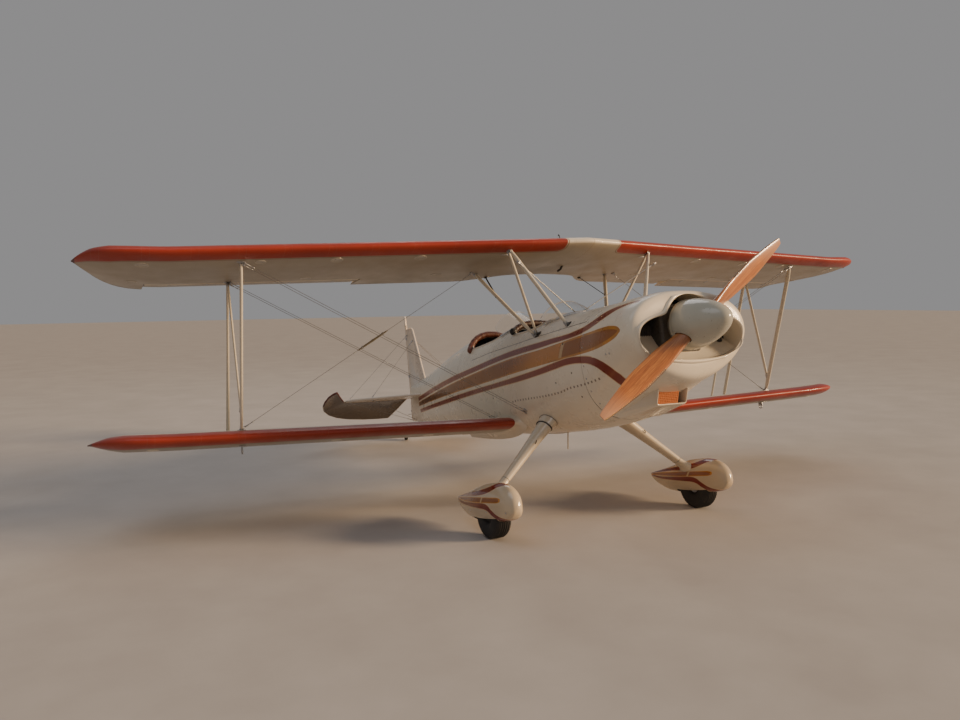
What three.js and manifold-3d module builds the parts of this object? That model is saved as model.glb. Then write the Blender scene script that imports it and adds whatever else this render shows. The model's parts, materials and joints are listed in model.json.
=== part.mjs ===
import * as THREE from 'three';
import { mergeVertices } from 'three/addons/utils/BufferGeometryUtils.js';
import Module from 'manifold-3d';

// Two-seat open-cockpit sport biplane, tail-wheel type, standing on its gear.
// Millimetres. The airframe is drawn level in its own axes: x to port, y aft,
// z up, measured from the ground under the main wheels, then pitched nose-up
// to its parked attitude about the x axis.

const wasm = await Module();
wasm.setup();

// ---------------------------------------------------------------- dimensions
const GROUND_ANGLE = 10.0;          // nose-up attitude, degrees
const MID_Y = 1581.28;                  // middle of the parked length
const DROP_Z = 0;

const TRACK_HALF = 948;
const TYRE_R = 180, TYRE_W = 134, RIM_R = 88, AXLE_R = 15;
const TAILWHEEL_R = 75, TAILWHEEL_W = 44, TAILWHEEL_Y = 4350;   // parked axes
const TAILWHEEL_TRAIL = 45;

// fuselage sections: y, half width, bottom, widest, top, top power, bottom power
const FUSELAGE = [
  [-600, 441, 768, 1232, 1618.5, 2.35, 2.5],
  [-340, 430, 734, 1222, 1630, 2.35, 2.6],
  [100, 408, 710, 1212, 1644, 2.35, 2.8],
  [700, 378, 712, 1210, 1664, 2.4, 3.0],
  [1150, 350, 738, 1212, 1680, 2.35, 3.0],
  [1640, 315, 778, 1222, 1698, 2.25, 3.0],
  [1950, 290, 805, 1232, 1688, 2.1, 3.0],
];
const FUSELAGE_REAR = [
  [1950.6, 289.9, 805, 1232, 1687.8, 2.1, 3.0],
  [2300, 252, 836, 1240, 1644, 2.0, 3.0],
  [2900, 180, 889, 1250, 1535, 1.95, 3.0],
  [3300, 122, 925, 1255, 1468, 2.0, 3.0],
  [3640, 66, 954, 1250, 1420, 2.2, 3.0],
  [3912, 20, 978, 1230, 1392, 2.6, 3.4],
];
const COWL = [
  [-1288, 438, 1068, 1326, 1556, 2.4, 1.8],
  [-1278, 462, 1030, 1326, 1574, 2.35, 1.8],
  [-1250, 482, 1000, 1326, 1588, 2.3, 1.8],
  [-1180, 491, 976, 1320, 1598, 2.3, 1.85],
  [-1060, 492, 950, 1304, 1603, 2.3, 2.0],
  [-900, 484, 898, 1280, 1609, 2.3, 2.2],
  [-740, 461, 826, 1252, 1614, 2.3, 2.4],
  [-612, 443, 772, 1234, 1618, 2.35, 2.5],
];
const SKIN = 16, COWL_SKIN = 12;
const THRUST_Z = 1356;
const MOUTH = { halfWidth: 422, low: 1128, high: 1430, ringR: 205 };
const SCOOP = { frontLow: -992, frontHigh: -1040, back: -640, halfWidth: 130, low: 845, high: 985, skin: 9 };
const ENGINE = { halfWidth: 372, front: -1150, back: -700, low: 1245, high: 1455, caseHalf: 165, caseLow: 1180, caseHigh: 1500, caseFront: -1185, shaftR: 52 };

const PROP_Y = -1350, PROP_R = 985, PROP_ANGLE = 34.8, HUB_R = 75;
// blade stations: radius, chord, thickness, pitch angle
const BLADE = [
  [40, 90, 78, 62], [150, 102, 56, 52], [250, 116, 40, 42], [400, 128, 29, 32],
  [600, 130, 21, 24], [780, 116, 15, 19.5], [900, 92, 11, 17], [960, 64, 8, 16.5], [982, 34, 6, 16],
];
const SPINNER = [[0, -1652], [26, -1646], [58, -1620], [92, -1572], [122, -1506], [146, -1430], [162, -1352], [168, -1276]];

const CHORD_U = 1085, CHORD_L = 1060, THICK = 0.115;
const UPPER = { y: -244, z: 2156, sweep: 7.81, rise: 20, drop: 8, incidence: 4.4, washout: 0.45, half: 3650, camber: 1.14, belly: 0.9 };
const LOWER = { y: 600, z: 819, dihedral: 1.637, incidence: 1.6, half: 3600, root: 250 };
// wing tip outline: distance in from the tip, leading edge inset, trailing edge inset
const TIP_U = [[400, 18, 30], [300, 45, 92], [215, 84, 200], [140, 130, 350], [85, 172, 510], [45, 212, 640], [18, 246, 735], [4, 270, 780], [0, 280, 795]];
const TIP_L = [[400, 22, 30], [300, 52, 80], [215, 94, 165], [140, 145, 290], [85, 190, 430], [45, 232, 550], [18, 268, 640], [4, 292, 690], [0, 303, 705]];
const CUTOUT = [[0, 245], [250, 245], [330, 225], [400, 178], [470, 100], [540, 38], [620, 8], [700, 0]];
const AILERON = { inner: 1560, outer: 3170, hingeU: 846, hingeL: 846, noseGap: 7, endGap: 7, rest: 5.4 };

const IP_X_U = 2583, IP_X_L = 2570;              // interplane strut stations
const TIE_X = 2560;
const STRUT_S = { frontU: 154, rearU: 776, frontL: 150, rearL: 776 };
const CABANE = { topX: 645, topFront: -88, topRear: 565, footX: 345, footFront: -318, footRear: 176, footFrontZ: 1517, footRearZ: 1505 };
const SLAVE_ARM = 112;

const HINGE_Y = 3940, TAIL_Z = 1262;
const ELEVATOR_DROOP = 31, RUDDER_REST = -22;
const TAIL_T = 26;
const FIN = [[3440, 1440], [3452, 1478], [3560, 1722], [3650, 1925], [3705, 2046], [3730, 2082], [3765, 2098], [3918, 2098], [3918, 1380], [3700, 1380]];
// rudder outline about its hinge: aft, height
const RUDDER = [[0, 1000], [90, 1004], [200, 1028], [295, 1082], [362, 1165], [398, 1270], [412, 1400], [410, 1560], [396, 1740], [368, 1920], [322, 2070], [255, 2180], [170, 2240], [80, 2258], [-60, 2256], [-150, 2240], [-190, 2205], [-200, 2150], [-200, 2114], [0, 2114]];
const STAB = [[30, 3330], [180, 3372], [420, 3462], [640, 3560], [760, 3640], [812, 3712], [836, 3800], [841, 3918], [30, 3918]];
// elevator half outline: out from the centre, aft of the hinge
const ELEV = [[50, 0], [841, 0], [900, -95], [966, -212], [1012, -180], [1056, -118], [1084, -20], [1090, 70], [1060, 165], [985, 255], [870, 325], [720, 372], [520, 402], [330, 412], [195, 410], [120, 215], [60, 30]];

const LEG = { topX: 262, topY: 158, topZ: 861, footX: 880, footY: 9, footZ: 336, axleX: 862 };
// wheel fairing sections: y, half width, bottom, top
const PANT = [[-428, 8, 228, 252], [-421, 28, 206, 283], [-398, 50, 178, 322], [-350, 71, 150, 364], [-270, 86, 134, 393], [-150, 93, 128, 402], [0, 94, 126, 395], [140, 88, 126, 371], [280, 69, 137, 342], [420, 44, 174, 312], [520, 24, 214, 293], [584, 6, 256, 281]];

const WIRE_R = 3.5;

// ------------------------------------------------------------------ helpers
const RAD = Math.PI / 180;
const V = (x, y, z) => new THREE.Vector3(x, y, z);

function solid(geometry) {
  const g = geometry.index ? geometry.clone() : geometry.clone();
  g.deleteAttribute('normal'); g.deleteAttribute('uv');
  const m = mergeVertices(g, 1e-3);
  const tri = Uint32Array.from(m.index.array);
  let out = new wasm.Manifold(new wasm.Mesh({ numProp: 3, vertProperties: Float32Array.from(m.attributes.position.array), triVerts: tri }));
  if (out.volume() < 0) {
    for (let i = 0; i < tri.length; i += 3) { const t = tri[i]; tri[i] = tri[i + 1]; tri[i + 1] = t; }
    out = new wasm.Manifold(new wasm.Mesh({ numProp: 3, vertProperties: Float32Array.from(m.attributes.position.array), triVerts: tri }));
  }
  return out;
}
function geometryOf(manifold) {
  const mesh = manifold.getMesh();
  const g = new THREE.BufferGeometry();
  g.setAttribute('position', new THREE.BufferAttribute(Float32Array.from(mesh.vertProperties), 3));
  g.setIndex(Array.from(mesh.triVerts));
  return g;
}
function largest(manifold) {
  const parts = manifold.decompose();
  let best = parts[0];
  for (const p of parts) if (p.volume() > best.volume()) best = p;
  return best;
}
// closed body through rings of equal count, each end closed by a fan
function loft(rings, closeStart = true, closeEnd = true) {
  const n = rings[0].length, pos = [], idx = [];
  for (const r of rings) for (const p of r) pos.push(p.x, p.y, p.z);
  for (let k = 0; k + 1 < rings.length; k++) for (let i = 0; i < n; i++) {
    const a = k * n + i, b = k * n + (i + 1) % n, c = a + n, d = b + n;
    idx.push(a, b, d, a, d, c);
  }
  const cap = (k, flip) => {
    const c = V(0, 0, 0); for (const p of rings[k]) c.add(p); c.divideScalar(n);
    const ci = pos.length / 3; pos.push(c.x, c.y, c.z);
    for (let i = 0; i < n; i++) {
      const a = k * n + i, b = k * n + (i + 1) % n;
      if (flip) idx.push(ci, a, b); else idx.push(ci, b, a);
    }
  };
  if (closeStart) cap(0, false);
  if (closeEnd) cap(rings.length - 1, true);
  const g = new THREE.BufferGeometry();
  g.setAttribute('position', new THREE.BufferAttribute(Float32Array.from(pos), 3));
  g.setIndex(idx);
  return solid(g);
}
function prism(points, low, high, axis = 'z') {
  const shape = new THREE.Shape(points.map((p) => new THREE.Vector2(p[0], p[1])));
  const g = new THREE.ExtrudeGeometry(shape, { depth: high - low, bevelEnabled: false, curveSegments: 8 });
  g.translate(0, 0, low);
  if (axis === 'x') {            // outline in (y, z), thickness along x
    g.applyMatrix4(new THREE.Matrix4().set(0, 0, 1, 0, 1, 0, 0, 0, 0, 1, 0, 0, 0, 0, 0, 1));
  } else if (axis === 'y') {     // outline in (x, z), thickness along y
    g.applyMatrix4(new THREE.Matrix4().set(1, 0, 0, 0, 0, 0, 1, 0, 0, 1, 0, 0, 0, 0, 0, 1));
  }
  return solid(g);
}
function box(x0, x1, y0, y1, z0, z1) {
  const g = new THREE.BoxGeometry(x1 - x0, y1 - y0, z1 - z0);
  g.translate((x0 + x1) / 2, (y0 + y1) / 2, (z0 + z1) / 2);
  return solid(g);
}
function rod(a, b, r, sides = 10, r2 = r) {
  const d = b.clone().sub(a), len = d.length();
  const g = new THREE.CylinderGeometry(r2, r, len, sides, 1);
  g.translate(0, len / 2, 0);
  g.applyQuaternion(new THREE.Quaternion().setFromUnitVectors(V(0, 1, 0), d.normalize()));
  g.translate(a.x, a.y, a.z);
  return solid(g);
}
function lathe(profile, segments, axis, at, turn = 0) {   // profile [radius, along axis]
  const g = new THREE.LatheGeometry(profile.map((p) => new THREE.Vector2(p[0], p[1])), segments);
  if (axis === 'x') g.rotateZ(-Math.PI / 2).rotateX(turn * RAD);
  if (axis === 'y') { /* already along y */ }
  if (axis === 'z') g.rotateX(Math.PI / 2);
  g.translate(at.x, at.y, at.z);
  return solid(g);
}
// streamlined strut between two points, long side along the flight direction
function strut(a, b, halfThick, halfChord, sides = 10, grow = 0) {
  const d = b.clone().sub(a).normalize();
  const f = V(0, 1, 0).addScaledVector(d, -d.y).normalize();
  const s = d.clone().cross(f).normalize();
  const ring = (c, k) => {
    const out = [];
    for (let i = 0; i < sides; i++) {
      const t = 2 * Math.PI * i / sides, cc = Math.cos(t), ss = Math.sin(t);
      const along = (halfChord + grow) * (cc - 0.12 * (1 - cc * cc));
      const across = (halfThick + grow) * ss * (1 - 0.18 * cc) * k;
      out.push(c.clone().addScaledVector(f, along).addScaledVector(s, across));
    }
    return out;
  };
  return loft([ring(a.clone().addScaledVector(d, -grow), 1), ring(b.clone().addScaledVector(d, grow), 1)]);
}
// cut a by b with a small gap all round
function clearOf(a, b, gap = 0.4) {
  let out = a.subtract(b);
  for (const t of [[gap, 0, 0], [-gap, 0, 0], [0, gap, 0], [0, -gap, 0], [0, 0, gap], [0, 0, -gap]]) out = out.subtract(b.translate(t));
  return largest(out);
}
const unite = (...list) => list.reduce((a, b) => a.add(b));

// ------------------------------------------------------------------ sections
function sectionAt(table, y) {
  if (y <= table[0][0]) return table[0];
  for (let i = 0; i + 1 < table.length; i++) {
    const a = table[i], b = table[i + 1];
    if (y <= b[0]) { const t = (y - a[0]) / (b[0] - a[0]); return a.map((v, k) => v + (b[k] - v) * t); }
  }
  return table[table.length - 1];
}
function ring(row, grow = 0, sides = 32) {
  const [y, w, zb, zc, zt, nt, nb] = row, out = [];
  for (let i = 0; i < sides; i++) {
    const t = 2 * Math.PI * (i + 0.5) / sides, c = Math.cos(t), s = Math.sin(t);
    const n = s >= 0 ? nt : nb;
    const x = Math.sign(c) * (w + grow) * Math.pow(Math.abs(c), 2 / n);
    const z = s >= 0 ? zc + (zt + grow - zc) * Math.pow(s, 2 / n) : zc - (zc - zb + grow) * Math.pow(-s, 2 / n);
    out.push(V(x, y, z));
  }
  return out;
}
function hull(table, grow = 0, y0 = null, y1 = null, sides = 32) {
  const rows = table.map((r) => r.slice());
  if (y0 !== null) rows[0][0] = y0;
  if (y1 !== null) rows[rows.length - 1][0] = y1;
  return loft(rows.map((r) => ring(r, grow, sides)));
}
function deckZ(x, y) {
  const [, w, , zc, zt, nt] = sectionAt(y < -606 ? COWL : (y < 1950 ? FUSELAGE : FUSELAGE_REAR), y);
  const u = Math.min(Math.abs(x) / w, 0.999);
  return zc + (zt - zc) * Math.pow(1 - Math.pow(u, nt), 1 / nt);
}

// symmetrical aerofoil half thickness at chord fraction u
function half(u) { return 5 * THICK * (0.2969 * Math.sqrt(u) - 0.126 * u - 0.3516 * u * u + 0.2843 * u ** 3 - 0.1015 * u ** 4); }
const FOIL_U = [0, 0.014, 0.06, 0.15, 0.3, 0.5, 0.72, 0.88, 1];
function foil(x, le, chord, end, zLead, incidence, thin = 1, over = 1, under = 1) {
  // end: chord length really present, the rest is cut away
  const out = [], ti = Math.tan(incidence * RAD);
  const put = (u, side) => {
    const s = u * end;
    let t = half(Math.min(s / chord, 1)) * chord * thin;
    if (u === 1) t = 3; else t = Math.max(t, 4.5 * Math.sqrt(u));
    out.push(V(x, le + s, zLead - s * ti + side * t * (u === 1 ? 1 : side > 0 ? over : under)));
  };
  put(0, 0);
  out[0].z = zLead;
  for (let i = 1; i < FOIL_U.length; i++) put(FOIL_U[i], 1);
  for (let i = FOIL_U.length - 1; i > 0; i--) put(FOIL_U[i], -1);
  return out;
}
function stations(tip, halfSpan, extra) {
  const xs = new Set(extra);
  for (const [d] of tip) xs.add(halfSpan - d);
  return [...xs].sort((a, b) => a - b);
}
function lerpTable(table, v, col) {
  if (v <= table[0][0]) return table[0][col];
  for (let i = 0; i + 1 < table.length; i++) if (v <= table[i + 1][0]) {
    const t = (v - table[i][0]) / (table[i + 1][0] - table[i][0]);
    return table[i][col] + (table[i + 1][col] - table[i][col]) * t;
  }
  return table[table.length - 1][col];
}
function tipInset(tip, halfSpan, x, col) {
  const d = halfSpan - x;
  if (d >= tip[0][0]) return 0;
  for (let i = 0; i + 1 < tip.length; i++) if (d <= tip[i][0] && d >= tip[i + 1][0]) {
    const t = (tip[i][0] - d) / (tip[i][0] - tip[i + 1][0]);
    return tip[i][col] + (tip[i + 1][col] - tip[i][col]) * t;
  }
  return tip[tip.length - 1][col];
}
const tanSweep = Math.tan(UPPER.sweep * RAD), tanDi = Math.tan(LOWER.dihedral * RAD);
const upperLE = (x) => UPPER.y + Math.abs(x) * tanSweep;
const upperInc = (x) => UPPER.incidence - UPPER.washout * Math.abs(x) / 1000;
const upperTop = (x) => UPPER.z + UPPER.rise - UPPER.drop * Math.abs(x) / 1000;
const upperZ = (x, s) => upperTop(x) - s * Math.tan(upperInc(x) * RAD);
const lowerZ = (x, s) => LOWER.z + Math.abs(x) * tanDi - s * Math.tan(LOWER.incidence * RAD);

function upperSection(x) {
  const ax = Math.abs(x);
  const a = tipInset(TIP_U, UPPER.half, ax, 1), b = tipInset(TIP_U, UPPER.half, ax, 2);
  const cut = lerpTable(CUTOUT, ax, 1);
  const end = CHORD_U - a - b - cut;
  const thin = ax > UPPER.half - 400 ? Math.max(0.12, Math.sqrt(Math.max(0, 1 - ((ax - UPPER.half + 400) / 400) ** 2.2)) * 0.9 + 0.1) : 1;
  return foil(x, upperLE(ax) + a, end + cut, end, upperZ(x, a), upperInc(x), thin * CHORD_U / (end + cut) * Math.min(1, (end + cut) / CHORD_U * 1.25), UPPER.camber, UPPER.belly);
}
function lowerSection(x) {
  const ax = Math.abs(x);
  const a = tipInset(TIP_L, LOWER.half, ax, 1), b = tipInset(TIP_L, LOWER.half, ax, 2);
  const end = CHORD_L - a - b;
  const thin = ax > LOWER.half - 400 ? Math.max(0.12, Math.sqrt(Math.max(0, 1 - ((ax - LOWER.half + 400) / 400) ** 2.2)) * 0.9 + 0.1) : 1;
  return foil(x, LOWER.y + a, end, end, LOWER.z + ax * tanDi - a * Math.tan(LOWER.incidence * RAD), LOWER.incidence, thin * CHORD_L / end * Math.min(1, end / CHORD_L * 1.25));
}
const upX = stations(TIP_U, UPPER.half, [0, ...CUTOUT.map((c) => c[0]), AILERON.inner]);
const upAll = [...upX.slice(1).map((v) => -v).reverse(), ...upX];
const upperFull = loft(upAll.map(upperSection));
const loX = stations(TIP_L, LOWER.half, [LOWER.root, AILERON.inner]);
const lowerFull = { 1: loft(loX.map(lowerSection)), [-1]: loft([...loX].reverse().map((x) => lowerSection(-x))) };

// aileron hinge lines
function hingeLine(upper, side) {
  const at = (x) => {
    const s = upper ? AILERON.hingeU : AILERON.hingeL;
    return upper ? V(side * x, upperLE(x) + s, upperZ(x, s)) : V(side * x, LOWER.y + s, lowerZ(x, s));
  };
  return { a: at(AILERON.inner + AILERON.endGap), b: at(AILERON.outer - AILERON.endGap), at };
}
const noseU = half(AILERON.hingeU / CHORD_U) * CHORD_U * 0.9 - 1, noseL = half(AILERON.hingeL / CHORD_L) * CHORD_L - 1;
function aileronCut(upper, side) {   // plan region of the bay
  const s = upper ? AILERON.hingeU : AILERON.hingeL, r = (upper ? noseU : noseL) + AILERON.noseGap;
  const y = (x) => (upper ? upperLE(x) : LOWER.y) + s - r;
  const pts = [[side * AILERON.inner, y(AILERON.inner)], [side * AILERON.outer, y(AILERON.outer)], [side * AILERON.outer, 3000], [side * AILERON.inner, 3000]];
  return prism(side > 0 ? pts : pts.reverse(), upper ? 1900 : 600, upper ? 2300 : 1200);
}
function aileron(upper, side) {
  const s = upper ? AILERON.hingeU : AILERON.hingeL, r = upper ? noseU : noseL;
  const x0 = AILERON.inner + AILERON.endGap, x1 = AILERON.outer - AILERON.endGap;
  const y = (x) => (upper ? upperLE(x) : LOWER.y) + s;
  const pts = [[side * x0, y(x0)], [side * x1, y(x1)], [side * x1, 3000], [side * x0, 3000]];
  const body = (upper ? upperFull : lowerFull[side]).intersect(prism(side > 0 ? pts : pts.reverse(), upper ? 1900 : 600, upper ? 2300 : 1200));
  const h = hingeLine(upper, side);
  const nose = rod(h.a, h.b, r, 12);
  return body.add(nose);
}

// ------------------------------------------------------------------ assembly
const airframe = new THREE.Group();
airframe.rotation.x = -GROUND_ANGLE * RAD;
const parked = new THREE.Group();
const group = new THREE.Group();
group.add(airframe, parked);
group.position.set(0, -MID_Y, DROP_Z);

const PAINT = { cream: [0xe9dfc6, 0.28, 0.0], red: [0xa5301c, 0.3, 0.0], wood: [0xb06a3c, 0.35, 0.0], spinner: [0xd8d2c0, 0.25, 0.1], leather: [0x4b2a1c, 0.6, 0.0], rubber: [0x17171a, 0.85, 0.0], steel: [0x8d8f93, 0.35, 0.9], alloy: [0xc6c8cb, 0.35, 0.8], black: [0x1a1a1c, 0.6, 0.0], glass: [0xdfeaf0, 0.05, 0.0], cloth: [0x6b5136, 0.85, 0.0] };
function put(name, manifold, paint, parent = airframe) {
  const [color, roughness, metalness] = PAINT[paint];
  const material = new THREE.MeshStandardMaterial({ color, roughness, metalness });
  if (paint === 'glass') { material.transparent = true; material.opacity = 0.35; }
  const mesh = new THREE.Mesh(geometryOf(manifold), material);
  mesh.name = name;
  parent.add(mesh);
  return mesh;
}

// fuselage, cockpit section
const cockpitPlan = (y0, y1, hw, e) => {
  const pts = [], n = 18, cy = (y0 + y1) / 2, hy = (y1 - y0) / 2;
  for (let i = 0; i < n; i++) {
    const t = 2 * Math.PI * (i + 0.5) / n, c = Math.cos(t), s = Math.sin(t);
    pts.push([Math.sign(c) * hw * Math.pow(Math.abs(c), 2 / e), cy + Math.sign(s) * hy * Math.pow(Math.abs(s), 2 / e)]);
  }
  return pts;
};
const FRONT_PIT = [215, 750, 315, 4], REAR_PIT = [950, 1660, 294, 4.5];
const inner = hull(FUSELAGE, -SKIN, -620, 1970);
const outerFuselage = hull(FUSELAGE);
let cabin = outerFuselage.subtract(inner);
cabin = cabin.subtract(prism(cockpitPlan(...FRONT_PIT), 1400, 1900)).subtract(prism(cockpitPlan(...REAR_PIT), 1400, 1900));
const rearFuselage = hull(FUSELAGE_REAR);
const firewall = loft([ring([-599.8, ...FUSELAGE[0].slice(1)], -3), ring([-592, ...FUSELAGE[0].slice(1)], -3)]);
put('fuselage_front', cabin.add(firewall), 'cream');
put('fuselage_rear', rearFuselage, 'cream');
const inside = hull(FUSELAGE, -SKIN - 0.6, -590, 1949);

put('cockpit_floor', inside.intersect(box(-400, 400, -450, 1800, 840, 858)), 'black');
const seat = (y0, y1, z0, z1, hw) => prism([[y0, z0], [y1 + 40, z0], [y1 + 120, z1], [y1 + 55, z1], [y1 - 30, z0 + 130], [y0 + 20, z0 + 110]], -hw, hw, 'x');
put('front_seat', inside.intersect(seat(330, 640, 880, 1380, 215)), 'cloth');
put('rear_seat', inside.intersect(seat(1190, 1520, 900, 1500, 205)), 'cloth');
put('front_panel', inside.intersect(box(-400, 400, 196, 204, 1330, 1700)), 'black');
put('rear_panel', inside.intersect(box(-400, 400, 934, 942, 1330, 1720)), 'black');

// windscreens
function windscreen(y0, hw, sweepBack, height, lean, thick) {
  const rings = [], n = 12;
  for (let i = 0; i <= n; i++) {
    const a = (-1 + 2 * i / n) * 82 * RAD, c = Math.cos(a), s = Math.sin(a);
    const x = hw * s, y = y0 + sweepBack * (1 - c);
    const top = height * (0.35 + 0.65 * c ** 0.8);
    const nx = s, ny = -c;
    const z = Math.max(deckZ(x, y), deckZ(x - nx * thick, y - ny * thick), deckZ(x + nx * 2, y + ny * 2)) + 1.5;
    const inx = -nx * thick, iny = -ny * thick;
    const tx = x * 0.86, ty = y + lean * (0.4 + 0.6 * c);
    rings.push([V(x, y, z), V(tx, ty, z + top), V(tx + inx, ty + iny, z + top), V(x + inx, y + iny, z)]);
  }
  return loft(rings);
}
put('front_windscreen', windscreen(-60, 252, 270, 140, 250, 4), 'glass');
put('rear_windscreen', windscreen(800, 250, 270, 172, 270, 4), 'glass');

// padded rolls on the aft rims of both cockpits
function coaming(pit, r, reach) {
  const [y0, y1, hw, e] = pit, cy = (y0 + y1) / 2, hy = (y1 - y0) / 2, pts = [];
  for (let i = 0; i <= 16; i++) {
    const t = reach + (Math.PI - 2 * reach) * i / 16, c = Math.cos(t), s = Math.sin(t);
    const x = Math.sign(c) * (hw - 2) * Math.pow(Math.abs(c), 2 / e), y = cy + Math.sign(s) * (hy - 2) * Math.pow(Math.abs(s), 2 / e);
    pts.push(V(x, y, deckZ(x, y) + 4));
  }
  const curve = new THREE.CatmullRomCurve3(pts);
  const shape = new THREE.Shape();
  shape.absarc(0, 0, r, 0, 2 * Math.PI, false);
  return solid(new THREE.ExtrudeGeometry(shape, { extrudePath: curve, steps: 15, bevelEnabled: false, curveSegments: 2 }));
}
const deckGuard = hull(FUSELAGE, 0.6);
put('front_coaming', largest(coaming(FRONT_PIT, 29, 0.9).subtract(deckGuard)), 'leather');
put('rear_coaming', largest(coaming(REAR_PIT, 31, 0.62).subtract(deckGuard)), 'leather');

// engine cowling with its mouth, and the chin scoop
const scoopOuter = loft([
  [V(-SCOOP.halfWidth, SCOOP.frontLow, SCOOP.low), V(SCOOP.halfWidth, SCOOP.frontLow, SCOOP.low), V(SCOOP.halfWidth, SCOOP.frontHigh - 14, SCOOP.high + 40), V(-SCOOP.halfWidth, SCOOP.frontHigh - 14, SCOOP.high + 40)],
  [V(-SCOOP.halfWidth - 90, SCOOP.back, 776), V(SCOOP.halfWidth + 90, SCOOP.back, 776), V(SCOOP.halfWidth + 90, SCOOP.back, 900), V(-SCOOP.halfWidth - 90, SCOOP.back, 900)]]);
const cowlOuter = hull(COWL);
const cowlInner = hull(COWL.map((r, i) => (i === 0 ? [r[0] + COWL_SKIN, ...r.slice(1)] : r)), -COWL_SKIN, null, -590);
function mouthPlan() {
  // round hole for the spinner joined to two low side inlets
  const pts = [], cz = (MOUTH.low + MOUTH.high) / 2, hz = (MOUTH.high - MOUTH.low) / 2;
  const n = 72;
  for (let i = 0; i < n; i++) {
    const t = 2 * Math.PI * i / n, c = Math.cos(t), s = Math.sin(t);
    const k = 1 / Math.pow(Math.pow(Math.abs(c) / MOUTH.halfWidth, 2.6) + Math.pow(Math.abs(s) / hz, 2.6), 1 / 2.6);
    // ray from the oval's centre to the spinner ring
    const dz = THRUST_Z - cz, b = s * dz, disc = b * b - (dz * dz - MOUTH.ringR ** 2);
    const k2 = disc > 0 ? b + Math.sqrt(disc) : 0;
    const r = Math.max(k, k2);
    pts.push([r * c, cz + r * s]);
  }
  return pts.filter((p, i) => i % 2 === 0 || Math.abs(p[0]) < 240);
}
let cowl = cowlOuter.subtract(cowlInner).subtract(prism(mouthPlan(), -1400, -1180, 'y'));
cowl = cowl.subtract(scoopOuter);
put('engine_cowl', largest(cowl), 'cream');
const scoopSkin = clearOf(scoopOuter.subtract(loft([
  [V(-121, SCOOP.frontLow - 5, SCOOP.low + 9), V(121, SCOOP.frontLow - 5, SCOOP.low + 9), V(121, SCOOP.frontHigh - 8, SCOOP.high - 20), V(-121, SCOOP.frontHigh - 8, SCOOP.high - 20)],
  [V(-112, -760, 838), V(112, -760, 838), V(112, -760, 930), V(-112, -760, 930)]])), cowlOuter, 0.4);
put('air_scoop', scoopSkin, 'cream');
const E = ENGINE;
const engine = unite(box(-E.halfWidth, E.halfWidth, E.front, E.back, E.low, E.high), box(-E.caseHalf, E.caseHalf, E.caseFront, E.back + 20, E.caseLow, E.caseHigh), rod(V(0, E.caseFront + 5, THRUST_Z), V(0, -1270, THRUST_Z), E.shaftR, 16));
put('engine_block', engine, 'black');

// propeller and spinner
function blade(grow, from) {
  const rings = [];
  for (const [r, c, t, p] of BLADE) {
    if (r < from) continue;
    const pts = [], n = 12, a = p * RAD;
    for (let i = 0; i < n; i++) {
      const q = 2 * Math.PI * i / n;
      const u = (c / 2 + grow) * Math.cos(q), v = (t / 2 + grow) * Math.sin(q) * (1 + 0.25 * Math.cos(q));
      // chord direction between rotation plane and the shaft
      pts.push(V(r, PROP_Y - u * Math.sin(a) + v * Math.cos(a), THRUST_Z + u * Math.cos(a) + v * Math.sin(a)));
    }
    rings.push(pts);
  }
  return loft(rings);
}
const turnY = (m, deg) => m.translate([0, 0, -THRUST_Z]).rotate([0, deg, 0]).translate([0, 0, THRUST_Z]);
const hub = rod(V(0, PROP_Y - 52, THRUST_Z), V(0, -1270.6, THRUST_Z), HUB_R, 20);
const prop = turnY(unite(hub, blade(0, 0), turnY(blade(0, 0), 180)), -PROP_ANGLE);
put('propeller', prop, 'wood');
const slot = turnY(unite(rod(V(0, PROP_Y - 53, THRUST_Z), V(0, -1260, THRUST_Z), HUB_R + 1, 20), blade(2, 0), turnY(blade(2, 0), 180)), -PROP_ANGLE);
const dome = solid(new THREE.LatheGeometry([...SPINNER, [0, -1276]].map((p) => new THREE.Vector2(p[0], p[1])), 20).translate(0, 0, THRUST_Z));
put('spinner', largest(dome.subtract(slot)), 'spinner');

// wings
const strutU = (x, s) => V(x, upperLE(x) + s, upperZ(x, s) - half(s / CHORD_U) * CHORD_U * UPPER.belly + 5);
const strutL = (x, s) => V(x, LOWER.y + s, lowerZ(x, s) + half(s / CHORD_L) * CHORD_L - 5);
let upper = upperFull;
const bodyGuard = hull(FUSELAGE, 0.5, null, null, 32);
for (const side of [-1, 1]) upper = upper.subtract(aileronCut(true, side));
put('upper_wing', upper, 'cream');
const SIDES = [[-1, 'right'], [1, 'left']];
const lowerWing = {};
for (const [side, name] of SIDES) {
  const lug = box(side * TIE_X - 4, side * TIE_X + 4, LOWER.y + 205, LOWER.y + 262, lowerZ(TIE_X, 230) - 96, lowerZ(TIE_X, 230) - 30);
  lowerWing[side] = largest(lowerFull[side].subtract(aileronCut(false, side)).subtract(bodyGuard).add(lug));
  put(`lower_wing_${name}`, lowerWing[side], 'cream');
}
// ailerons stand a few degrees off centre: right side up, left side down
function hingeGroup(a, b, degrees) {
  const outer = new THREE.Group(), g = new THREE.Group();
  outer.position.copy(a);
  outer.quaternion.setFromAxisAngle(b.clone().sub(a).normalize(), degrees * RAD);
  g.position.copy(a.clone().negate());
  outer.add(g);
  airframe.add(outer);
  return g;
}
for (const [side, name] of SIDES) for (const up of [true, false]) {
  const h = hingeLine(up, side);
  const a = side > 0 ? h.a : h.b, b = side > 0 ? h.b : h.a;      // axis towards +x
  const g = hingeGroup(a, b, AILERON.rest * (side > 0 ? -1 : 1));
  put(`${up ? 'upper' : 'lower'}_aileron_${name}`, aileron(up, side), 'cream', g);
}

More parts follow.
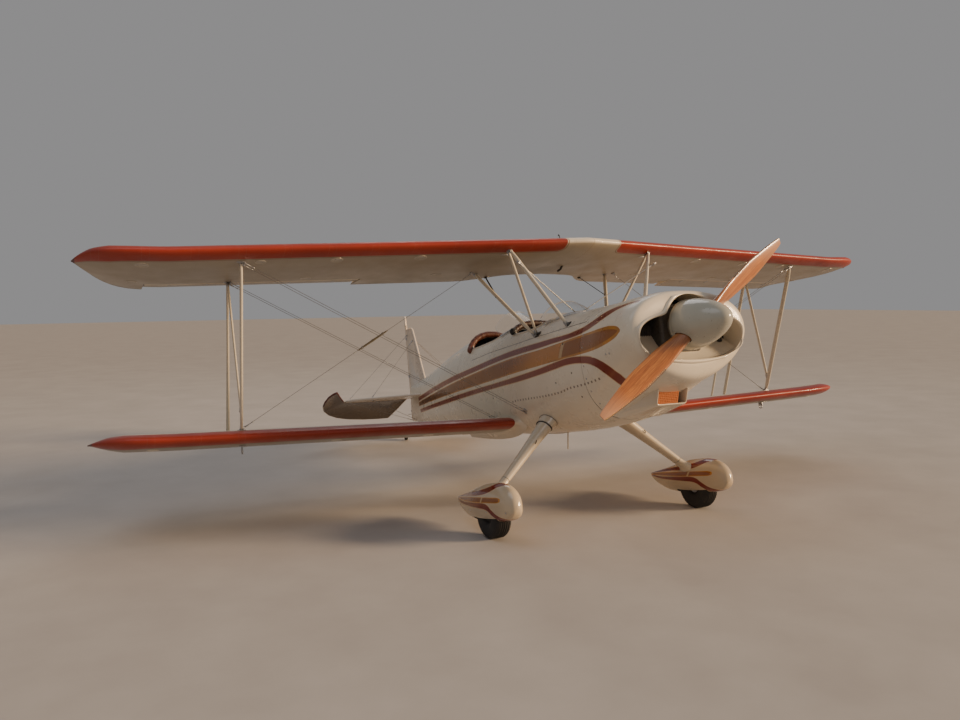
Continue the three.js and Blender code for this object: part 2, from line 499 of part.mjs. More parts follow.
// interplane struts, aileron slave struts, stays
for (const [side, name] of SIDES) {
  const x = (v) => side * v;
  const U1 = strutU(x(IP_X_U), STRUT_S.frontU), U2 = strutU(x(IP_X_U), STRUT_S.rearU);
  const L1 = strutL(x(IP_X_L), STRUT_S.frontL), L2 = strutL(x(IP_X_L), STRUT_S.rearL);
  const front = strut(L1, U1, 11, 24), rear = strut(L2, U2, 10, 21);
  const trim = (m) => clearOf(clearOf(m, upperFull), lowerFull[side]);
  put(`interplane_front_${name}`, trim(front), 'cream');
  put(`interplane_rear_${name}`, trim(rear), 'cream');
  const dTop = U2.clone().add(V(0, -6, -6)), dFoot = L1.clone().lerp(U1, 0.12);
  let diag = strut(dFoot, dTop, 8, 16);
  diag = diag.subtract(strut(L1, U1, 11, 24, 10, 0.6)).subtract(strut(L2, U2, 10, 21, 10, 0.6));
  put(`interplane_diagonal_${name}`, largest(trim(diag)), 'cream');

  const T = { f: V(x(CABANE.topX), CABANE.topFront, 0), r: V(x(CABANE.topX), CABANE.topRear, 0) };
  for (const k of ['f', 'r']) { const s = T[k].y - upperLE(CABANE.topX); T[k].z = upperZ(CABANE.topX, s) - half(s / CHORD_U) * CHORD_U * UPPER.belly + 5; }
  const F = { f: V(x(CABANE.footX + 6), CABANE.footFront, CABANE.footFrontZ), r: V(x(CABANE.footX + 6), CABANE.footRear, CABANE.footRearZ) };
  const cf = strut(F.f, T.f, 11, 21), cr = strut(F.r, T.r, 11, 21);
  const trimC = (m) => clearOf(clearOf(m, upperFull), outerFuselage);
  put(`cabane_front_${name}`, largest(trimC(cf)), 'cream');
  put(`cabane_rear_${name}`, largest(trimC(cr)), 'cream');
  let cd = strut(F.r.clone().add(V(0, -30, 14)), T.f.clone().add(V(0, 22, -10)), 9, 16);
  cd = cd.subtract(strut(F.f, T.f, 11, 21, 10, 0.6)).subtract(strut(F.r, T.r, 11, 21, 10, 0.6));
  put(`cabane_diagonal_${name}`, largest(trimC(cd)), 'cream');

  // paired flying stays from the lower longeron to the front upper fitting
  const foot = V(x(366), 424, 912), head = U1.clone().add(V(-side * 22, 0, -15));
  const wire = (a, b, r) => rod(a, b, r, 6);
  const pair = unite(
    wire(foot.clone().add(V(0, -10, 0)), head.clone().add(V(0, -12, 0)), WIRE_R), wire(foot.clone().add(V(0, 14, 0)), head.clone().add(V(0, 14, 0)), WIRE_R),
    rod(foot.clone().add(V(0, -18, 0)), foot.clone().add(V(0, 22, 0)), 8, 8), rod(head.clone().add(V(0, -20, 0)), head.clone().add(V(0, 22, 0)), 7, 8));
  put(`flying_wires_${name}`, largest(clearOf(pair, outerFuselage)), 'steel');
  const ltop = strutU(x(700), 509 - upperLE(700)).add(V(0, 0, -16)), lfoot = L1.clone().add(V(-side * 30, 24, 22));
  put(`landing_wire_${name}`, unite(wire(ltop, lfoot, WIRE_R), rod(ltop.clone().add(V(-side * 5, 0, 3)), ltop.clone().lerp(lfoot, 0.03), 6, 8), rod(lfoot, lfoot.clone().lerp(ltop, 0.03), 6, 8)), 'steel');
}

// tail surfaces
const slab = (pts, t, axis) => prism(pts, -t / 2, t / 2, axis);
const tailGuard = hull(FUSELAGE_REAR, 0.5);
put('fin', largest(slab(FIN, TAIL_T, 'x').subtract(tailGuard)), 'cream');
for (const [side, name] of SIDES) {
  const pts = STAB.map(([a, b]) => [side * a, b]);
  const plate = prism(side > 0 ? pts : pts.reverse(), TAIL_Z - TAIL_T / 2, TAIL_Z + TAIL_T / 2);
  put(`stabiliser_${name}`, largest(plate.subtract(tailGuard)), 'cream');
}
const rudderHinge = hingeGroup(V(0, HINGE_Y, 1000), V(0, HINGE_Y, 2000), RUDDER_REST);
const NOSE = TAIL_T / 2;
let rudder = prism(RUDDER.map(([a, b]) => [HINGE_Y + a, b]), -NOSE + 1, NOSE - 1, 'x');
rudder = rudder.add(rod(V(0, HINGE_Y, 1000), V(0, HINGE_Y, 2114), NOSE - 1, 12));
rudder = rudder.subtract(box(-60, 60, HINGE_Y - 60, HINGE_Y + 62, TAIL_Z - 48, TAIL_Z + 48));
put('rudder', largest(rudder), 'cream', rudderHinge);

const elevHinge = hingeGroup(V(0, HINGE_Y, TAIL_Z), V(100, HINGE_Y, TAIL_Z), -ELEVATOR_DROOP);
for (const [side, name] of SIDES) {
  const pts = ELEV.map(([a, b]) => [side * a, HINGE_Y + b]);
  let m = prism(side > 0 ? pts : pts.reverse(), TAIL_Z - NOSE + 1, TAIL_Z + NOSE - 1);
  m = m.add(rod(V(side * 50, HINGE_Y, TAIL_Z), V(side * 836, HINGE_Y, TAIL_Z), NOSE - 1, 12));
  put(`elevator_${name}`, m, 'cream', elevHinge);
}
put('elevator_torque_tube', rod(V(-49.6, HINGE_Y, TAIL_Z), V(49.6, HINGE_Y, TAIL_Z), 11, 12), 'steel', elevHinge);

// main gear
const AXLE = V(0, -TYRE_R * Math.sin(GROUND_ANGLE * RAD), TYRE_R * Math.cos(GROUND_ANGLE * RAD));
for (const [side, name] of SIDES) {
  const x = (v) => side * v;
  const well = rod(V(x(TRACK_HALF - 76), AXLE.y, AXLE.z), V(x(TRACK_HALF + 76), AXLE.y, AXLE.z), TYRE_R + 9, 32);
  const wellDrop = box(Math.min(x(TRACK_HALF - 76), x(TRACK_HALF + 76)), Math.max(x(TRACK_HALF - 76), x(TRACK_HALF + 76)), AXLE.y - TYRE_R - 9, AXLE.y + TYRE_R + 9, 60, AXLE.z);
  const shell = loft(PANT.map(([y, w, zb, zt]) => {
    const out = [], zc = (zb * 0.55 + zt * 0.45), n = 20;
    for (let i = 0; i < n; i++) {
      const t = 2 * Math.PI * (i + 0.5) / n, c = Math.cos(t), s = Math.sin(t), p = s > 0 ? 2.1 : 3.2;
      out.push(V(x(TRACK_HALF) + Math.sign(c) * w * Math.pow(Math.abs(c), 2 / p), y, s > 0 ? zc + (zt - zc) * Math.pow(s, 2 / p) : zc - (zc - zb) * Math.pow(-s, 2 / p)));
    }
    return out;
  }));
  const A = V(x(LEG.topX), LEG.topY, LEG.topZ), B = V(x(LEG.footX), LEG.footY, LEG.footZ);
  const dir = B.clone().sub(A).normalize(), s2 = V(0, 1, 0).cross(dir).normalize();
  const legRing = (t, a, b) => {
    const c = A.clone().lerp(B, t), out = [];
    for (let i = 0; i < 14; i++) { const q = 2 * Math.PI * i / 14; out.push(c.clone().add(V(0, b * Math.cos(q), 0)).addScaledVector(s2, a * Math.sin(q))); }
    return out;
  };
  const leg = loft([legRing(0, 60, 112), legRing(0.1, 55, 104), legRing(0.28, 46, 82), legRing(0.5, 38, 64), legRing(1, 26, 46)]);
  const pantSolid = shell.subtract(well).subtract(wellDrop);
  const axle = rod(V(x(LEG.axleX + 2), AXLE.y, AXLE.z), V(x(TRACK_HALF + 52), AXLE.y, AXLE.z), AXLE_R, 16);
  const pant = largest(pantSolid.add(axle));
  const legBody = clearOf(leg, shell).subtract(bodyGuard);
  put(`gear_leg_${name}`, largest(legBody), 'cream');
  put(`wheel_fairing_${name}`, pant, 'cream');
  const w = TYRE_W / 2;
  const tyre = lathe([[RIM_R, -w * 0.62], [RIM_R + 30, -w * 0.95], [TYRE_R - 34, -w], [TYRE_R - 9, -w * 0.8], [TYRE_R, -w * 0.45], [TYRE_R, w * 0.45], [TYRE_R - 9, w * 0.8], [TYRE_R - 34, w], [RIM_R + 30, w * 0.95], [RIM_R, w * 0.62], [RIM_R, -w * 0.62]], 28, 'x', V(x(TRACK_HALF), AXLE.y, AXLE.z), GROUND_ANGLE);
  put(`main_tyre_${name}`, tyre, 'rubber');
  const wheel = lathe([[AXLE_R + 0.5, -w * 0.6], [RIM_R - 0.5, -w * 0.6], [RIM_R - 0.5, w * 0.6], [AXLE_R + 0.5, w * 0.6], [AXLE_R + 0.5, -w * 0.6]], 28, 'x', V(x(TRACK_HALF), AXLE.y, AXLE.z), GROUND_ANGLE);
  put(`main_wheel_${name}`, wheel, 'alloy');
}

// tail wheel: leaf spring, swivelling fork, wheel; fork and wheel stand square to the ground
const toParked = (p) => V(p.x, p.y * Math.cos(GROUND_ANGLE * RAD) + p.z * Math.sin(GROUND_ANGLE * RAD), -p.y * Math.sin(GROUND_ANGLE * RAD) + p.z * Math.cos(GROUND_ANGLE * RAD));
const swivelY = TAILWHEEL_Y - TAILWHEEL_TRAIL;
const springTop = toParked(V(0, 3640, 944));
const leaf = [[springTop.y, springTop.z - 6], [springTop.y + 150, springTop.z - 60], [swivelY - 60, 206], [swivelY + 26, 196], [swivelY + 26, 184], [swivelY - 62, 192], [springTop.y + 146, springTop.z - 76], [springTop.y - 4, springTop.z - 22]];
put('tailwheel_spring', largest(prism(leaf, -20, 20, 'x')), 'steel', parked);
const swivel = new THREE.Group(), swivelIn = new THREE.Group();
swivel.position.set(0, swivelY, 0);
swivel.rotation.z = RUDDER_REST * RAD;
swivelIn.position.set(0, -swivelY, 0);
swivel.add(swivelIn);
parked.add(swivel);
const tw = TAILWHEEL_W / 2;
let fork = unite(rod(V(0, swivelY, 162), V(0, swivelY, 178), 26, 12), box(-36, 36, swivelY - 20, TAILWHEEL_Y + 14, 156, 168),
  box(-36, -28, TAILWHEEL_Y - 14, TAILWHEEL_Y + 14, TAILWHEEL_R - 14, 160), box(28, 36, TAILWHEEL_Y - 14, TAILWHEEL_Y + 14, TAILWHEEL_R - 14, 160),
  rod(V(-30, TAILWHEEL_Y, TAILWHEEL_R), V(30, TAILWHEEL_Y, TAILWHEEL_R), 8, 12));
put('tailwheel_fork', fork, 'steel', swivelIn);
put('tailwheel', lathe([[8.5, -tw], [TAILWHEEL_R - 16, -tw], [TAILWHEEL_R, -tw * 0.5], [TAILWHEEL_R, tw * 0.5], [TAILWHEEL_R - 16, tw], [8.5, tw], [8.5, -tw]], 28, 'x', V(0, TAILWHEEL_Y, TAILWHEEL_R)), 'rubber', swivelIn);

// aileron slave struts, one each side, hung from the upper aileron
for (const [side, name] of SIDES) {
  const x = side * (IP_X_U - 30), ax = Math.abs(x), lift = Math.sin(AILERON.rest * RAD) * SLAVE_ARM * (side < 0 ? 1 : -1);
  const sU = AILERON.hingeU + SLAVE_ARM, sL = AILERON.hingeL + SLAVE_ARM;
  const top = V(x, upperLE(ax) + sU, upperZ(ax, sU) - half(sU / CHORD_U) * CHORD_U - 20 + lift);
  const foot = V(x + side * -0, LOWER.y + sL, lowerZ(ax, sL) + half(sL / CHORD_L) * CHORD_L + 25 + lift);
  put(`aileron_slave_strut_${name}`, strut(foot, top, 8, 13), 'cream');
}

export default group;
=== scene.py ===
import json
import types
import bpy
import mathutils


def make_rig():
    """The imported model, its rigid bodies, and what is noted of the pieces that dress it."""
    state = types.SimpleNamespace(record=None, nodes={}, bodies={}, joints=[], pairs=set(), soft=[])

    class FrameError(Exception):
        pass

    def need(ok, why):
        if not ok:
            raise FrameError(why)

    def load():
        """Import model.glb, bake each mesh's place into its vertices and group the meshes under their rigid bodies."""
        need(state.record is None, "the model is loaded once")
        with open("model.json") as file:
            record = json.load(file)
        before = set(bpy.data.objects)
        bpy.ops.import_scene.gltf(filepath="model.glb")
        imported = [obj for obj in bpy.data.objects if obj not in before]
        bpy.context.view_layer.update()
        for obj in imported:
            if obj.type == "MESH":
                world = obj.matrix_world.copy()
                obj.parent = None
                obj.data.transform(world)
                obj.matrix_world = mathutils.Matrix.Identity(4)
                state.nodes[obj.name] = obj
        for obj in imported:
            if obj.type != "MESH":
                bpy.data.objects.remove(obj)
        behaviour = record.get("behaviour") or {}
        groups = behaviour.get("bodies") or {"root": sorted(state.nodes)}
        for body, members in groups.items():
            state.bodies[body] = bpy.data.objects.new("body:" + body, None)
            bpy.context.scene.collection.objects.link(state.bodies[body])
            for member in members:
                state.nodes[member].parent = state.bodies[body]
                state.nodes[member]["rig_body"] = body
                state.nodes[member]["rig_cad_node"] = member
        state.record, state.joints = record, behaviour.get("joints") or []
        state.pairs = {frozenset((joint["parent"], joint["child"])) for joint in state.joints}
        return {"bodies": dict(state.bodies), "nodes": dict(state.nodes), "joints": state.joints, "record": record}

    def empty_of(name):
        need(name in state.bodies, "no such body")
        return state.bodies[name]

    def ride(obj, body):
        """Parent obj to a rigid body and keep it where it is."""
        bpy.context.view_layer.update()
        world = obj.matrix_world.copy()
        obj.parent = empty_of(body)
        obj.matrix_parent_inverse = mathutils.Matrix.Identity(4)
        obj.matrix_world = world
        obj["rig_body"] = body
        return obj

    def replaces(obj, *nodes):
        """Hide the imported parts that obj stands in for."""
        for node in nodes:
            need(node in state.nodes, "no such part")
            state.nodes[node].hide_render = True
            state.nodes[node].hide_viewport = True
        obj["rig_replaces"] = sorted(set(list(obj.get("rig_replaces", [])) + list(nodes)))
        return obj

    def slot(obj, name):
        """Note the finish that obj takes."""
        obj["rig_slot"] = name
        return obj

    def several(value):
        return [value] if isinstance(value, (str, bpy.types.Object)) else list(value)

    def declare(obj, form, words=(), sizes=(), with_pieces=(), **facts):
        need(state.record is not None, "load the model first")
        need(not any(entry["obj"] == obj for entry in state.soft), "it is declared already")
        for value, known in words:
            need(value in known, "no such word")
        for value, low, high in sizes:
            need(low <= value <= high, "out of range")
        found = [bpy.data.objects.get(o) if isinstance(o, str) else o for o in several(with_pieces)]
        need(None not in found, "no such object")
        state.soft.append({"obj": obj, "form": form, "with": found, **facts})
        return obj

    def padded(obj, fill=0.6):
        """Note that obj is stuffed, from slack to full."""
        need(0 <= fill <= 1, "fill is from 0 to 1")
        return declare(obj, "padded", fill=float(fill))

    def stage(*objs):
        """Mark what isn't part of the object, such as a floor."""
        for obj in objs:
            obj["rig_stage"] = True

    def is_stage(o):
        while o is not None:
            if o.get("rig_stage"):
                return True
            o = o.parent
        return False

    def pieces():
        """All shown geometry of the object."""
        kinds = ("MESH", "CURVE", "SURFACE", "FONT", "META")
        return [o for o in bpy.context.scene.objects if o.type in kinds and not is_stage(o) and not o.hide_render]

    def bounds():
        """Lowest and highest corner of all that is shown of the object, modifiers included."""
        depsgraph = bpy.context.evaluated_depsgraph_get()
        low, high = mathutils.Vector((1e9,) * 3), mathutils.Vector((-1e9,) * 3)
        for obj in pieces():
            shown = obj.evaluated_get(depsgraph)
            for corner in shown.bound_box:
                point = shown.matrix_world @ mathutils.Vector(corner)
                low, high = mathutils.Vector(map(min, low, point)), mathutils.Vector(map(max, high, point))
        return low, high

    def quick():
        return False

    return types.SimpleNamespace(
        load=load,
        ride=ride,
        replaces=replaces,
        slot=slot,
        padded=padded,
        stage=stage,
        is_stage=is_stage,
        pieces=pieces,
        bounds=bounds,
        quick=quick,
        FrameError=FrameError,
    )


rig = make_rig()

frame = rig.load()

import json
import math
import bpy
import bmesh
import numpy as np
from mathutils import Matrix, Vector

CAD_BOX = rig.bounds()

# Two-seat open-cockpit sport biplane. Metres. Pieces are drawn level in the
# airframe's own axes (x to port, y aft, z up) and then pitched to the parked
# attitude; tail-wheel pieces are drawn in parked axes.
TH = math.radians(10.0)
CT, ST, MID = math.cos(TH), math.sin(TH), 1.58128


def to_row(p):
    p = np.asarray(p, float).reshape(-1, 3)
    return np.stack([p[:, 0], p[:, 1] * CT + p[:, 2] * ST - MID, -p[:, 1] * ST + p[:, 2] * CT], 1)


def parked(p):
    p = np.asarray(p, float).reshape(-1, 3).copy()
    p[:, 1] -= MID
    return p


def turned(p, a, axis, degrees):
    p = np.asarray(p, float).reshape(-1, 3)
    a = np.asarray(a, float)
    k = np.asarray(axis, float)
    k = k / np.linalg.norm(k)
    t = math.radians(degrees)
    q = p - a
    return a + q * math.cos(t) + np.cross(k, q) * math.sin(t) + np.outer(q @ k, k) * (1 - math.cos(t))


# ------------------------------------------------------------------ camera
scene = bpy.context.scene
cam_data = bpy.data.cameras.new("camera")
cam_data.lens = 31.3877
cam_data.sensor_width = 36.0
cam_data.sensor_fit = "HORIZONTAL"
cam_data.clip_end = 300
cam = bpy.data.objects.new("camera", cam_data)
scene.collection.objects.link(cam)
_r = Vector((0.9004438894341439, -0.43481345786113584, -0.011749844405505055))
_u = Vector((0.04181944573500871, 0.059651881605642734, 0.9973428633019453))
_f = Vector((0.4329571987380831, 0.8985426589115001, -0.0718968300909253))
cam.matrix_world = Matrix((
    (_r.x, _u.x, -_f.x, -3.637242696086391),
    (_r.y, _u.y, -_f.y, -6.963956296691405),
    (_r.z, _u.z, -_f.z, 1.7373099995654824),
    (0, 0, 0, 1)))
scene.camera = cam


# ------------------------------------------------------------------ shapes
def pchip(xs, ys, x):
    """Monotone cubic through the points, vectorised over x."""
    xs, ys, x = np.asarray(xs, float), np.asarray(ys, float), np.asarray(x, float)
    h, d = np.diff(xs), np.diff(ys) / np.diff(xs)
    m = np.zeros(len(xs))
    m[0], m[-1] = d[0], d[-1]
    for i in range(1, len(xs) - 1):
        if d[i - 1] * d[i] > 0:
            w1, w2 = 2 * h[i] + h[i - 1], h[i] + 2 * h[i - 1]
            m[i] = (w1 + w2) / (w1 / d[i - 1] + w2 / d[i])
    i = np.clip(np.searchsorted(xs, x) - 1, 0, len(h) - 1)
    t = np.clip((x - xs[i]) / h[i], 0, 1)
    a, b, c, e = 2 * t**3 - 3 * t**2 + 1, t**3 - 2 * t**2 + t, -2 * t**3 + 3 * t**2, t**3 - t**2
    return a * ys[i] + b * h[i] * m[i] + c * ys[i + 1] + e * h[i] * m[i + 1]


class Part:
    """Vertices, faces, one uv pair per face corner, material index."""

    def __init__(self, v, f, uv=None, mat=0):
        self.v, self.f, self.uv, self.mat = np.asarray(v, float).reshape(-1, 3), f, uv, mat

    def map(self, fn):
        self.v = fn(self.v)
        return self

    def mirror(self):
        v = self.v.copy()
        v[:, 0] *= -1
        return Part(v, [f[::-1] for f in self.f], [u[::-1] for u in self.uv] if self.uv else None, self.mat)


def loft(rings, close=True, cap0=True, cap1=True, u=None, v=None, mat=0):
    rings = np.asarray(rings, float)
    k, n, _ = rings.shape
    u = np.linspace(0, 1, k) if u is None else np.asarray(u, float)
    m = n if close else n - 1
    v = np.linspace(0, 1, m + 1) if v is None else np.asarray(v, float)
    verts, faces, uv = [rings.reshape(-1, 3)], [], []
    for i in range(k - 1):
        for j in range(m):
            j2 = (j + 1) % n
            faces.append((i * n + j, i * n + j2, (i + 1) * n + j2, (i + 1) * n + j))
            uv.append(((u[i], v[j]), (u[i], v[j + 1]), (u[i + 1], v[j + 1]), (u[i + 1], v[j])))
    count = k * n
    for on, i, flip in ((cap0, 0, True), (cap1, k - 1, False)):
        if not (on and close):
            continue
        verts.append(rings[i].mean(0, keepdims=True))
        for j in range(n):
            a, b = i * n + j, i * n + (j + 1) % n
            faces.append((count, b, a) if flip else (count, a, b))
            uv.append(((u[i], v[j]),) * 3)
        count += 1
    return Part(np.concatenate(verts), faces, uv, mat)


def frames(pts):
    pts = np.asarray(pts, float)
    t = np.gradient(pts, axis=0)
    t /= np.linalg.norm(t, axis=1, keepdims=True)
    up = np.array([0, 0, 1.0]) if abs(t[0][2]) < 0.9 else np.array([0, 1.0, 0])
    out = []
    n = np.cross(t[0], up)
    n /= np.linalg.norm(n)
    for i in range(len(pts)):
        n = n - t[i] * (n @ t[i])
        n /= np.linalg.norm(n)
        out.append((n, np.cross(t[i], n)))
    return pts, out


def tube(pts, r, sides=12, mat=0, flat=1.0, shut=False):
    pts, fr = frames(pts)
    r = np.broadcast_to(np.asarray(r, float), (len(pts),))
    a = 2 * np.pi * np.arange(sides) / sides
    rings = [p + ri * (np.outer(np.cos(a), n) + flat * np.outer(np.sin(a), b)) for p, ri, (n, b) in zip(pts, r, fr)]
    if shut:
        rings.append(rings[0])
        return loft(rings, cap0=False, cap1=False, mat=mat)
    d = np.concatenate([[0], np.cumsum(np.linalg.norm(np.diff(pts, axis=0), axis=1))])
    return loft(rings, u=d, mat=mat)


def rod(a, b, r, sides=12, mat=0, r2=None):
    """A round bar with slightly broken edges."""
    a, b = np.asarray(a, float), np.asarray(b, float)
    r2 = r if r2 is None else r2
    n = np.linalg.norm(b - a)
    e = min(0.25 * min(r, r2), n * 0.2) / n
    t = np.array([0, e, 0.5, 1 - e, 1])
    rr = r + (r2 - r) * t
    rr[0] -= e * n
    rr[-1] -= e * n
    return tube([a + (b - a) * q for q in t], rr, sides, mat)


def lathe(profile, at, axis, sides=48, mat=0, shut=False):
    """profile [(radius, along)], turned round the axis through at."""
    k = np.asarray(axis, float)
    k = k / np.linalg.norm(k)
    s = np.array([1.0, 0, 0]) if abs(k[0]) < 0.8 else np.array([0, 0, 1.0])
    s = s - k * (s @ k)
    s /= np.linalg.norm(s)
    c = np.cross(k, s)
    a = 2 * np.pi * np.arange(sides) / sides
    rings = [np.asarray(at, float) + k * z + max(r, 1e-5) * (np.outer(np.cos(a), s) + np.outer(np.sin(a), c)) for r, z in profile]
    d = np.concatenate([[0], np.cumsum(np.linalg.norm(np.diff(np.asarray(profile, float), axis=0), axis=1))])
    if shut:
        return loft(rings + [rings[0]], cap0=False, cap1=False, mat=mat)
    return loft(rings, u=d, mat=mat)


def rbox(lo, hi, r=0.004, mat=0, fn=None):
    """Box with rounded corners."""
    lo, hi = np.asarray(lo, float), np.asarray(hi, float)
    c, h = (lo + hi) / 2, (hi - lo) / 2
    r = min(r, h.min() * 0.95)
    a = np.linspace(0, 2 * np.pi, 20, endpoint=False) + np.pi / 20
    rings = []
    for q in (-90, -60, -30, 0, 0, 30, 60, 90):
        first = len(rings) < 4
        t = math.radians(q)
        z = (-(h[2] - r) if first else h[2] - r) + r * math.sin(t)
        g = r * math.cos(t)
        x = np.sign(np.cos(a)) * (h[0] - r) + g * np.cos(a)
        y = np.sign(np.sin(a)) * (h[1] - r) + g * np.sin(a)
        rings.append(np.stack([c[0] + x, c[1] + y, np.full(20, c[2] + z)], 1))
    p = loft(rings, mat=mat)
    return p.map(fn) if fn else p


def bolt(at, axis, r=0.006, h=0.005, mat=0):
    k = np.asarray(axis, float) / np.linalg.norm(axis)
    return [lathe([(0, 0), (r * 1.35, 0), (r * 1.35, 0.0012), (0, 0.0013)], at, k, 16, mat),
            lathe([(0, 0.001), (r, 0.001), (r, h * 0.8), (r * 0.82, h), (0, h)], at, k, 6, mat)]


def make(name, parts, mats, body, slot, nodes=(), frame_fn=to_row, sharp=38, recalc=True, weld=1e-6):
    parts = [p for p in (parts if isinstance(parts, (list, tuple)) else [parts])]
    flat = []
    for p in parts:
        flat.extend(p) if isinstance(p, (list, tuple)) else flat.append(p)
    v = np.concatenate([p.v for p in flat])
    faces, mi, uvs, base = [], [], [], 0
    for p in flat:
        for i, f in enumerate(p.f):
            faces.append(tuple(base + q for q in f))
            mi.append(p.mat)
            uvs.append(p.uv[i] if p.uv else tuple((0.0, 0.0) for _ in f))
        base += len(p.v)
    v = frame_fn(v) if frame_fn else v
    me = bpy.data.meshes.new(name)
    me.from_pydata([tuple(q) for q in v], [], faces)
    me.polygons.foreach_set("material_index", np.array(mi, np.int32))
    layer = me.uv_layers.new(name="UVMap")
    layer.data.foreach_set("uv", np.array([c for u in uvs for q in u for c in q], np.float32))
    bm = bmesh.new()
    bm.from_mesh(me)
    if weld:
        bmesh.ops.remove_doubles(bm, verts=bm.verts, dist=weld)
    if recalc:
        bmesh.ops.recalc_face_normals(bm, faces=bm.faces)
    edges(bm, sharp)
    bm.to_mesh(me)
    bm.free()
    for m in (mats if isinstance(mats, (list, tuple)) else [mats]):
        me.materials.append(m)
    ob = bpy.data.objects.new(name, me)
    scene.collection.objects.link(ob)
    if body:
        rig.ride(ob, body)
        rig.slot(ob, slot)
        if nodes:
            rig.replaces(ob, *nodes)
    return ob


def edges(bm, sharp):
    lim = math.radians(sharp)
    for f in bm.faces:
        f.smooth = True
    for e in bm.edges:
        e.smooth = len(e.link_faces) == 2 and e.calc_face_angle(0) < lim


def cut(ob, tools, op="DIFFERENCE", sharp=38):
    """Boolean with closed helper objects, which are removed afterwards."""
    for t in tools:
        m = ob.modifiers.new("cut", "BOOLEAN")
        m.operation, m.solver, m.object = op, "EXACT", t
    bpy.context.view_layer.update()
    dg = bpy.context.evaluated_depsgraph_get()
    me = bpy.data.meshes.new_from_object(ob.evaluated_get(dg), preserve_all_data_layers=True, depsgraph=dg)
    ob.modifiers.clear()
    old = ob.data
    ob.data = me
    bpy.data.meshes.remove(old)
    for t in tools:
        bpy.data.objects.remove(t)
    bm = bmesh.new()
    bm.from_mesh(me)
    edges(bm, sharp)
    bm.to_mesh(me)
    bm.free()
    return ob


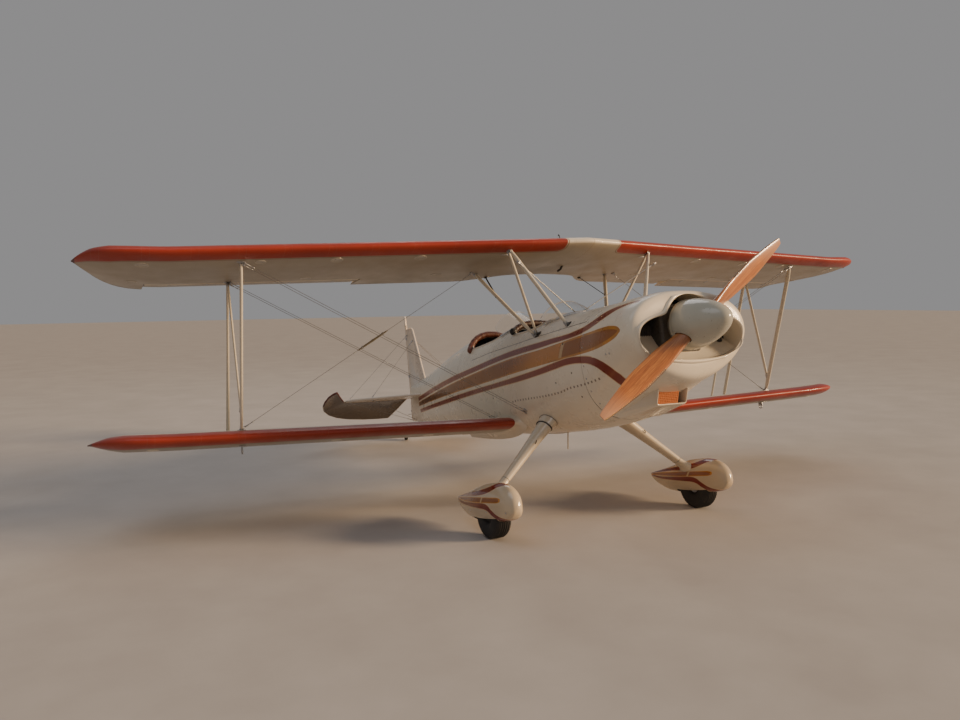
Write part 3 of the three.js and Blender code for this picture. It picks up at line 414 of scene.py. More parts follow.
# --------------------------------------------------------------- materials
class Tree:
    def __init__(self, name):
        self.m = bpy.data.materials.new(name)
        self.m.use_nodes = True
        self.t = self.m.node_tree
        self.t.nodes.clear()
        self.out = self.new("ShaderNodeOutputMaterial")
        self.b = self.new("ShaderNodeBsdfPrincipled")
        self.t.links.new(self.b.outputs[0], self.out.inputs[0])
        self._c = None

    def new(self, kind, **kw):
        n = self.t.nodes.new(kind)
        for k, v in kw.items():
            setattr(n, k, v)
        return n

    def put(self, socket, value):
        if isinstance(value, bpy.types.NodeSocket):
            self.t.links.new(value, socket)
        elif value is not None:
            if hasattr(socket.default_value, "__len__") and not hasattr(value, "__len__"):
                value = (value,) * len(socket.default_value)
            if hasattr(socket.default_value, "__len__") and len(value) == 3 and len(socket.default_value) == 4:
                value = (*value, 1)
            socket.default_value = value

    def math(self, op, a, b=None, c=None, clamp=False):
        n = self.new("ShaderNodeMath", operation=op, use_clamp=clamp)
        for s, v in zip(n.inputs, (a, b, c)):
            self.put(s, v)
        return n.outputs[0]

    def set(self, **kw):
        names = dict(rough="Roughness", metal="Metallic", coat="Coat Weight", coatrough="Coat Roughness", ior="IOR",
                     spec="Specular IOR Level", trans="Transmission Weight", alpha="Alpha", sheen="Sheen Weight",
                     sheenrough="Sheen Roughness", color="Base Color", normal="Normal", sub="Subsurface Weight")
        for k, v in kw.items():
            self.put(self.b.inputs[names[k]], v)
        return self

    def body(self):
        """Position at rest in the airframe's own axes."""
        if self._c is None:
            tc = self.new("ShaderNodeTexCoord")
            mp = self.new("ShaderNodeMapping", vector_type="POINT")
            mp.inputs["Location"].default_value = (0, MID * CT, MID * ST)
            mp.inputs["Rotation"].default_value = (TH, 0, 0)
            self.t.links.new(tc.outputs["Object"], mp.inputs[0])
            sp = self.new("ShaderNodeSeparateXYZ")
            self.t.links.new(mp.outputs[0], sp.inputs[0])
            self._c = (mp.outputs[0], sp.outputs[0], sp.outputs[1], sp.outputs[2])
        return self._c

    def uv(self):
        n = self.new("ShaderNodeUVMap", uv_map="UVMap")
        sp = self.new("ShaderNodeSeparateXYZ")
        self.t.links.new(n.outputs[0], sp.inputs[0])
        return n.outputs[0], sp.outputs[0], sp.outputs[1]

    def scaled(self, vec, s):
        mp = self.new("ShaderNodeMapping")
        mp.inputs["Scale"].default_value = s
        self.t.links.new(vec, mp.inputs[0])
        return mp.outputs[0]

    def noise(self, scale, detail=4, rough=0.55, vec=None, distort=0.0):
        n = self.new("ShaderNodeTexNoise")
        self.put(n.inputs["Vector"], vec if vec is not None else self.body()[0])
        n.inputs["Scale"].default_value = scale
        n.inputs["Detail"].default_value = detail
        n.inputs["Roughness"].default_value = rough
        n.inputs["Distortion"].default_value = distort
        return n.outputs["Fac"]

    def mix(self, f, a, b, blend="MIX"):
        n = self.new("ShaderNodeMix", data_type="RGBA", blend_type=blend)
        self.put(n.inputs["Factor"], f)
        self.put(n.inputs["A"] if False else n.inputs[6], a)
        self.put(n.inputs[7], b)
        return n.outputs[2]

    def span(self, v, a, b, lo=0.0, hi=1.0, smooth=False):
        n = self.new("ShaderNodeMapRange", interpolation_type="SMOOTHSTEP" if smooth else "LINEAR")
        for s, q in zip(n.inputs, (v, a, b, lo, hi)):
            self.put(s, q)
        return n.outputs[0]

    def curve(self, v, pts, x0, x1, y0, y1):
        """Piecewise smooth function of v through pts."""
        n = self.new("ShaderNodeFloatCurve")
        c = n.mapping.curves[0]
        pts = sorted(pts)
        want = [((x - x0) / (x1 - x0), (y - y0) / (y1 - y0)) for x, y in pts]
        while len(c.points) < len(want):
            c.points.new(0.5, 0.5)
        for p, q in zip(c.points, want):
            p.location = q
            p.handle_type = "AUTO_CLAMPED"
        n.mapping.extend = "HORIZONTAL"
        n.mapping.update()
        self.put(n.inputs["Value"], self.span(v, x0, x1))
        n.inputs["Factor"].default_value = 1.0
        return self.span(n.outputs[0], 0, 1, y0, y1)

    def above(self, v, limit, soft=0.0015):
        """1 where v is above limit, with a thin soft edge."""
        d = self.math("SUBTRACT", v, limit)
        return self.span(d, -soft, soft)

    def bump(self, height, strength=0.2, dist=0.002, normal=None):
        n = self.new("ShaderNodeBump")
        n.inputs["Strength"].default_value = strength
        n.inputs["Distance"].default_value = dist
        self.put(n.inputs["Height"], height)
        if normal is not None:
            self.put(n.inputs["Normal"], normal)
        return n.outputs[0]


CREAM, CREAM2 = (0.76, 0.69, 0.565), (0.68, 0.605, 0.485)
RED, RED2 = (0.37, 0.034, 0.010), (0.25, 0.020, 0.008)
GOLD, BROWN, DARKBROWN = (0.52, 0.21, 0.012), (0.250, 0.076, 0.003), (0.110, 0.031, 0.004)


def grime(t, color, amount=0.5):
    """Slow tone changes and faint dark spots."""
    vec, x, y, z = t.body()
    slow = t.noise(2.1, 5, 0.6)
    color = t.mix(t.span(slow, 0.35, 0.75, 0, 0.35 * amount), color, (0.62, 0.54, 0.42), "MULTIPLY")
    spots = t.noise(38, 6, 0.7)
    return t.mix(t.span(spots, 0.62, 0.80, 0, 0.25 * amount), color, (0.35, 0.28, 0.20))


def finish_paint(t, color, height=None, rough=0.24, coat=0.45, grime_amount=0.5):
    color = grime(t, color, grime_amount)
    r = t.span(t.noise(6, 4), 0.3, 0.7, rough * 0.8, rough * 1.35)
    peel = t.bump(t.noise(420, 2, 0.5), 0.05, 0.0006)
    if height is not None:
        peel = t.bump(height, 0.6, 0.002, peel)
    t.set(color=color, rough=r, normal=peel, coat=coat, coatrough=0.06)
    return t.m


def base_cream(t):
    return t.mix(t.span(t.noise(0.9, 3), 0.3, 0.7), CREAM, CREAM2)


def lines(t, v, pitch, width, offset=0.0):
    """1 on a line of that width at every pitch of v."""
    q = t.math("PINGPONG", t.math("ADD", v, offset + pitch * 50), pitch / 2)
    return t.span(q, width / 2, width / 2 + 0.002, 1, 0, True)


def paint_plain(name="paint_cream", rough=0.22):
    t = Tree(name)
    return finish_paint(t, base_cream(t), rough=rough)


def paint_fuselage():
    t = Tree("paint_fuselage")
    vec, x, y, z = t.body()
    col = base_cream(t)
    Y0, Y1, Z0, Z1 = -1.30, 3.55, 0.85, 1.65
    cv = lambda pts: t.curve(y, pts, Y0, Y1, Z0, Z1)
    g_top = cv([(-1.180, 1.345), (-1.172, 1.360), (-1.146, 1.376), (-1.084, 1.390), (-1.006, 1.397), (-0.848, 1.396), (-0.592, 1.394), (-0.299, 1.382),
                (0.027, 1.371), (0.387, 1.367), (0.789, 1.354), (1.38, 1.321), (2.113, 1.276), (3.132, 1.201), (3.5, 1.174)])
    g_bot = cv([(-1.180, 1.343), (-1.172, 1.338), (-1.144, 1.317), (-1.083, 1.296), (-0.996, 1.278), (-0.856, 1.262), (-0.604, 1.257), (-0.306, 1.252),
                (0.026, 1.246), (0.392, 1.236), (0.802, 1.221), (1.273, 1.205), (1.819, 1.188), (2.507, 1.166), (3.422, 1.133), (3.5, 1.130)])
    u_top = cv([(-1.25, 1.534), (-1.05, 1.533), (-0.962, 1.530), (-0.895, 1.521), (-0.835, 1.507), (-0.759, 1.485), (-0.633, 1.455), (-0.498, 1.439),
                (-0.357, 1.430), (-0.151, 1.432), (0.048, 1.431), (0.405, 1.430), (0.80, 1.415), (1.382, 1.381), (2.108, 1.341), (3.11, 1.262), (3.5, 1.228)])
    u_bot = cv([(-1.15, 1.520), (-1.047, 1.505), (-0.986, 1.487), (-0.905, 1.462), (-0.819, 1.440), (-0.664, 1.415), (-0.518, 1.400), (-0.373, 1.395),
                (-0.167, 1.392), (0.032, 1.387), (0.39, 1.383), (0.791, 1.371), (1.38, 1.335), (2.11, 1.291), (3.125, 1.218), (3.5, 1.191)])
    l_top = cv([(-0.893, 1.182), (-0.794, 1.216), (-0.601, 1.243), (-0.428, 1.252), (-0.225, 1.242), (0.03, 1.223), (0.399, 1.204), (0.81, 1.187),
                (1.409, 1.170), (2.153, 1.142), (2.942, 1.112), (3.45, 1.093)])
    l_bot = cv([(-0.82, 1.146), (-0.718, 1.181), (-0.592, 1.198), (-0.42, 1.206), (-0.215, 1.194), (0.04, 1.178), (0.408, 1.160), (0.819, 1.149),
                (1.421, 1.129), (2.171, 1.102), (2.969, 1.074), (3.45, 1.057)])
    # the lower band turns down round the cowling side: y of its two edges against z
    zc_ = lambda pts: t.curve(z, pts, 0.95, 1.25, -1.1, -0.4)
    d_front = zc_([(0.960, -0.985), (1.027, -1.000), (1.063, -1.001), (1.096, -0.988), (1.141, -0.955), (1.182, -0.893), (1.216, -0.794), (1.243, -0.601)])
    d_rear = zc_([(0.960, -0.930), (0.992, -0.929), (1.022, -0.924), (1.055, -0.914), (1.101, -0.881), (1.146, -0.820), (1.181, -0.718), (1.206, -0.42)])
    inside = lambda lo, hi: t.math("MULTIPLY", t.above(z, lo), t.math("SUBTRACT", 1.0, t.above(z, hi)))
    yspan = lambda a, b: t.math("MULTIPLY", t.above(y, a), t.math("SUBTRACT", 1.0, t.above(y, b)))
    # spear: gold edge, brown field, an amber panel behind the slanted bar
    spear = t.math("MULTIPLY", inside(g_bot, g_top), yspan(-1.180, 3.46))
    edge = t.curve(y, [(-1.18, 0.024), (-1.0, 0.022), (-0.6, 0.016), (0.0, 0.013), (0.8, 0.011), (2.0, 0.009), (3.46, 0.006)], Y0, Y1, 0, 0.05)
    g_top2 = t.math("SUBTRACT", g_top, edge)
    g_bot2 = t.math("ADD", g_bot, edge)
    field = t.math("MULTIPLY", inside(g_bot2, g_top2), yspan(-1.150, 3.44))
    brown = t.mix(t.span(y, 1.2, 2.9), BROWN, DARKBROWN)
    glow = t.mix(t.span(t.noise(3.0, 3), 0.35, 0.7, 0, 0.4), brown, (0.27, 0.125, 0.028))
    gold = t.mix(t.span(t.noise(11, 3), 0.3, 0.7), GOLD, (0.34, 0.15, 0.035))
    col = t.mix(spear, col, gold)
    slant = t.math("ADD", y, t.math("MULTIPLY", t.math("SUBTRACT", z, 1.25), 0.40))
    bar = t.math("MULTIPLY", t.above(slant, -0.320, 0.002), t.math("SUBTRACT", 1.0, t.above(slant, -0.275, 0.002)))
    amber = t.math("MULTIPLY", t.above(slant, -0.275, 0.02), t.math("SUBTRACT", 1.0, t.above(slant, 0.42, 0.22)))
    fill = t.mix(t.math("MULTIPLY", amber, 0.8), glow, (0.50, 0.205, 0.030))
    fill = t.mix(bar, fill, (0.47, 0.30, 0.14))
    col = t.mix(field, col, fill)
    # upper and lower bands, each with a thin light edge
    deep = t.mix(t.span(y, -0.9, 0.6), (0.185, 0.024, 0.010), (0.215, 0.038, 0.016))
    low_ = t.mix(t.span(y, -0.9, 0.6), (0.190, 0.022, 0.009), (0.205, 0.034, 0.014))

    def banding(g):
        up_ = t.math("MULTIPLY", inside(t.math("SUBTRACT", u_bot, g), t.math("ADD", u_top, g)), yspan(-1.235 - g * 0.6, 3.46 + g))
        lo_ = t.math("MULTIPLY", inside(t.math("SUBTRACT", l_bot, g), t.math("ADD", l_top, g)), yspan(-0.790, 3.43 + g))
        dn = t.math("MULTIPLY", t.above(y, t.math("SUBTRACT", d_front, g)), t.math("SUBTRACT", 1.0, t.above(y, t.math("ADD", d_rear, g))))
        end = t.math("SUBTRACT", 0.534 - g, t.math("MULTIPLY", y, 0.493))
        dn = t.math("MULTIPLY", dn, t.math("MULTIPLY", t.above(z, end), t.math("SUBTRACT", 1.0, t.above(z, 1.212 + g))))
        dn = t.math("MULTIPLY", dn, t.math("SUBTRACT", 1.0, t.above(y, -0.60)))
        return up_, t.math("MAXIMUM", lo_, dn)

    for g, a_, b_ in ((0.006, (0.60, 0.42, 0.24), (0.60, 0.42, 0.24)), (0.0, deep, low_)):
        m_up, m_lo = banding(g)
        col = t.mix(m_up, col, a_)
        col = t.mix(m_lo, col, b_)
    # bolted side-panel joint, firewall joint, stringers under the rear fabric
    seam = t.curve(y, [(-0.60, 1.490), (-0.28, 1.489), (-0.08, 1.488), (0.171, 1.487), (0.431, 1.480), (0.722, 1.475), (1.046, 1.470), (1.375, 1.455), (1.5, 1.450)], Y0, Y1, 1.2, 1.6)
    sd = t.math("ABSOLUTE", t.math("SUBTRACT", z, seam))
    on = yspan(-0.607, 1.50)
    groove = t.math("MULTIPLY", t.span(sd, 0.0022, 0.0040, 1, 0), on)
    fire = t.span(t.math("ABSOLUTE", t.math("ADD", y, 0.607)), 0.0022, 0.0040, 1, 0)
    back = t.span(t.math("ABSOLUTE", t.math("SUBTRACT", y, 1.86)), 0.0015, 0.003, 1, 0)
    cuts = t.math("MAXIMUM", groove, t.math("MAXIMUM", t.math("MULTIPLY", fire, 0.55), back))
    col = t.mix(t.math("MULTIPLY", cuts, 0.8), col, (0.10, 0.075, 0.055))
    # screw heads along the joint
    sx = t.math("PINGPONG", t.math("ADD", y, 10.0), 0.05)
    sz = t.math("SUBTRACT", t.math("ABSOLUTE", t.math("SUBTRACT", z, t.math("ADD", seam, 0.014))), 0.0)
    dot = t.math("MULTIPLY", t.span(t.math("SQRT", t.math("ADD", t.math("POWER", sx, 2), t.math("POWER", sz, 2))), 0.0040, 0.0052, 1, 0), on)
    col = t.mix(t.math("MULTIPLY", dot, 0.7), col, (0.20, 0.16, 0.12))
    # laced seam low on the fabric side
    lace = t.curve(y, [(-0.81, 1.066), (-0.676, 1.051), (-0.533, 1.042), (-0.39, 1.036), (-0.23, 1.016), (-0.069, 1.009), (0.10, 1.006), (0.275, 1.007), (0.46, 1.007), (0.62, 1.001)], Y0, Y1, 0.8, 1.2)
    ld = t.math("ABSOLUTE", t.math("SUBTRACT", z, lace))
    beads = t.span(t.math("PINGPONG", t.math("ADD", y, 10.0), 0.025), 0.0075, 0.0110, 1, 0)
    laced = t.math("MULTIPLY", t.math("MULTIPLY", t.span(ld, 0.0060, 0.0095, 1, 0), beads), yspan(-0.82, 0.64))
    col = t.mix(t.math("MULTIPLY", laced, 0.85), col, (0.11, 0.075, 0.055))
    uvv, u, v = t.uv()
    ribs = t.math("MULTIPLY", lines(t, v, 1 / 24, 0.004), t.above(y, 1.9, 0.05))
    frames_ = t.math("MULTIPLY", lines(t, y, 0.42, 0.02), t.above(y, 1.95, 0.02))
    h = t.math("ADD", t.math("MULTIPLY", cuts, -1.0), t.math("MULTIPLY", ribs, 0.5))
    h = t.math("ADD", h, t.math("MULTIPLY", frames_, 0.22))
    h = t.math("ADD", h, t.math("MULTIPLY", laced, 0.6))
    h = t.math("ADD", h, t.math("MULTIPLY", dot, 0.4))
    return finish_paint(t, col, h, 0.28, 0.16, 0.6)


def paint_wing(name, chord, centre=None, lower=False):
    """uv: u is metres along the span, v is metres aft of the leading edge, negative underneath."""
    t = Tree(name)
    uvv, u, v = t.uv()
    col = base_cream(t)
    av = t.math("ABSOLUTE", v)
    if centre is not None:
        c, w = centre
        dx = t.math("SUBTRACT", t.math("ABSOLUTE", t.math("SUBTRACT", u, c)), w)     # out from the pale middle
    else:
        dx = t.math("SUBTRACT", t.math("ABSOLUTE", u), 0.300)
    r, wide = 0.055, 0.108
    p = t.math("MAXIMUM", t.math("SUBTRACT", r, dx), 0.0)
    q = t.math("MAXIMUM", t.math("SUBTRACT", av, wide - r), 0.0)
    d = t.math("SQRT", t.math("ADD", t.math("MULTIPLY", p, p), t.math("MULTIPLY", q, q)))
    inside = t.span(d, r - 0.0012, r + 0.0012, 1, 0)
    pale = t.span(d, r + 0.006, r + 0.0085, 1, 0)
    # painted shadow: a thin dark-brown line a little outside the red band stands in for the shadow along the band's
    # edge
    painted_shadow_line = t.span(d, r + 0.013, r + 0.0155, 1, 0)
    col = t.mix(painted_shadow_line, col, (0.30, 0.155, 0.05))
    col = t.mix(pale, col, CREAM)
    # painted shade: the underside is darkened to about half, as the wing's lower face is in shade
    col = t.mix(t.span(v, -0.002, -0.012), col, t.mix(1.0, col, (0.50, 0.475, 0.44), "MULTIPLY"))
    red = t.mix(t.span(t.noise(1.6, 4), 0.35, 0.7), RED, RED2)
    col = t.mix(inside, col, red)
    # the tip bow is painted dark
    bow = t.above(t.math("ABSOLUTE", u), 3.628 if centre is not None else 3.572, 0.006)
    col = t.mix(t.math("MULTIPLY", bow, 0.9), col, (0.075, 0.020, 0.014))
    tape = lines(t, u, 0.305, 0.045, 0.1525)
    edge = lines(t, u, 0.305, 0.049, 0.1525)
    stitch = t.math("MULTIPLY", lines(t, u, 0.305, 0.010, 0.1525), lines(t, v, 0.06, 0.008))
    sag = t.math("PINGPONG", t.math("ADD", u, 50 * 0.305 + 0.1525), 0.1525)
    spar1 = t.span(t.math("ABSOLUTE", t.math("SUBTRACT", av, 0.165)), 0.022, 0.026, 1, 0)
    h = t.math("ADD", t.math("MULTIPLY", tape, 0.35), t.math("MULTIPLY", stitch, 0.5))
    h = t.math("ADD", h, t.math("MULTIPLY", spar1, 0.12))
    h = t.math("SUBTRACT", h, t.math("MULTIPLY", t.span(sag, 0.0, 0.1525, 0, 1.2, True), t.span(av, 0.13, 0.25)))
    faint = t.math("SUBTRACT", edge, tape)
    col = t.mix(t.math("MULTIPLY", faint, 0.18), col, (0.3, 0.24, 0.17))
    if centre is not None:
        jl = t.span(t.math("ABSOLUTE", t.math("SUBTRACT", u, 0.03)), 0.0015, 0.003, 1, 0)
        col = t.mix(t.math("MULTIPLY", jl, 0.6), col, (0.28, 0.18, 0.10))
        h = t.math("SUBTRACT", h, jl)
    return finish_paint(t, col, h, 0.40, 0.12, 0.5)


def paint_tail():
    t = Tree("paint_tail")
    vec, x, y, z = t.body()
    uvv, u, v = t.uv()
    col = t.mix(0.45, base_cream(t), (0.66, 0.535, 0.45))
    tape = lines(t, u, 0.19, 0.03)
    col = t.mix(t.math("MULTIPLY", t.math("SUBTRACT", lines(t, u, 0.19, 0.034), tape), 0.25), col, (0.35, 0.28, 0.2))
    rim = t.span(v, 0.018, 0.024, 1, 0)
    h = t.math("ADD", t.math("MULTIPLY", tape, 0.4), t.math("MULTIPLY", rim, 0.8))
    return finish_paint(t, col, h, 0.25, 0.4, 0.6)


def paint_elevator():
    HY_ = 3.940
    t = Tree("paint_elevator")
    uvv, u, v = t.uv()
    vec, x, y, z = t.body()
    ax = t.math("ABSOLUTE", x)
    horn = t.math("MULTIPLY", t.above(ax, 0.850), t.math("SUBTRACT", 1.0, t.above(v, 0.0165)))
    lead = t.math("MULTIPLY", horn, t.math("SUBTRACT", 1.0, t.above(y, 3.98)))
    # painted shade: the lower face is tan brown inside a paler rim, darker and browner than the cream top; the horn's
    # lower face is dark red-brown
    off = t.math("ADD", t.math("MULTIPLY", t.math("SUBTRACT", y, HY_), 0.515), t.math("MULTIPLY", t.math("SUBTRACT", z, 1.262), 0.857))
    shaded_underside = t.span(off, -0.008, -0.002, 1, 0)
    tan = t.mix(t.span(t.noise(2.4, 4), 0.3, 0.7), (0.155, 0.108, 0.068), (0.115, 0.080, 0.050))
    tan = t.mix(t.span(v, 0.010, 0.014, 1, 0), tan, (0.40, 0.31, 0.21))
    col = t.mix(shaded_underside, base_cream(t), tan)
    col = t.mix(lead, col, (0.10, 0.016, 0.009))
    tape = lines(t, x, 0.19, 0.03)
    h = t.math("ADD", t.math("MULTIPLY", tape, 0.4), t.math("MULTIPLY", t.span(v, 0.018, 0.024, 1, 0), 0.8))
    return finish_paint(t, col, h, 0.25, 0.4, 0.6)


def paint_pant():
    t = Tree("paint_fairing")
    vec, x, y, z = t.body()
    col = t.mix(1.0, base_cream(t), (0.78, 0.70, 0.60), "MULTIPLY")
    Y0, Y1, Z0, Z1 = -0.5, 0.7, 0.1, 0.5
    cv = lambda pts: t.curve(y, pts, Y0, Y1, Z0, Z1)
    ins = lambda mid, w: t.span(t.math("ABSOLUTE", t.math("SUBTRACT", z, mid)), t.math("SUBTRACT", w, 0.001), t.math("ADD", w, 0.001), 1, 0)
    top = cv([(-0.46, 0.404), (-0.40, 0.412), (-0.34, 0.413), (-0.25, 0.402), (-0.16, 0.370), (-0.09, 0.351), (0.05, 0.330), (0.24, 0.316), (0.42, 0.300), (0.56, 0.286)])
    topw = t.curve(y, [(-0.46, 0.015), (-0.3, 0.022), (-0.1, 0.0205), (0.1, 0.016), (0.3, 0.011), (0.56, 0.005)], Y0, Y1, 0, 0.03)
    low = cv([(-0.36, 0.128), (-0.27, 0.152), (-0.18, 0.197), (-0.11, 0.232), (-0.04, 0.241), (0.10, 0.242), (0.26, 0.243), (0.42, 0.248), (0.56, 0.262)])
    dart = t.span(y, -0.35, 0.56, 0.289, 0.272)
    dartw = t.curve(y, [(-0.31, 0.006), (-0.285, 0.016), (-0.23, 0.020), (-0.05, 0.020), (0.2, 0.018), (0.56, 0.008)], Y0, Y1, 0, 0.03)
    for mid, w, c in ((top, topw, (0.185, 0.018, 0.006)), (low, topw, (0.185, 0.018, 0.006))):
        on = ins(mid, t.math("ADD", w, 0.003))
        col = t.mix(t.math("MULTIPLY", on, t.math("SUBTRACT", 1.0, t.above(y, 0.57))), col, (0.58, 0.40, 0.22))
        on = ins(mid, w)
        col = t.mix(t.math("MULTIPLY", on, t.math("SUBTRACT", 1.0, t.above(y, 0.57))), col, c)
    yon = t.math("MULTIPLY", t.above(y, -0.308), t.math("SUBTRACT", 1.0, t.above(y, 0.56)))
    col = t.mix(t.math("MULTIPLY", ins(dart, dartw), yon), col, GOLD)
    col = t.mix(t.math("MULTIPLY", ins(dart, t.math("SUBTRACT", dartw, 0.005)), t.math("MULTIPLY", t.above(y, -0.288), t.math("SUBTRACT", 1.0, t.above(y, 0.54)))), col, (0.260, 0.074, 0.002))
    bar = t.span(t.math("ABSOLUTE", t.math("ADD", t.math("ADD", y, t.math("MULTIPLY", t.math("SUBTRACT", z, 0.283), 0.6)), 0.03)), 0.010, 0.012, 1, 0)
    col = t.mix(t.math("MULTIPLY", t.math("MULTIPLY", bar, ins(dart, dartw)), yon), col, (0.55, 0.38, 0.18))
    joint = t.span(t.math("ABSOLUTE", t.math("SUBTRACT", y, 0.26)), 0.0012, 0.0024, 1, 0)
    col = t.mix(t.math("MULTIPLY", joint, 0.4), col, (0.2, 0.15, 0.1))
    mud = t.math("MULTIPLY", t.span(z, 0.125, 0.19, 1, 0), t.span(t.noise(26, 6, 0.7), 0.42, 0.72))
    col = t.mix(t.math("MULTIPLY", mud, 0.5), col, (0.22, 0.16, 0.11))
    return finish_paint(t, col, t.math("MULTIPLY", joint, -1.0), 0.2, 0.55, 0.5)


def paint_leg():
    t = Tree("paint_leg")
    vec, x, y, z = t.body()
    col = t.mix(t.span(z, 0.35, 0.85), (0.64, 0.55, 0.41), (0.58, 0.49, 0.36))
    streak = t.noise(7, 5, 0.6, t.scaled(vec, (5, 9, 1)))
    col = t.mix(t.span(streak, 0.55, 0.85, 0, 0.35), col, (0.45, 0.36, 0.26))
    return finish_paint(t, col, None, 0.24, 0.45, 0.6)


def wood():
    t = Tree("laminated_wood")
    vec, x, y, z = t.body()
    uvv, u, v = t.uv()
    warp = t.math("MULTIPLY", t.math("SUBTRACT", t.noise(3.5, 3), 0.5), 0.010)
    lam = t.math("DIVIDE", t.math("ADD", t.math("ADD", y, warp), 10.0), 0.0175)
    idx = t.math("FLOOR", lam)
    fr = t.math("FRACT", lam)
    wn = t.new("ShaderNodeTexWhiteNoise", noise_dimensions="1D")
    t.put(wn.inputs["W"], idx)
    tone = wn.outputs["Value"]
    grain_v = t.scaled(uvv, (0.8, 5.0, 1))
    grain = t.noise(9.0, 8, 0.72, grain_v, 0.6)
    fine = t.noise(42, 4, 0.6, t.scaled(uvv, (0.5, 3.0, 1)))
    light, mid, dark = (0.62, 0.235, 0.062), (0.44, 0.145, 0.038), (0.17, 0.048, 0.016)
    col = t.mix(tone, light, mid)
    col = t.mix(t.span(grain, 0.42, 0.74, 0, 0.85), col, dark)
    col = t.mix(t.span(fine, 0.55, 0.8, 0, 0.4), col, (0.16, 0.055, 0.022))
    glue = t.math("ADD", t.span(fr, 0.0, 0.05, 1, 0), t.span(fr, 0.95, 1.0, 0, 1))
    col = t.mix(t.math("MULTIPLY", glue, 0.45), col, (0.11, 0.04, 0.018))
    # darker at the root, paler and sun-worn at the tip
    col = t.mix(t.span(u, 0.12, 0.36, 0.55, 0), col, (0.12, 0.045, 0.022))
    col = t.mix(t.span(u, 0.74, 0.93, 0, 0.55), col, (0.60, 0.36, 0.24))
    knot = t.span(t.math("SQRT", t.math("ADD", t.math("POWER", t.math("SUBTRACT", u, 0.52), 2.0), t.math("POWER", t.math("MULTIPLY", t.math("SUBTRACT", v, 0.25), 0.35), 2.0))), 0.006, 0.014, 1, 0, True)
    col = t.mix(t.math("MULTIPLY", knot, 0.8), col, (0.07, 0.026, 0.013))
    n = t.bump(t.math("ADD", grain, t.math("MULTIPLY", glue, -0.5)), 0.15, 0.0008)
    t.set(color=col, rough=t.span(grain, 0.3, 0.7, 0.24, 0.42), coat=0.55, coatrough=0.12, normal=n)
    return t.m


def spinner_paint():
    t = Tree("spinner_paint")
    vec, x, y, z = t.body()
    col = t.mix(t.span(t.noise(3.2, 5), 0.3, 0.7), (0.47, 0.455, 0.375), (0.40, 0.385, 0.315))
    bugs = t.math("MULTIPLY", t.span(t.noise(75, 2, 0.5), 0.69, 0.74), t.span(y, -1.65, -1.35, 1, 0.3))
    col = t.mix(t.math("MULTIPLY", bugs, 0.8), col, (0.10, 0.08, 0.07))
    ring = t.span(t.math("ABSOLUTE", t.math("SUBTRACT", y, -1.292)), 0.0012, 0.0024, 1, 0)
    col = t.mix(t.math("MULTIPLY", ring, 0.5), col, (0.2, 0.17, 0.14))
    n = t.bump(t.noise(300, 2), 0.04, 0.0005)
    n = t.bump(t.math("MULTIPLY", ring, -1.0), 0.5, 0.001, n)
    t.set(color=col, rough=t.span(t.noise(9, 4), 0.3, 0.7, 0.16, 0.3), coat=0.5, coatrough=0.08, normal=n)
    return t.m


def leather(name="leather", a=(0.060, 0.028, 0.018), b=(0.115, 0.045, 0.024)):
    t = Tree(name)
    vec = t.body()[0]
    vor = t.new("ShaderNodeTexVoronoi", feature="DISTANCE_TO_EDGE")
    t.put(vor.inputs["Vector"], vec)
    vor.inputs["Scale"].default_value = 260
    cell = t.span(vor.outputs["Distance"], 0.0, 0.12)
    worn = t.noise(14, 6, 0.65)
    col = t.mix(t.span(worn, 0.4, 0.7), a, b)
    col = t.mix(t.span(t.noise(60, 4), 0.6, 0.8, 0, 0.5), col, (0.20, 0.10, 0.06))
    n = t.bump(cell, 0.35, 0.0007)
    n = t.bump(worn, 0.3, 0.004, n)
    t.set(color=col, rough=t.span(worn, 0.3, 0.75, 0.34, 0.6), normal=n)
    return t.m


def cloth(name, a, b, scale=420.0):
    t = Tree(name)
    vec, x, y, z = t.body()
    w1 = t.new("ShaderNodeTexWave", wave_type="BANDS", bands_direction="X")
    w2 = t.new("ShaderNodeTexWave", wave_type="BANDS", bands_direction="Z")
    w3 = t.new("ShaderNodeTexWave", wave_type="BANDS", bands_direction="Y")
    for w in (w1, w2, w3):
        t.put(w.inputs["Vector"], vec)
        w.inputs["Scale"].default_value = scale / 6
        w.inputs["Distortion"].default_value = 0.6
    weave = t.math("MULTIPLY", w1.outputs["Fac"], t.math("MAXIMUM", w2.outputs["Fac"], w3.outputs["Fac"]))
    col = t.mix(t.span(t.noise(8, 5), 0.3, 0.7), a, b)
    col = t.mix(t.math("MULTIPLY", weave, 0.35), col, (a[0] * 0.4, a[1] * 0.4, a[2] * 0.4))
    n = t.bump(weave, 0.35, 0.0006)
    t.set(color=col, rough=t.span(t.noise(30, 3), 0.3, 0.7, 0.75, 0.92), sheen=0.3, sheenrough=0.5, normal=n)
    return t.m


def rubber():
    t = Tree("tyre_rubber")
    vec, x, y, z = t.body()
    n1 = t.noise(30, 6, 0.7)
    col = t.mix(t.span(n1, 0.35, 0.75), (0.012, 0.012, 0.013), (0.035, 0.032, 0.030))
    col = t.mix(t.math("MULTIPLY", t.span(t.noise(8, 5, 0.7), 0.5, 0.75), 0.4), col, (0.10, 0.085, 0.07))
    t.set(color=col, rough=t.span(n1, 0.3, 0.7, 0.62, 0.88), normal=t.bump(t.noise(260, 5, 0.7), 0.3, 0.0008))
    return t.m


def metal(name, c, rough=0.32, metallic=0.9, dirt=0.4):
    t = Tree(name)
    vec = t.body()[0]
    n1 = t.noise(46, 6, 0.65)
    brush = t.noise(20, 4, 0.6, t.scaled(vec, (30, 3, 3)))
    col = t.mix(t.span(brush, 0.3, 0.7), c, tuple(q * 0.72 for q in c))
    col = t.mix(t.span(n1, 0.58, 0.8, 0, dirt), col, (0.10, 0.085, 0.07))
    t.set(color=col, metal=metallic, rough=t.span(n1, 0.3, 0.75, rough * 0.75, rough * 1.6), normal=t.bump(brush, 0.08, 0.0005))
    return t.m


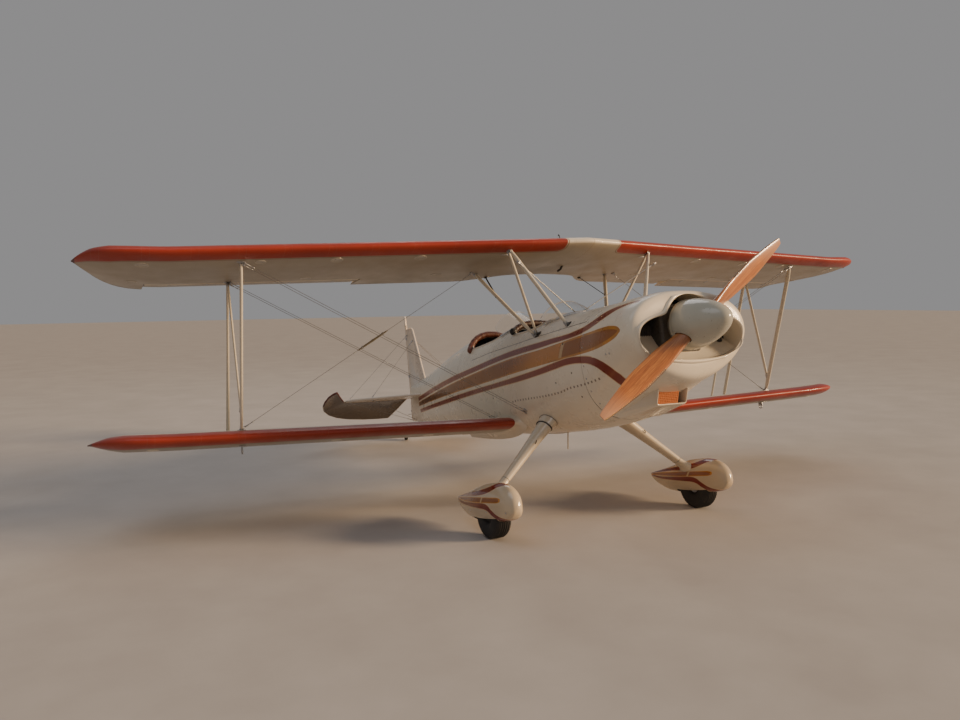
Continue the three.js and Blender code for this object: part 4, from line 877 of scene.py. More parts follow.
def dark(name, c=(0.018, 0.018, 0.020), c2=(0.045, 0.043, 0.042), rough=0.6, scale=60):
    t = Tree(name)
    n1 = t.noise(scale, 6, 0.65)
    col = t.mix(t.span(n1, 0.35, 0.75), c, c2)
    t.set(color=col, rough=t.span(n1, 0.3, 0.7, rough * 0.8, min(1, rough * 1.2)), normal=t.bump(t.noise(300, 4), 0.2, 0.0006))
    return t.m


def glass(name="screen_glass"):
    t = Tree(name)
    haze = t.noise(22, 5, 0.7)
    t.set(color=t.mix(t.span(haze, 0.3, 0.7), (0.96, 0.975, 0.98), (0.90, 0.92, 0.93)), trans=1.0, ior=1.12, rough=t.span(haze, 0.4, 0.8, 0.005, 0.05),
          normal=t.bump(t.noise(4, 2), 0.05, 0.001))
    return t.m


M = dict(
    cream=paint_plain(), fuselage=paint_fuselage(), upper=paint_wing("paint_upper_wing", 1.085, (0.0525, 0.2525)),
    lower=paint_wing("paint_lower_wing", 1.06, None, True), tail=paint_tail(), elevator=paint_elevator(), pant=paint_pant(), leg=paint_leg(),
    wood=wood(), spinner=spinner_paint(), leather=leather(), brownleather=leather("leather_worn", (0.13, 0.042, 0.020), (0.21, 0.068, 0.030)),
    darkleather=leather("leather_dark", (0.030, 0.014, 0.010), (0.070, 0.026, 0.015)), rearleather=leather("leather_red_brown", (0.085, 0.024, 0.013), (0.19, 0.055, 0.024)),
    seat=cloth("seat_cloth", (0.17, 0.115, 0.07), (0.22, 0.15, 0.095)), belt=cloth("belt_webbing", (0.10, 0.10, 0.105), (0.15, 0.145, 0.14), 900),
    rubber=rubber(), steel=metal("steel", (0.50, 0.50, 0.51)), alloy=metal("alloy", (0.66, 0.66, 0.67), 0.3), brass=metal("brass", (0.55, 0.36, 0.14), 0.35),
    wire=metal("stainless_wire", (0.26, 0.25, 0.24), 0.3), javelin=dark("javelin_wood", (0.085, 0.070, 0.042), (0.13, 0.105, 0.062), 0.5, 40), ring=metal("cover_ring", (0.52, 0.465, 0.375), 0.3, 0.1, 0.1), brace=metal("bright_brace", (0.80, 0.77, 0.70), 0.3, 0.35, 0.15), engine=metal("engine_metal", (0.16, 0.155, 0.15), 0.55, 0.7, 0.7),
    black=dark("black_panel"), bay=dark("engine_bay", (0.008, 0.008, 0.009), (0.02, 0.02, 0.02), 0.8), inside=dark("cockpit_lining", (0.10, 0.085, 0.07), (0.15, 0.125, 0.10), 0.7, 20),
    dial=dark("dial_face", (0.01, 0.01, 0.011), (0.016, 0.016, 0.017), 0.35, 90), white=dark("marking_white", (0.65, 0.65, 0.62), (0.72, 0.72, 0.70), 0.5, 40),
    strut=metal("strut_enamel", (0.70, 0.63, 0.50), 0.35, 0.0, 0.25), glass=glass(), filter=dark("intake_filter", (0.42, 0.13, 0.04), (0.60, 0.22, 0.08), 0.85, 90),
    edge=metal("blade_edge", (0.14, 0.070, 0.040), 0.38, 0.15, 0.35), putty=dark("seal_dark", (0.03, 0.026, 0.022), (0.06, 0.05, 0.04), 0.75, 80),
    red=dark("red_enamel", RED2, RED, 0.3, 12),
)


# ---------------------------------------------------------------- fuselage
FUS = np.array([
    [-0.600, .441, .768, 1.232, 1.6185, 2.35, 2.5], [-0.340, .430, .734, 1.222, 1.630, 2.35, 2.6], [0.100, .408, .710, 1.212, 1.644, 2.35, 2.8],
    [0.700, .378, .712, 1.210, 1.664, 2.4, 3.0], [1.150, .350, .738, 1.212, 1.680, 2.35, 3.0], [1.640, .315, .778, 1.222, 1.698, 2.25, 3.0],
    [1.950, .290, .805, 1.232, 1.688, 2.1, 3.0], [2.300, .252, .836, 1.240, 1.644, 2.0, 3.0], [2.900, .180, .889, 1.250, 1.535, 1.95, 3.0],
    [3.300, .122, .925, 1.255, 1.468, 2.0, 3.0], [3.640, .066, .954, 1.250, 1.420, 2.2, 3.0], [3.912, .020, .978, 1.230, 1.392, 2.6, 3.4]])
COWL = np.array([
    [-1.288, .438, 1.068, 1.326, 1.556, 2.4, 1.8], [-1.278, .462, 1.030, 1.326, 1.574, 2.35, 1.8], [-1.250, .482, 1.000, 1.326, 1.588, 2.3, 1.8],
    [-1.180, .491, .976, 1.320, 1.598, 2.3, 1.85], [-1.060, .492, .950, 1.304, 1.603, 2.3, 2.0], [-0.900, .484, .898, 1.280, 1.609, 2.3, 2.2],
    [-0.740, .461, .826, 1.252, 1.614, 2.3, 2.4], [-0.612, .443, .772, 1.234, 1.618, 2.35, 2.5]])
SIDES = ((-1, "right"), (1, "left"))


def params(table, y):
    y = np.atleast_1d(y)
    return np.stack([pchip(table[:, 0], table[:, c], y) for c in range(1, 7)], 1)


def section(row, y, n=96, grow=0.0):
    w, zb, zc, zt, nt, nb = row
    t = 2 * np.pi * (np.arange(n) + 0.5) / n - np.pi / 2
    c, s = np.cos(t), np.sin(t)
    p = np.where(s >= 0, nt, nb)
    x = np.sign(c) * (w + grow) * np.abs(c) ** (2 / p)
    z = np.where(s >= 0, zc + (zt + grow - zc) * np.abs(s) ** (2 / p), zc - (zc - zb + grow) * np.abs(s) ** (2 / p))
    return np.stack([x, np.full(n, y), z], 1)


def tall(table, ys, n=96, grow=0.0):
    return [section(r, y, n, grow) for r, y in zip(params(table, ys), ys)]


def deck_z(x, y, grow=0.0):
    w, zb, zc, zt, nt, nb = params(COWL if y < -0.606 else FUS, y)[0]
    u = min(abs(x) / (w + grow), 0.999)
    return zc + (zt + grow - zc) * (1 - u**nt) ** (1 / nt)


def side_x(y, z, grow=0.0):
    w, zb, zc, zt, nt, nb = params(COWL if y < -0.606 else FUS, y)[0]
    u, p = ((z - zc) / (zt - zc), nt) if z >= zc else ((zc - z) / (zc - zb), nb)
    return (w + grow) * max(0.0, 1 - min(1.0, u) ** p) ** (1 / p)


def side_normal(y, z, side):
    e = 0.004
    a = np.array([side_x(y, z), y, z])
    b = np.array([side_x(y + e, z), y + e, z]) - a
    c = np.array([side_x(y, z + e), y, z + e]) - a
    n = np.cross(b, c)
    n /= np.linalg.norm(n)
    if n[0] < 0:
        n = -n
    n[0] *= side
    a[0] *= side
    return a, n


def pit_plan(y0, y1, hw, e, n=72, grow=0.0):
    t = 2 * np.pi * (np.arange(n) + 0.5) / n
    c, s = np.cos(t), np.sin(t)
    return np.stack([np.sign(c) * (hw + grow) * np.abs(c) ** (2 / e), (y0 + y1) / 2 + np.sign(s) * ((y1 - y0) / 2 + grow) * np.abs(s) ** (2 / e)], 1)


FRONT_PIT, REAR_PIT = (0.215, 0.750, 0.265, 4), (0.950, 1.660, 0.250, 4.5)
FRONT_ROLL, REAR_ROLL = (0.215, 0.750, 0.315, 4), (0.950, 1.660, 0.294, 4.5)


def pit_tool(pit, lo=1.38, grow=0.0):
    q = pit_plan(*pit, grow=grow)
    return make("tool", loft([np.column_stack([q, np.full(len(q), z)]) for z in (lo, 1.95)]), M["cream"], None, None)


ys = np.concatenate([np.linspace(-0.606, 1.95, 52), np.linspace(2.0, 3.912, 40)])
hull = loft(tall(FUS, ys), u=ys)
fuselage = make("fuselage_skin", hull, [M["fuselage"]], "airframe", "painted_fabric", ("fuselage_front", "fuselage_rear"))
hollow = np.linspace(-0.590, 1.930, 44)
inner_tool = make("tool_inner", loft(tall(FUS, hollow, 96, -0.010)), M["inside"], None, None)
cut(fuselage, [inner_tool, pit_tool(FRONT_PIT), pit_tool(REAR_PIT)])

# cockpit lining just inside the skin, open above the pits
lining = make("cockpit_lining", loft(tall(FUS, np.linspace(-0.575, 1.915, 40), 72, -0.0125), cap0=True, cap1=True), [M["inside"]], "airframe", "black_panel")
cut(lining, [make("tool_a", loft(tall(FUS, np.linspace(-0.570, 1.910, 40), 72, -0.0145)), M["inside"], None, None), pit_tool(FRONT_PIT, grow=-0.001), pit_tool(REAR_PIT, grow=-0.001)])


def rim_curve(pit, n=96, lift=0.0, inset=0.0):
    q = pit_plan(*pit, n=n, grow=-inset)
    return np.array([(x, y, deck_z(x, y) + lift) for x, y in q])


# rolled edge strip round both openings
for pit, name in ((FRONT_PIT, "front"), (REAR_PIT, "rear")):
    c = rim_curve(pit, 96, 0.001)
    parts = [tube(np.vstack([c, c[:1]])[:-1], 0.0065, 10, 0, shut=True)]
    make(f"{name}_rim_strip", parts, [M["cream"]], "airframe", "leather")


def roll(name, pit, r, reach, nodes, mat):
    """Stuffed leather roll on the aft rim, gathered at its ends, with a stitched seam and slight tucks."""
    y0, y1, hw, e = pit
    cy, hy = (y0 + y1) / 2, (y1 - y0) / 2
    t = np.linspace(reach, math.pi - reach, 120)
    c, s = np.cos(t), np.sin(t)
    x = np.sign(c) * (hw - .002) * np.abs(c) ** (2 / e)
    y = cy + np.sign(s) * (hy - .002) * np.abs(s) ** (2 / e)
    path = np.array([(a, b, deck_z(a, b) + 0.006 + r * 0.35) for a, b in zip(x, y)])
    d = np.concatenate([[0], np.cumsum(np.linalg.norm(np.diff(path, axis=0), axis=1))])
    k = d / d[-1]
    fat = np.minimum(1, np.minimum(k, 1 - k) / 0.035) ** 0.5
    fat = np.maximum(fat, 0.12)
    tucks = 1 + 0.035 * np.sin(d * 2 * np.pi / 0.055) * np.minimum(1, fat) + 0.02 * np.sin(d * 2 * np.pi / 0.021 + 1.0)
    pts, fr = frames(path)
    rings = []
    a = 2 * np.pi * np.arange(24) / 24
    for p, (n, b), f, q in zip(pts, fr, fat, tucks):
        rr = r * f * (q * (1 - 0.06 * np.exp(-((a - np.pi * 0.5) / 0.12) ** 2)))
        rings.append(p + rr[:, None] * (np.outer(np.cos(a), n) + np.outer(np.sin(a), b)))
    body = loft(rings, u=d)
    seam = []
    for i in range(4, 116, 2):
        n, b = fr[i]
        p = pts[i] + (r * fat[i] + 0.0004) * (math.cos(1.15) * n + math.sin(1.15) * b)
        q = pts[i + 1] + (r * fat[i + 1] + 0.0004) * (math.cos(1.15) * n + math.sin(1.15) * b)
        seam.append(tube([p, (p + q) / 2, q], 0.0013, 5, 1))
    caps = []
    if r < .028:
        for i in (2, len(pts) - 3):
            caps.append(lathe([(0, -.034), (.016, -.031), (.028, -.019), (.033, 0), (.028, .019), (.016, .031), (0, .034)], pts[i] + np.array([0, 0, .004]), (1, 0, 0), 28, 2))
    ob = make(name, [body, *seam, *caps], [mat, M["strut"], M["black"]], "airframe", "leather", nodes)
    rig.padded(ob, fill=0.8)
    return ob


roll("front_coaming_roll", FRONT_ROLL, 0.027, 0.90, ("front_coaming",), M["darkleather"])
roll("rear_coaming_roll", REAR_ROLL, 0.029, 0.62, ("rear_coaming",), M["rearleather"])


# --------------------------------------------------------------- cowling
def mouth_r(phi, cz):
    hz, hw, ring, tz = 0.151, 0.422, 0.205, 1.356
    c, s = np.cos(phi), np.sin(phi)
    k = 1 / ((np.abs(c) / hw) ** 2.6 + (np.abs(s) / hz) ** 2.6) ** (1 / 2.6)
    dz = tz - cz
    b = s * dz
    disc = b * b - (dz * dz - ring**2)
    k2 = np.where(disc > 0, b + np.sqrt(np.maximum(disc, 0)), 1e-3)
    return (k**16 + k2**16) ** (1 / 16)


NC = 160
cz = 1.279
ysc = np.array([-0.611, -0.64, -0.68, -0.74, -0.80, -0.86, -0.92, -0.98, -1.04, -1.10, -1.14, -1.18, -1.21, -1.235, -1.25, -1.262, -1.272, -1.28])
outer = tall(COWL, ysc, NC)
front = section(params(COWL, -1.286)[0], -1.286, NC)
phi = np.arctan2(front[:, 2] - cz, front[:, 0])
mr = mouth_r(phi, cz)
radial = np.stack([np.cos(phi), np.zeros(NC), np.sin(phi)], 1)
mouth = np.array([0, 0, cz]) + radial * mr[:, None]
gap = np.linalg.norm((front - mouth)[:, [0, 2]], axis=1)
LIP = np.minimum(0.015, gap * 0.42)
rings = list(outer) + [front]
lipstart = mouth + radial * (2 * LIP)[:, None]
for q in (0.35, 0.7, 1.0):
    p = front + (lipstart - front) * q
    p[:, 1] = -1.286 - 0.006 * math.sin(q * math.pi / 2)
    rings.append(p)
for a in np.linspace(15, 180, 11):
    a = math.radians(a)
    p = mouth + radial * (LIP * (1 + math.cos(a)))[:, None]
    p[:, 1] = -1.292 - LIP * math.sin(a)
    rings.append(p)
for back, out in ((0.015, 0.001), (0.05, 0.001), (0.09, -0.001), (0.13, -0.005), (0.17, -0.011)):
    p = mouth + radial * (out + 0 * mr)[:, None]
    p[:, 1] = -1.292 + back
    rings.append(p)
cowl_u = np.concatenate([[0], np.cumsum([np.linalg.norm(b - a, axis=1).mean() for a, b in zip(rings[:-1], rings[1:])])])
cowl_shell = loft(rings, u=cowl_u, cap0=False, cap1=False)
inner_rings = [p.copy() for p in tall(COWL, ysc[::-1][2:], NC, -0.010)]
p = rings[-1] + radial * 0.006
back_shell = loft([rings[-1], p] + [q for q in inner_rings if q[0, 1] > -1.19], cap0=False, cap1=False, mat=1)
last = inner_rings[-1]
closing = loft([last, rings[0]], cap0=False, cap1=False, mat=1)
fasteners = []
for side in (-1, 1):
    for y in (-1.02, -0.98):
        a, n = side_normal(y, 1.215, side)
        fasteners.append(lathe([(0, 0.0016), (0.0055, 0.0016), (0.0075, 0.0004), (0.0078, -0.001)], a, n, 16, 2))
    for z in (0.90, 0.99, 1.08, 1.17, 1.30, 1.39, 1.48, 1.56):
        a, n = side_normal(-0.645, z, side)
        fasteners.append(lathe([(0, 0.0016), (0.0055, 0.0016), (0.0075, 0.0004), (0.0078, -0.001)], a, n, 16, 2))
cowl = make("engine_cowling", [cowl_shell, back_shell, closing, *fasteners], [M["fuselage"], M["bay"], M["steel"]], "airframe", "painted_composite", ("engine_cowl",), recalc=False)

# baffles and engine behind the mouth
baffle = []
xs = np.linspace(-0.40, 0.40, 41)
hzm = 0.151 * (1 - (np.abs(xs) / 0.424) ** 2.6) ** (1 / 2.6)
rows = []
for q in np.linspace(0, 1, 14):
    y = -1.235 + 0.165 * q
    z0 = cz - hzm + 0.002
    rise = (1.318 - z0) * (q**1.25)
    rows.append(np.stack([xs, np.full(41, y), z0 + rise], 1))
baffle.append(loft(rows, close=False, mat=0))
top_row = rows[-1].copy()
shelf = [top_row]
for q in (0.02, 0.06, 0.12):
    r = top_row.copy()
    r[:, 1] += q
    shelf.append(r)
baffle.append(loft(shelf, close=False, mat=0))
make("inlet_baffles", baffle, [M["cream"]], "airframe", "painted_composite", recalc=False)
eng = []
for side in (-1, 1):
    for cy in (-1.02, -0.84):
        for k in range(13):
            x0 = side * (0.175 + 0.0145 * k)
            eng.append(lathe([(0.03, 0), (0.068, 0), (0.070, 0.0015), (0.070, 0.0035), (0.068, 0.005), (0.03, 0.005)], (x0, cy, 1.356), (side, 0, 0), 28, 0))
        eng.append(lathe([(0, 0), (0.058, 0), (0.058, 0.19), (0, 0.19)], (side * 0.165, cy, 1.356), (side, 0, 0), 24, 0))
        eng.append(rbox((side * 0.362 - 0.012 if side < 0 else 0.350, cy - 0.055, 1.31), (side * 0.362 + 0.012 if side < 0 else 0.374, cy + 0.055, 1.43), 0.012, 0))
        for dz in (-0.02, 0.03):
            eng.append(rod((side * 0.16, cy + 0.03, 1.41 + dz), (side * 0.35, cy + 0.03, 1.40 + dz), 0.008, 10, 1))
        eng.append(tube([(side * 0.33, cy - 0.03, 1.30), (side * 0.32, cy - 0.04, 1.25), (side * 0.24, cy - 0.02, 1.22), (side * 0.10, cy, 1.21)], 0.018, 12, 1))
eng.append(rbox((-0.165, -1.185, 1.185), (0.165, -0.72, 1.50), 0.03, 0))
eng.append(lathe([(0, -0.09), (0.052, -0.09), (0.056, -0.03), (0.11, 0.0), (0.16, 0.02), (0.16, 0.03), (0, 0.03)], (0, -1.185, 1.356), (0, 1, 0), 40, 1))
eng.append(rbox((-0.372, -1.15, 1.25), (-0.34, -1.12, 1.45), 0.006, 2))
eng.append(rbox((0.34, -1.15, 1.25), (0.372, -1.12, 1.45), 0.006, 2))
make("engine_detail", eng, [M["engine"], M["steel"], M["black"]], "airframe", "engine", ("engine_block",))


# chin scoop: rounded duct with a filter panel and a flap
def rrect(x0, x1, z0, z1, y_of_z, r, n=10):
    pts = []
    for cx, czz, a0 in ((x1 - r, z1 - r, 0), (x0 + r, z1 - r, 90), (x0 + r, z0 + r, 180), (x1 - r, z0 + r, 270)):
        for k in range(n):
            a = math.radians(a0 + 90 * k / (n - 1))
            x, z = cx + r * math.cos(a), czz + r * math.sin(a)
            pts.append((x, y_of_z(z), z))
    return np.array(pts)


fy = lambda z, d=0.0: -0.992 - (z - 0.845) * (0.062 / 0.18) + d
front_o = rrect(-0.130, 0.130, 0.845, 1.000, lambda z: fy(z), 0.022)
scoop_rings = []
W = np.array([front_o[:, 0] / 0.130, (front_o[:, 2] - 0.9225) / 0.0775]).T
for q in np.linspace(1, 0, 12):
    hw = 0.130 + 0.085 * q**1.3
    zlo, zhi = 0.845 - 0.066 * q**0.9, 1.000 - 0.11 * q
    rr = 0.022 + 0.03 * q
    y = None
    sec = rrect(-hw, hw, zlo, zhi, lambda z: 0, rr)
    sec[:, 1] = (1 - q) * front_o[:, 1] + q * -0.642
    scoop_rings.append(sec)
for grow, dy in ((0.0, -0.004), (-0.003, -0.008), (-0.006, -0.0095), (-0.009, -0.008), (-0.011, -0.003)):
    scoop_rings.append(rrect(-0.130 - grow, 0.130 + grow, 0.845 - grow, 1.000 + grow, lambda z, d=dy: fy(z, d), 0.022 + grow * 0.8))
for dy in (0.01, 0.04, 0.09, 0.13):
    scoop_rings.append(rrect(-0.119 + dy * 0.05, 0.119 - dy * 0.05, 0.856, 0.989 - dy * 0.2, lambda z, d=dy: fy(z, d), 0.014))
make("chin_scoop", loft(scoop_rings, cap0=False, cap1=False), [M["cream"]], "airframe", "painted_composite", ("air_scoop",), recalc=False)
zs = np.linspace(0.857, 0.987, 12)
panel = []
for z in zs:
    panel.append([(-0.1175, fy(z, .020), z), (0.072, fy(z, .020), z), (0.072, fy(z, .034), z), (-0.1175, fy(z, .034), z)])
filt = [loft(panel, mat=0)]
for z in np.linspace(0.864, 0.980, 11):
    filt.append(rod((-0.115, fy(z, .018), z), (0.070, fy(z, .018), z), 0.0026, 8, 0))
for k in range(12):
    x = -0.108 + 0.0155 * k
    filt.append(rod((x, fy(.860, .018), .860), (x, fy(.984, .018), .984), 0.0012, 6, 0))
filt.append(loft([[(0.072, fy(z, .080), z), (0.117, fy(z, .080), z), (0.117, fy(z, .090), z), (0.072, fy(z, .090), z)] for z in (.857, .987)], mat=2))
make("scoop_filter", filt, [M["filter"], M["cream"], M["bay"], M["steel"]], "airframe", "painted_composite")

# -------------------------------------------------------- propeller, spinner
BLADE = np.array([[.040, .090, .078, 62], [.150, .108, .056, 52], [.250, .119, .040, 42], [.400, .140, .029, 32], [.600, .141, .021, 24],
                  [.780, .106, .015, 19.5], [.900, .076, .011, 17], [.960, .056, .008, 16.5], [.982, .042, .006, 16]])
PY, TZ, PANG = -1.350, 1.356, 34.8


def blade_rings(n=40):
    rs = np.concatenate([np.linspace(0.04, 0.90, 56), np.linspace(0.91, 0.955, 6), 0.982 - 0.027 * np.cos(np.linspace(0.25, 1.5, 8)) ** 1.6])
    out = []
    for r in rs:
        c, t, a = (pchip(BLADE[:, 0], BLADE[:, k], r) for k in (1, 2, 3))
        a = math.radians(float(a))
        q = 2 * np.pi * np.arange(n) / n
        u = c / 2 * np.cos(q)
        v = t / 2 * np.sin(q) * (1 + 0.30 * np.cos(q)) * np.where(np.sin(q) > 0, 1.0, 1.0)
        out.append(np.stack([np.full(n, r), PY - u * math.sin(a) + v * math.cos(a), TZ + u * math.cos(a) + v * math.sin(a)], 1))
    return rs, np.array(out)


rs, br = blade_rings()
turn_y = lambda deg: (lambda p: turned(p, (0, 0, TZ), (0, 1, 0), deg))
one = loft(br, u=rs, v=np.linspace(0, 1, 41))
prop_parts = []
for k in (0, 180):
    b = Part(one.v.copy(), one.f, one.uv, 0).map(turn_y(k - PANG))
    prop_parts.append(b)
    # protective strip over the leading edge of the outer half, pinned along its length
    n = 40
    lead = np.arange(-4, 5) % n if True else None
    sel = [i for i, r in enumerate(rs) if 0.42 < r < 0.975]
    strip = []
    for i in sel:
        ring = br[i]
        c = ring.mean(0)
        pts = ring[(np.arange(-3, 4) + n // 2 * 0) % n]
        strip.append(c + (pts - c) * 1.0 + (pts - c) / np.linalg.norm(pts - c, axis=1, keepdims=True) * 0.0009)
    s1 = loft(strip, close=False, mat=1).map(turn_y(k - PANG))
    prop_parts.append(s1)
    for i in sel[::1]:
        for j in (3, n - 3):
            p = br[i][j]
            c = br[i].mean(0)
            nrm = np.array([0, np.sign(p[1] - c[1] + 1e-9), 0.15])
            b = lathe([(0, 0.0020), (0.0016, 0.0018), (0.0026, 0.0006)], p, nrm, 8, 2).map(turn_y(k - PANG))
            prop_parts.append(b)
hub = lathe([(0, -0.052), (0.066, -0.052), (0.075, -0.045), (0.075, 0.070), (0.070, 0.079), (0, 0.079)], (0, PY, TZ), (0, 1, 0), 48, 0)
prop_parts.append(hub)
make("wood_propeller", prop_parts, [M["wood"], M["edge"], M["brass"]], "propeller", "wood", ("propeller",))

prof = np.array([[0, -1.652], [.026, -1.646], [.058, -1.620], [.092, -1.572], [.122, -1.506], [.146, -1.430], [.162, -1.352], [.168, -1.276]])
yy = np.concatenate([-1.652 + 0.02 * (np.linspace(0, 1, 8) ** 2), np.linspace(-1.628, -1.276, 34)])
rr = np.sqrt(np.maximum(pchip(prof[:, 1], prof[:, 0] ** 2, yy), 0))
dome = [(r, y) for r, y in zip(rr, yy)] + [(0.1685, -1.272), (0.166, -1.268), (0.150, -1.267), (0, -1.267)]
spin = make("spinner_dome", lathe(dome, (0, 0, TZ), (0, 1, 0), 96, 0), [M["spinner"], M["putty"]], "propeller", "spinner_paint", ("spinner",))
tools = []
for k in (0, 180):
    rg = []
    for i, r in enumerate(rs):
        if 0.03 < r < 0.30:
            c = br[i].mean(0)
            d = br[i] - c
            rg.append(c + d + d / np.linalg.norm(d, axis=1, keepdims=True) * 0.006)
    tools.append(make(f"tool_b{k}", loft(rg).map(turn_y(k - PANG)), M["putty"], None, None))
cut(spin, tools, sharp=30)
scr = []
for k in range(10):
    a = 2 * math.pi * k / 10 + 0.25
    r = float(np.interp(-1.300, prof[:, 1], prof[:, 0]))
    at = (r * math.cos(a), -1.300, TZ + r * math.sin(a))
    if abs(math.sin(a + math.radians(PANG))) < 0.40:
        continue
    scr.append(lathe([(0, 0.0016), (0.0045, 0.0016), (0.0062, 0.0004), (0.0066, -0.001)], at, (math.cos(a), -0.1, math.sin(a)), 12, 0))
make("spinner_screws", scr, [M["steel"]], "propeller", "steel")

# ------------------------------------------------------------------- wings
CHU, CHL, THICK = 1.085, 1.060, 0.115
UY, UZ, USW, URISE, UDROP, UINC, UWASH, UHALF, UCAM, UBEL = -0.244, 2.156, math.tan(math.radians(7.81)), 0.020, 0.008, 4.4, 0.45, 3.650, 1.14, 0.9
LY, LZ, LDI, LINC, LHALF = 0.600, 0.819, math.tan(math.radians(1.637)), 1.6, 3.600
TIP_U = np.array([[.400, .008, .030], [.300, .024, .092], [.215, .050, .200], [.140, .090, .350], [.085, .135, .510], [.045, .184, .640], [.018, .234, .735], [.004, .275, .780], [0, .300, .795]])
TIP_L = np.array([[.400, .022, .030], [.300, .052, .080], [.215, .094, .165], [.140, .145, .290], [.085, .190, .430], [.045, .232, .550], [.018, .268, .640], [.004, .292, .690], [0, .303, .705]])
CUT = np.array([[0, .245], [.250, .245], [.330, .225], [.400, .178], [.470, .100], [.540, .038], [.620, .008], [.700, 0]])
A_IN, A_OUT, HINGE, NGAP, EGAP, REST = 1.560, 3.170, 0.846, 0.007, 0.007, 5.4


def half_t(u):
    u = np.clip(u, 0, 1)
    return 5 * THICK * (0.2969 * np.sqrt(u) - 0.126 * u - 0.3516 * u * u + 0.2843 * u**3 - 0.1015 * u**4)


def inset(tip, d):
    """Tip outline at distance d in from the tip."""
    if d >= 0.62:
        return 0.0, 0.0
    s = math.sqrt(max(d, 0))
    xs = np.sqrt(tip[::-1, 0])
    xs = np.concatenate([xs, [math.sqrt(0.62)]])
    return tuple(float(pchip(xs, np.concatenate([tip[::-1, c], [0.0]]), s)) for c in (1, 2))


def upper_le(x):
    ax = abs(x)
    return UY + (math.sqrt(ax * ax + 0.0009) - 0.03 * 0 if ax > 0 else 0.03) * USW if False else UY + ax * USW


def wing_row(kind, x, us, end_at=None):
    """Points over and under one rib at chord fractions us; past end_at (metres aft) they gather on the bay wall."""
    ax = abs(x)
    up = kind == "u"
    tip, hs, ch = (TIP_U, UHALF, CHU) if up else (TIP_L, LHALF, CHL)
    a, b = inset(tip, hs - ax)
    cutv = float(pchip(CUT[:, 0], CUT[:, 1], min(ax, 0.7))) if up and ax < 0.7 else 0.0
    end = ch - a - b - cutv
    chord = end + cutv
    tipd = hs - ax
    thin = max(.20, (1 - ((.16 - tipd) / .16) ** 2.4) ** .5 * .80 + .20) if 0 <= tipd < .16 else 1
    bowed = (.047 if up else .014) * max(0, (.62 - tipd) / .62) ** 1.5 * (.52 + .48 * min(1, max(tipd, 0) / .12))
    thin *= ch / chord * min(1, chord / ch * 1.25)
    inc = math.radians(UINC - UWASH * ax) if up else math.radians(LINC)
    le = UY + ax * USW + a if up else LY + a
    top0 = ((UZ + URISE - UDROP * ax) if up else (LZ + ax * LDI)) + bowed
    zl = top0 - a * math.tan(inc)
    s = us * end
    t = half_t(s / chord) * chord * thin
    t = np.maximum(t, 0.0045 * np.sqrt(us))
    fade = np.clip((us - 0.97) / 0.03, 0, 1)
    t = t * (1 - fade) + 0.003 * fade
    over, under = (UCAM, UBEL) if up else (1, 1)
    if end_at is not None:
        lim = end_at - a
        k = s > lim
        tl = float(half_t(lim / chord) * chord * thin)
        if k.any():
            idx = np.nonzero(k)[0]
            q = (idx - idx[0] + 1) / (len(idx))
            s[k] = lim - 0.010 * np.sin(q * math.pi / 2)
            t[k] = tl * (1 - q) + 0.0005
    zt = zl - s * math.tan(inc) + t * over
    zb = zl - s * math.tan(inc) - t * under
    return le, s, a, zt, zb


US = (1 - np.cos(np.linspace(0, math.pi, 46))) / 2
US = np.concatenate([US[:1], US[1:]])


def wing_ring(kind, x, end_at=None):
    le, s, a, zt, zb = wing_row(kind, x, US, end_at)
    top = np.stack([np.full(len(US), x), le + s, zt], 1)
    bot = np.stack([np.full(len(US), x), le + s, zb], 1)
    pts = np.vstack([top[::-1], bot[1:]])
    v = np.concatenate([s[::-1], -s[1:]])
    return pts, v


def wing_part(kind, xs, ends):
    rings, vs = [], []
    for x, e in zip(xs, ends):
        p, v = wing_ring(kind, x, e)
        rings.append(p)
        vs.append(v)
    p = loft(rings)
    n = len(US) * 2 - 1
    uv, it = [], iter(range(len(p.f)))
    for i in range(len(rings) - 1):
        for j in range(n):
            j2 = (j + 1) % n
            uv.append(((xs[i], vs[i][j]), (xs[i], vs[i][j2]), (xs[i + 1], vs[i + 1][j2]), (xs[i + 1], vs[i + 1][j])))
    while len(uv) < len(p.f):
        k = 0 if len(uv) < (len(rings) - 1) * n + n else -1
        uv.append(((xs[k], 0.5),) * 3)
    p.uv = uv
    return p


def tip_xs(hs):
    return [hs - t * t for t in np.linspace(math.sqrt(0.5), 0.0, 26)]


noseU, noseL = float(half_t(HINGE / CHU)) * CHU * UBEL - .001, float(half_t(HINGE / CHL)) * CHL - .001


def wing_stations(hs, root, nose):
    """(x, bay limit) from root to tip along one side."""
    out = [(x, None) for x in np.arange(root, A_IN - 0.02, 0.05)]
    out += [(A_IN, None), (A_IN, HINGE - nose - NGAP)]
    out += [(x, HINGE - nose - NGAP) for x in np.arange(A_IN + 0.05, hs - 0.5, 0.05) if x < A_OUT - 0.02]
    tips = tip_xs(hs)
    out += [(x, HINGE - nose - NGAP) for x in tips if x < A_OUT - 0.01 and x > out[-1][0] + 0.01]
    out += [(A_OUT, HINGE - nose - NGAP), (A_OUT, None)]
    out += [(x, None) for x in tips if x > A_OUT + 0.005]
    return out


st = wing_stations(UHALF, 0.0, noseU)
allx = [(-x, e) for x, e in st[::-1]] + st[1:]
up_parts = [wing_part("u", [x for x, _ in allx], [e for _, e in allx])]


def on_wing(kind, x, s, under=False):
    le, ss, a, zt, zb = wing_row(kind, x, np.array([max(1e-4, s / (CHU if kind == "u" else CHL))]))
    return np.array([x, le + ss[0], zb[0] if under else zt[0]])


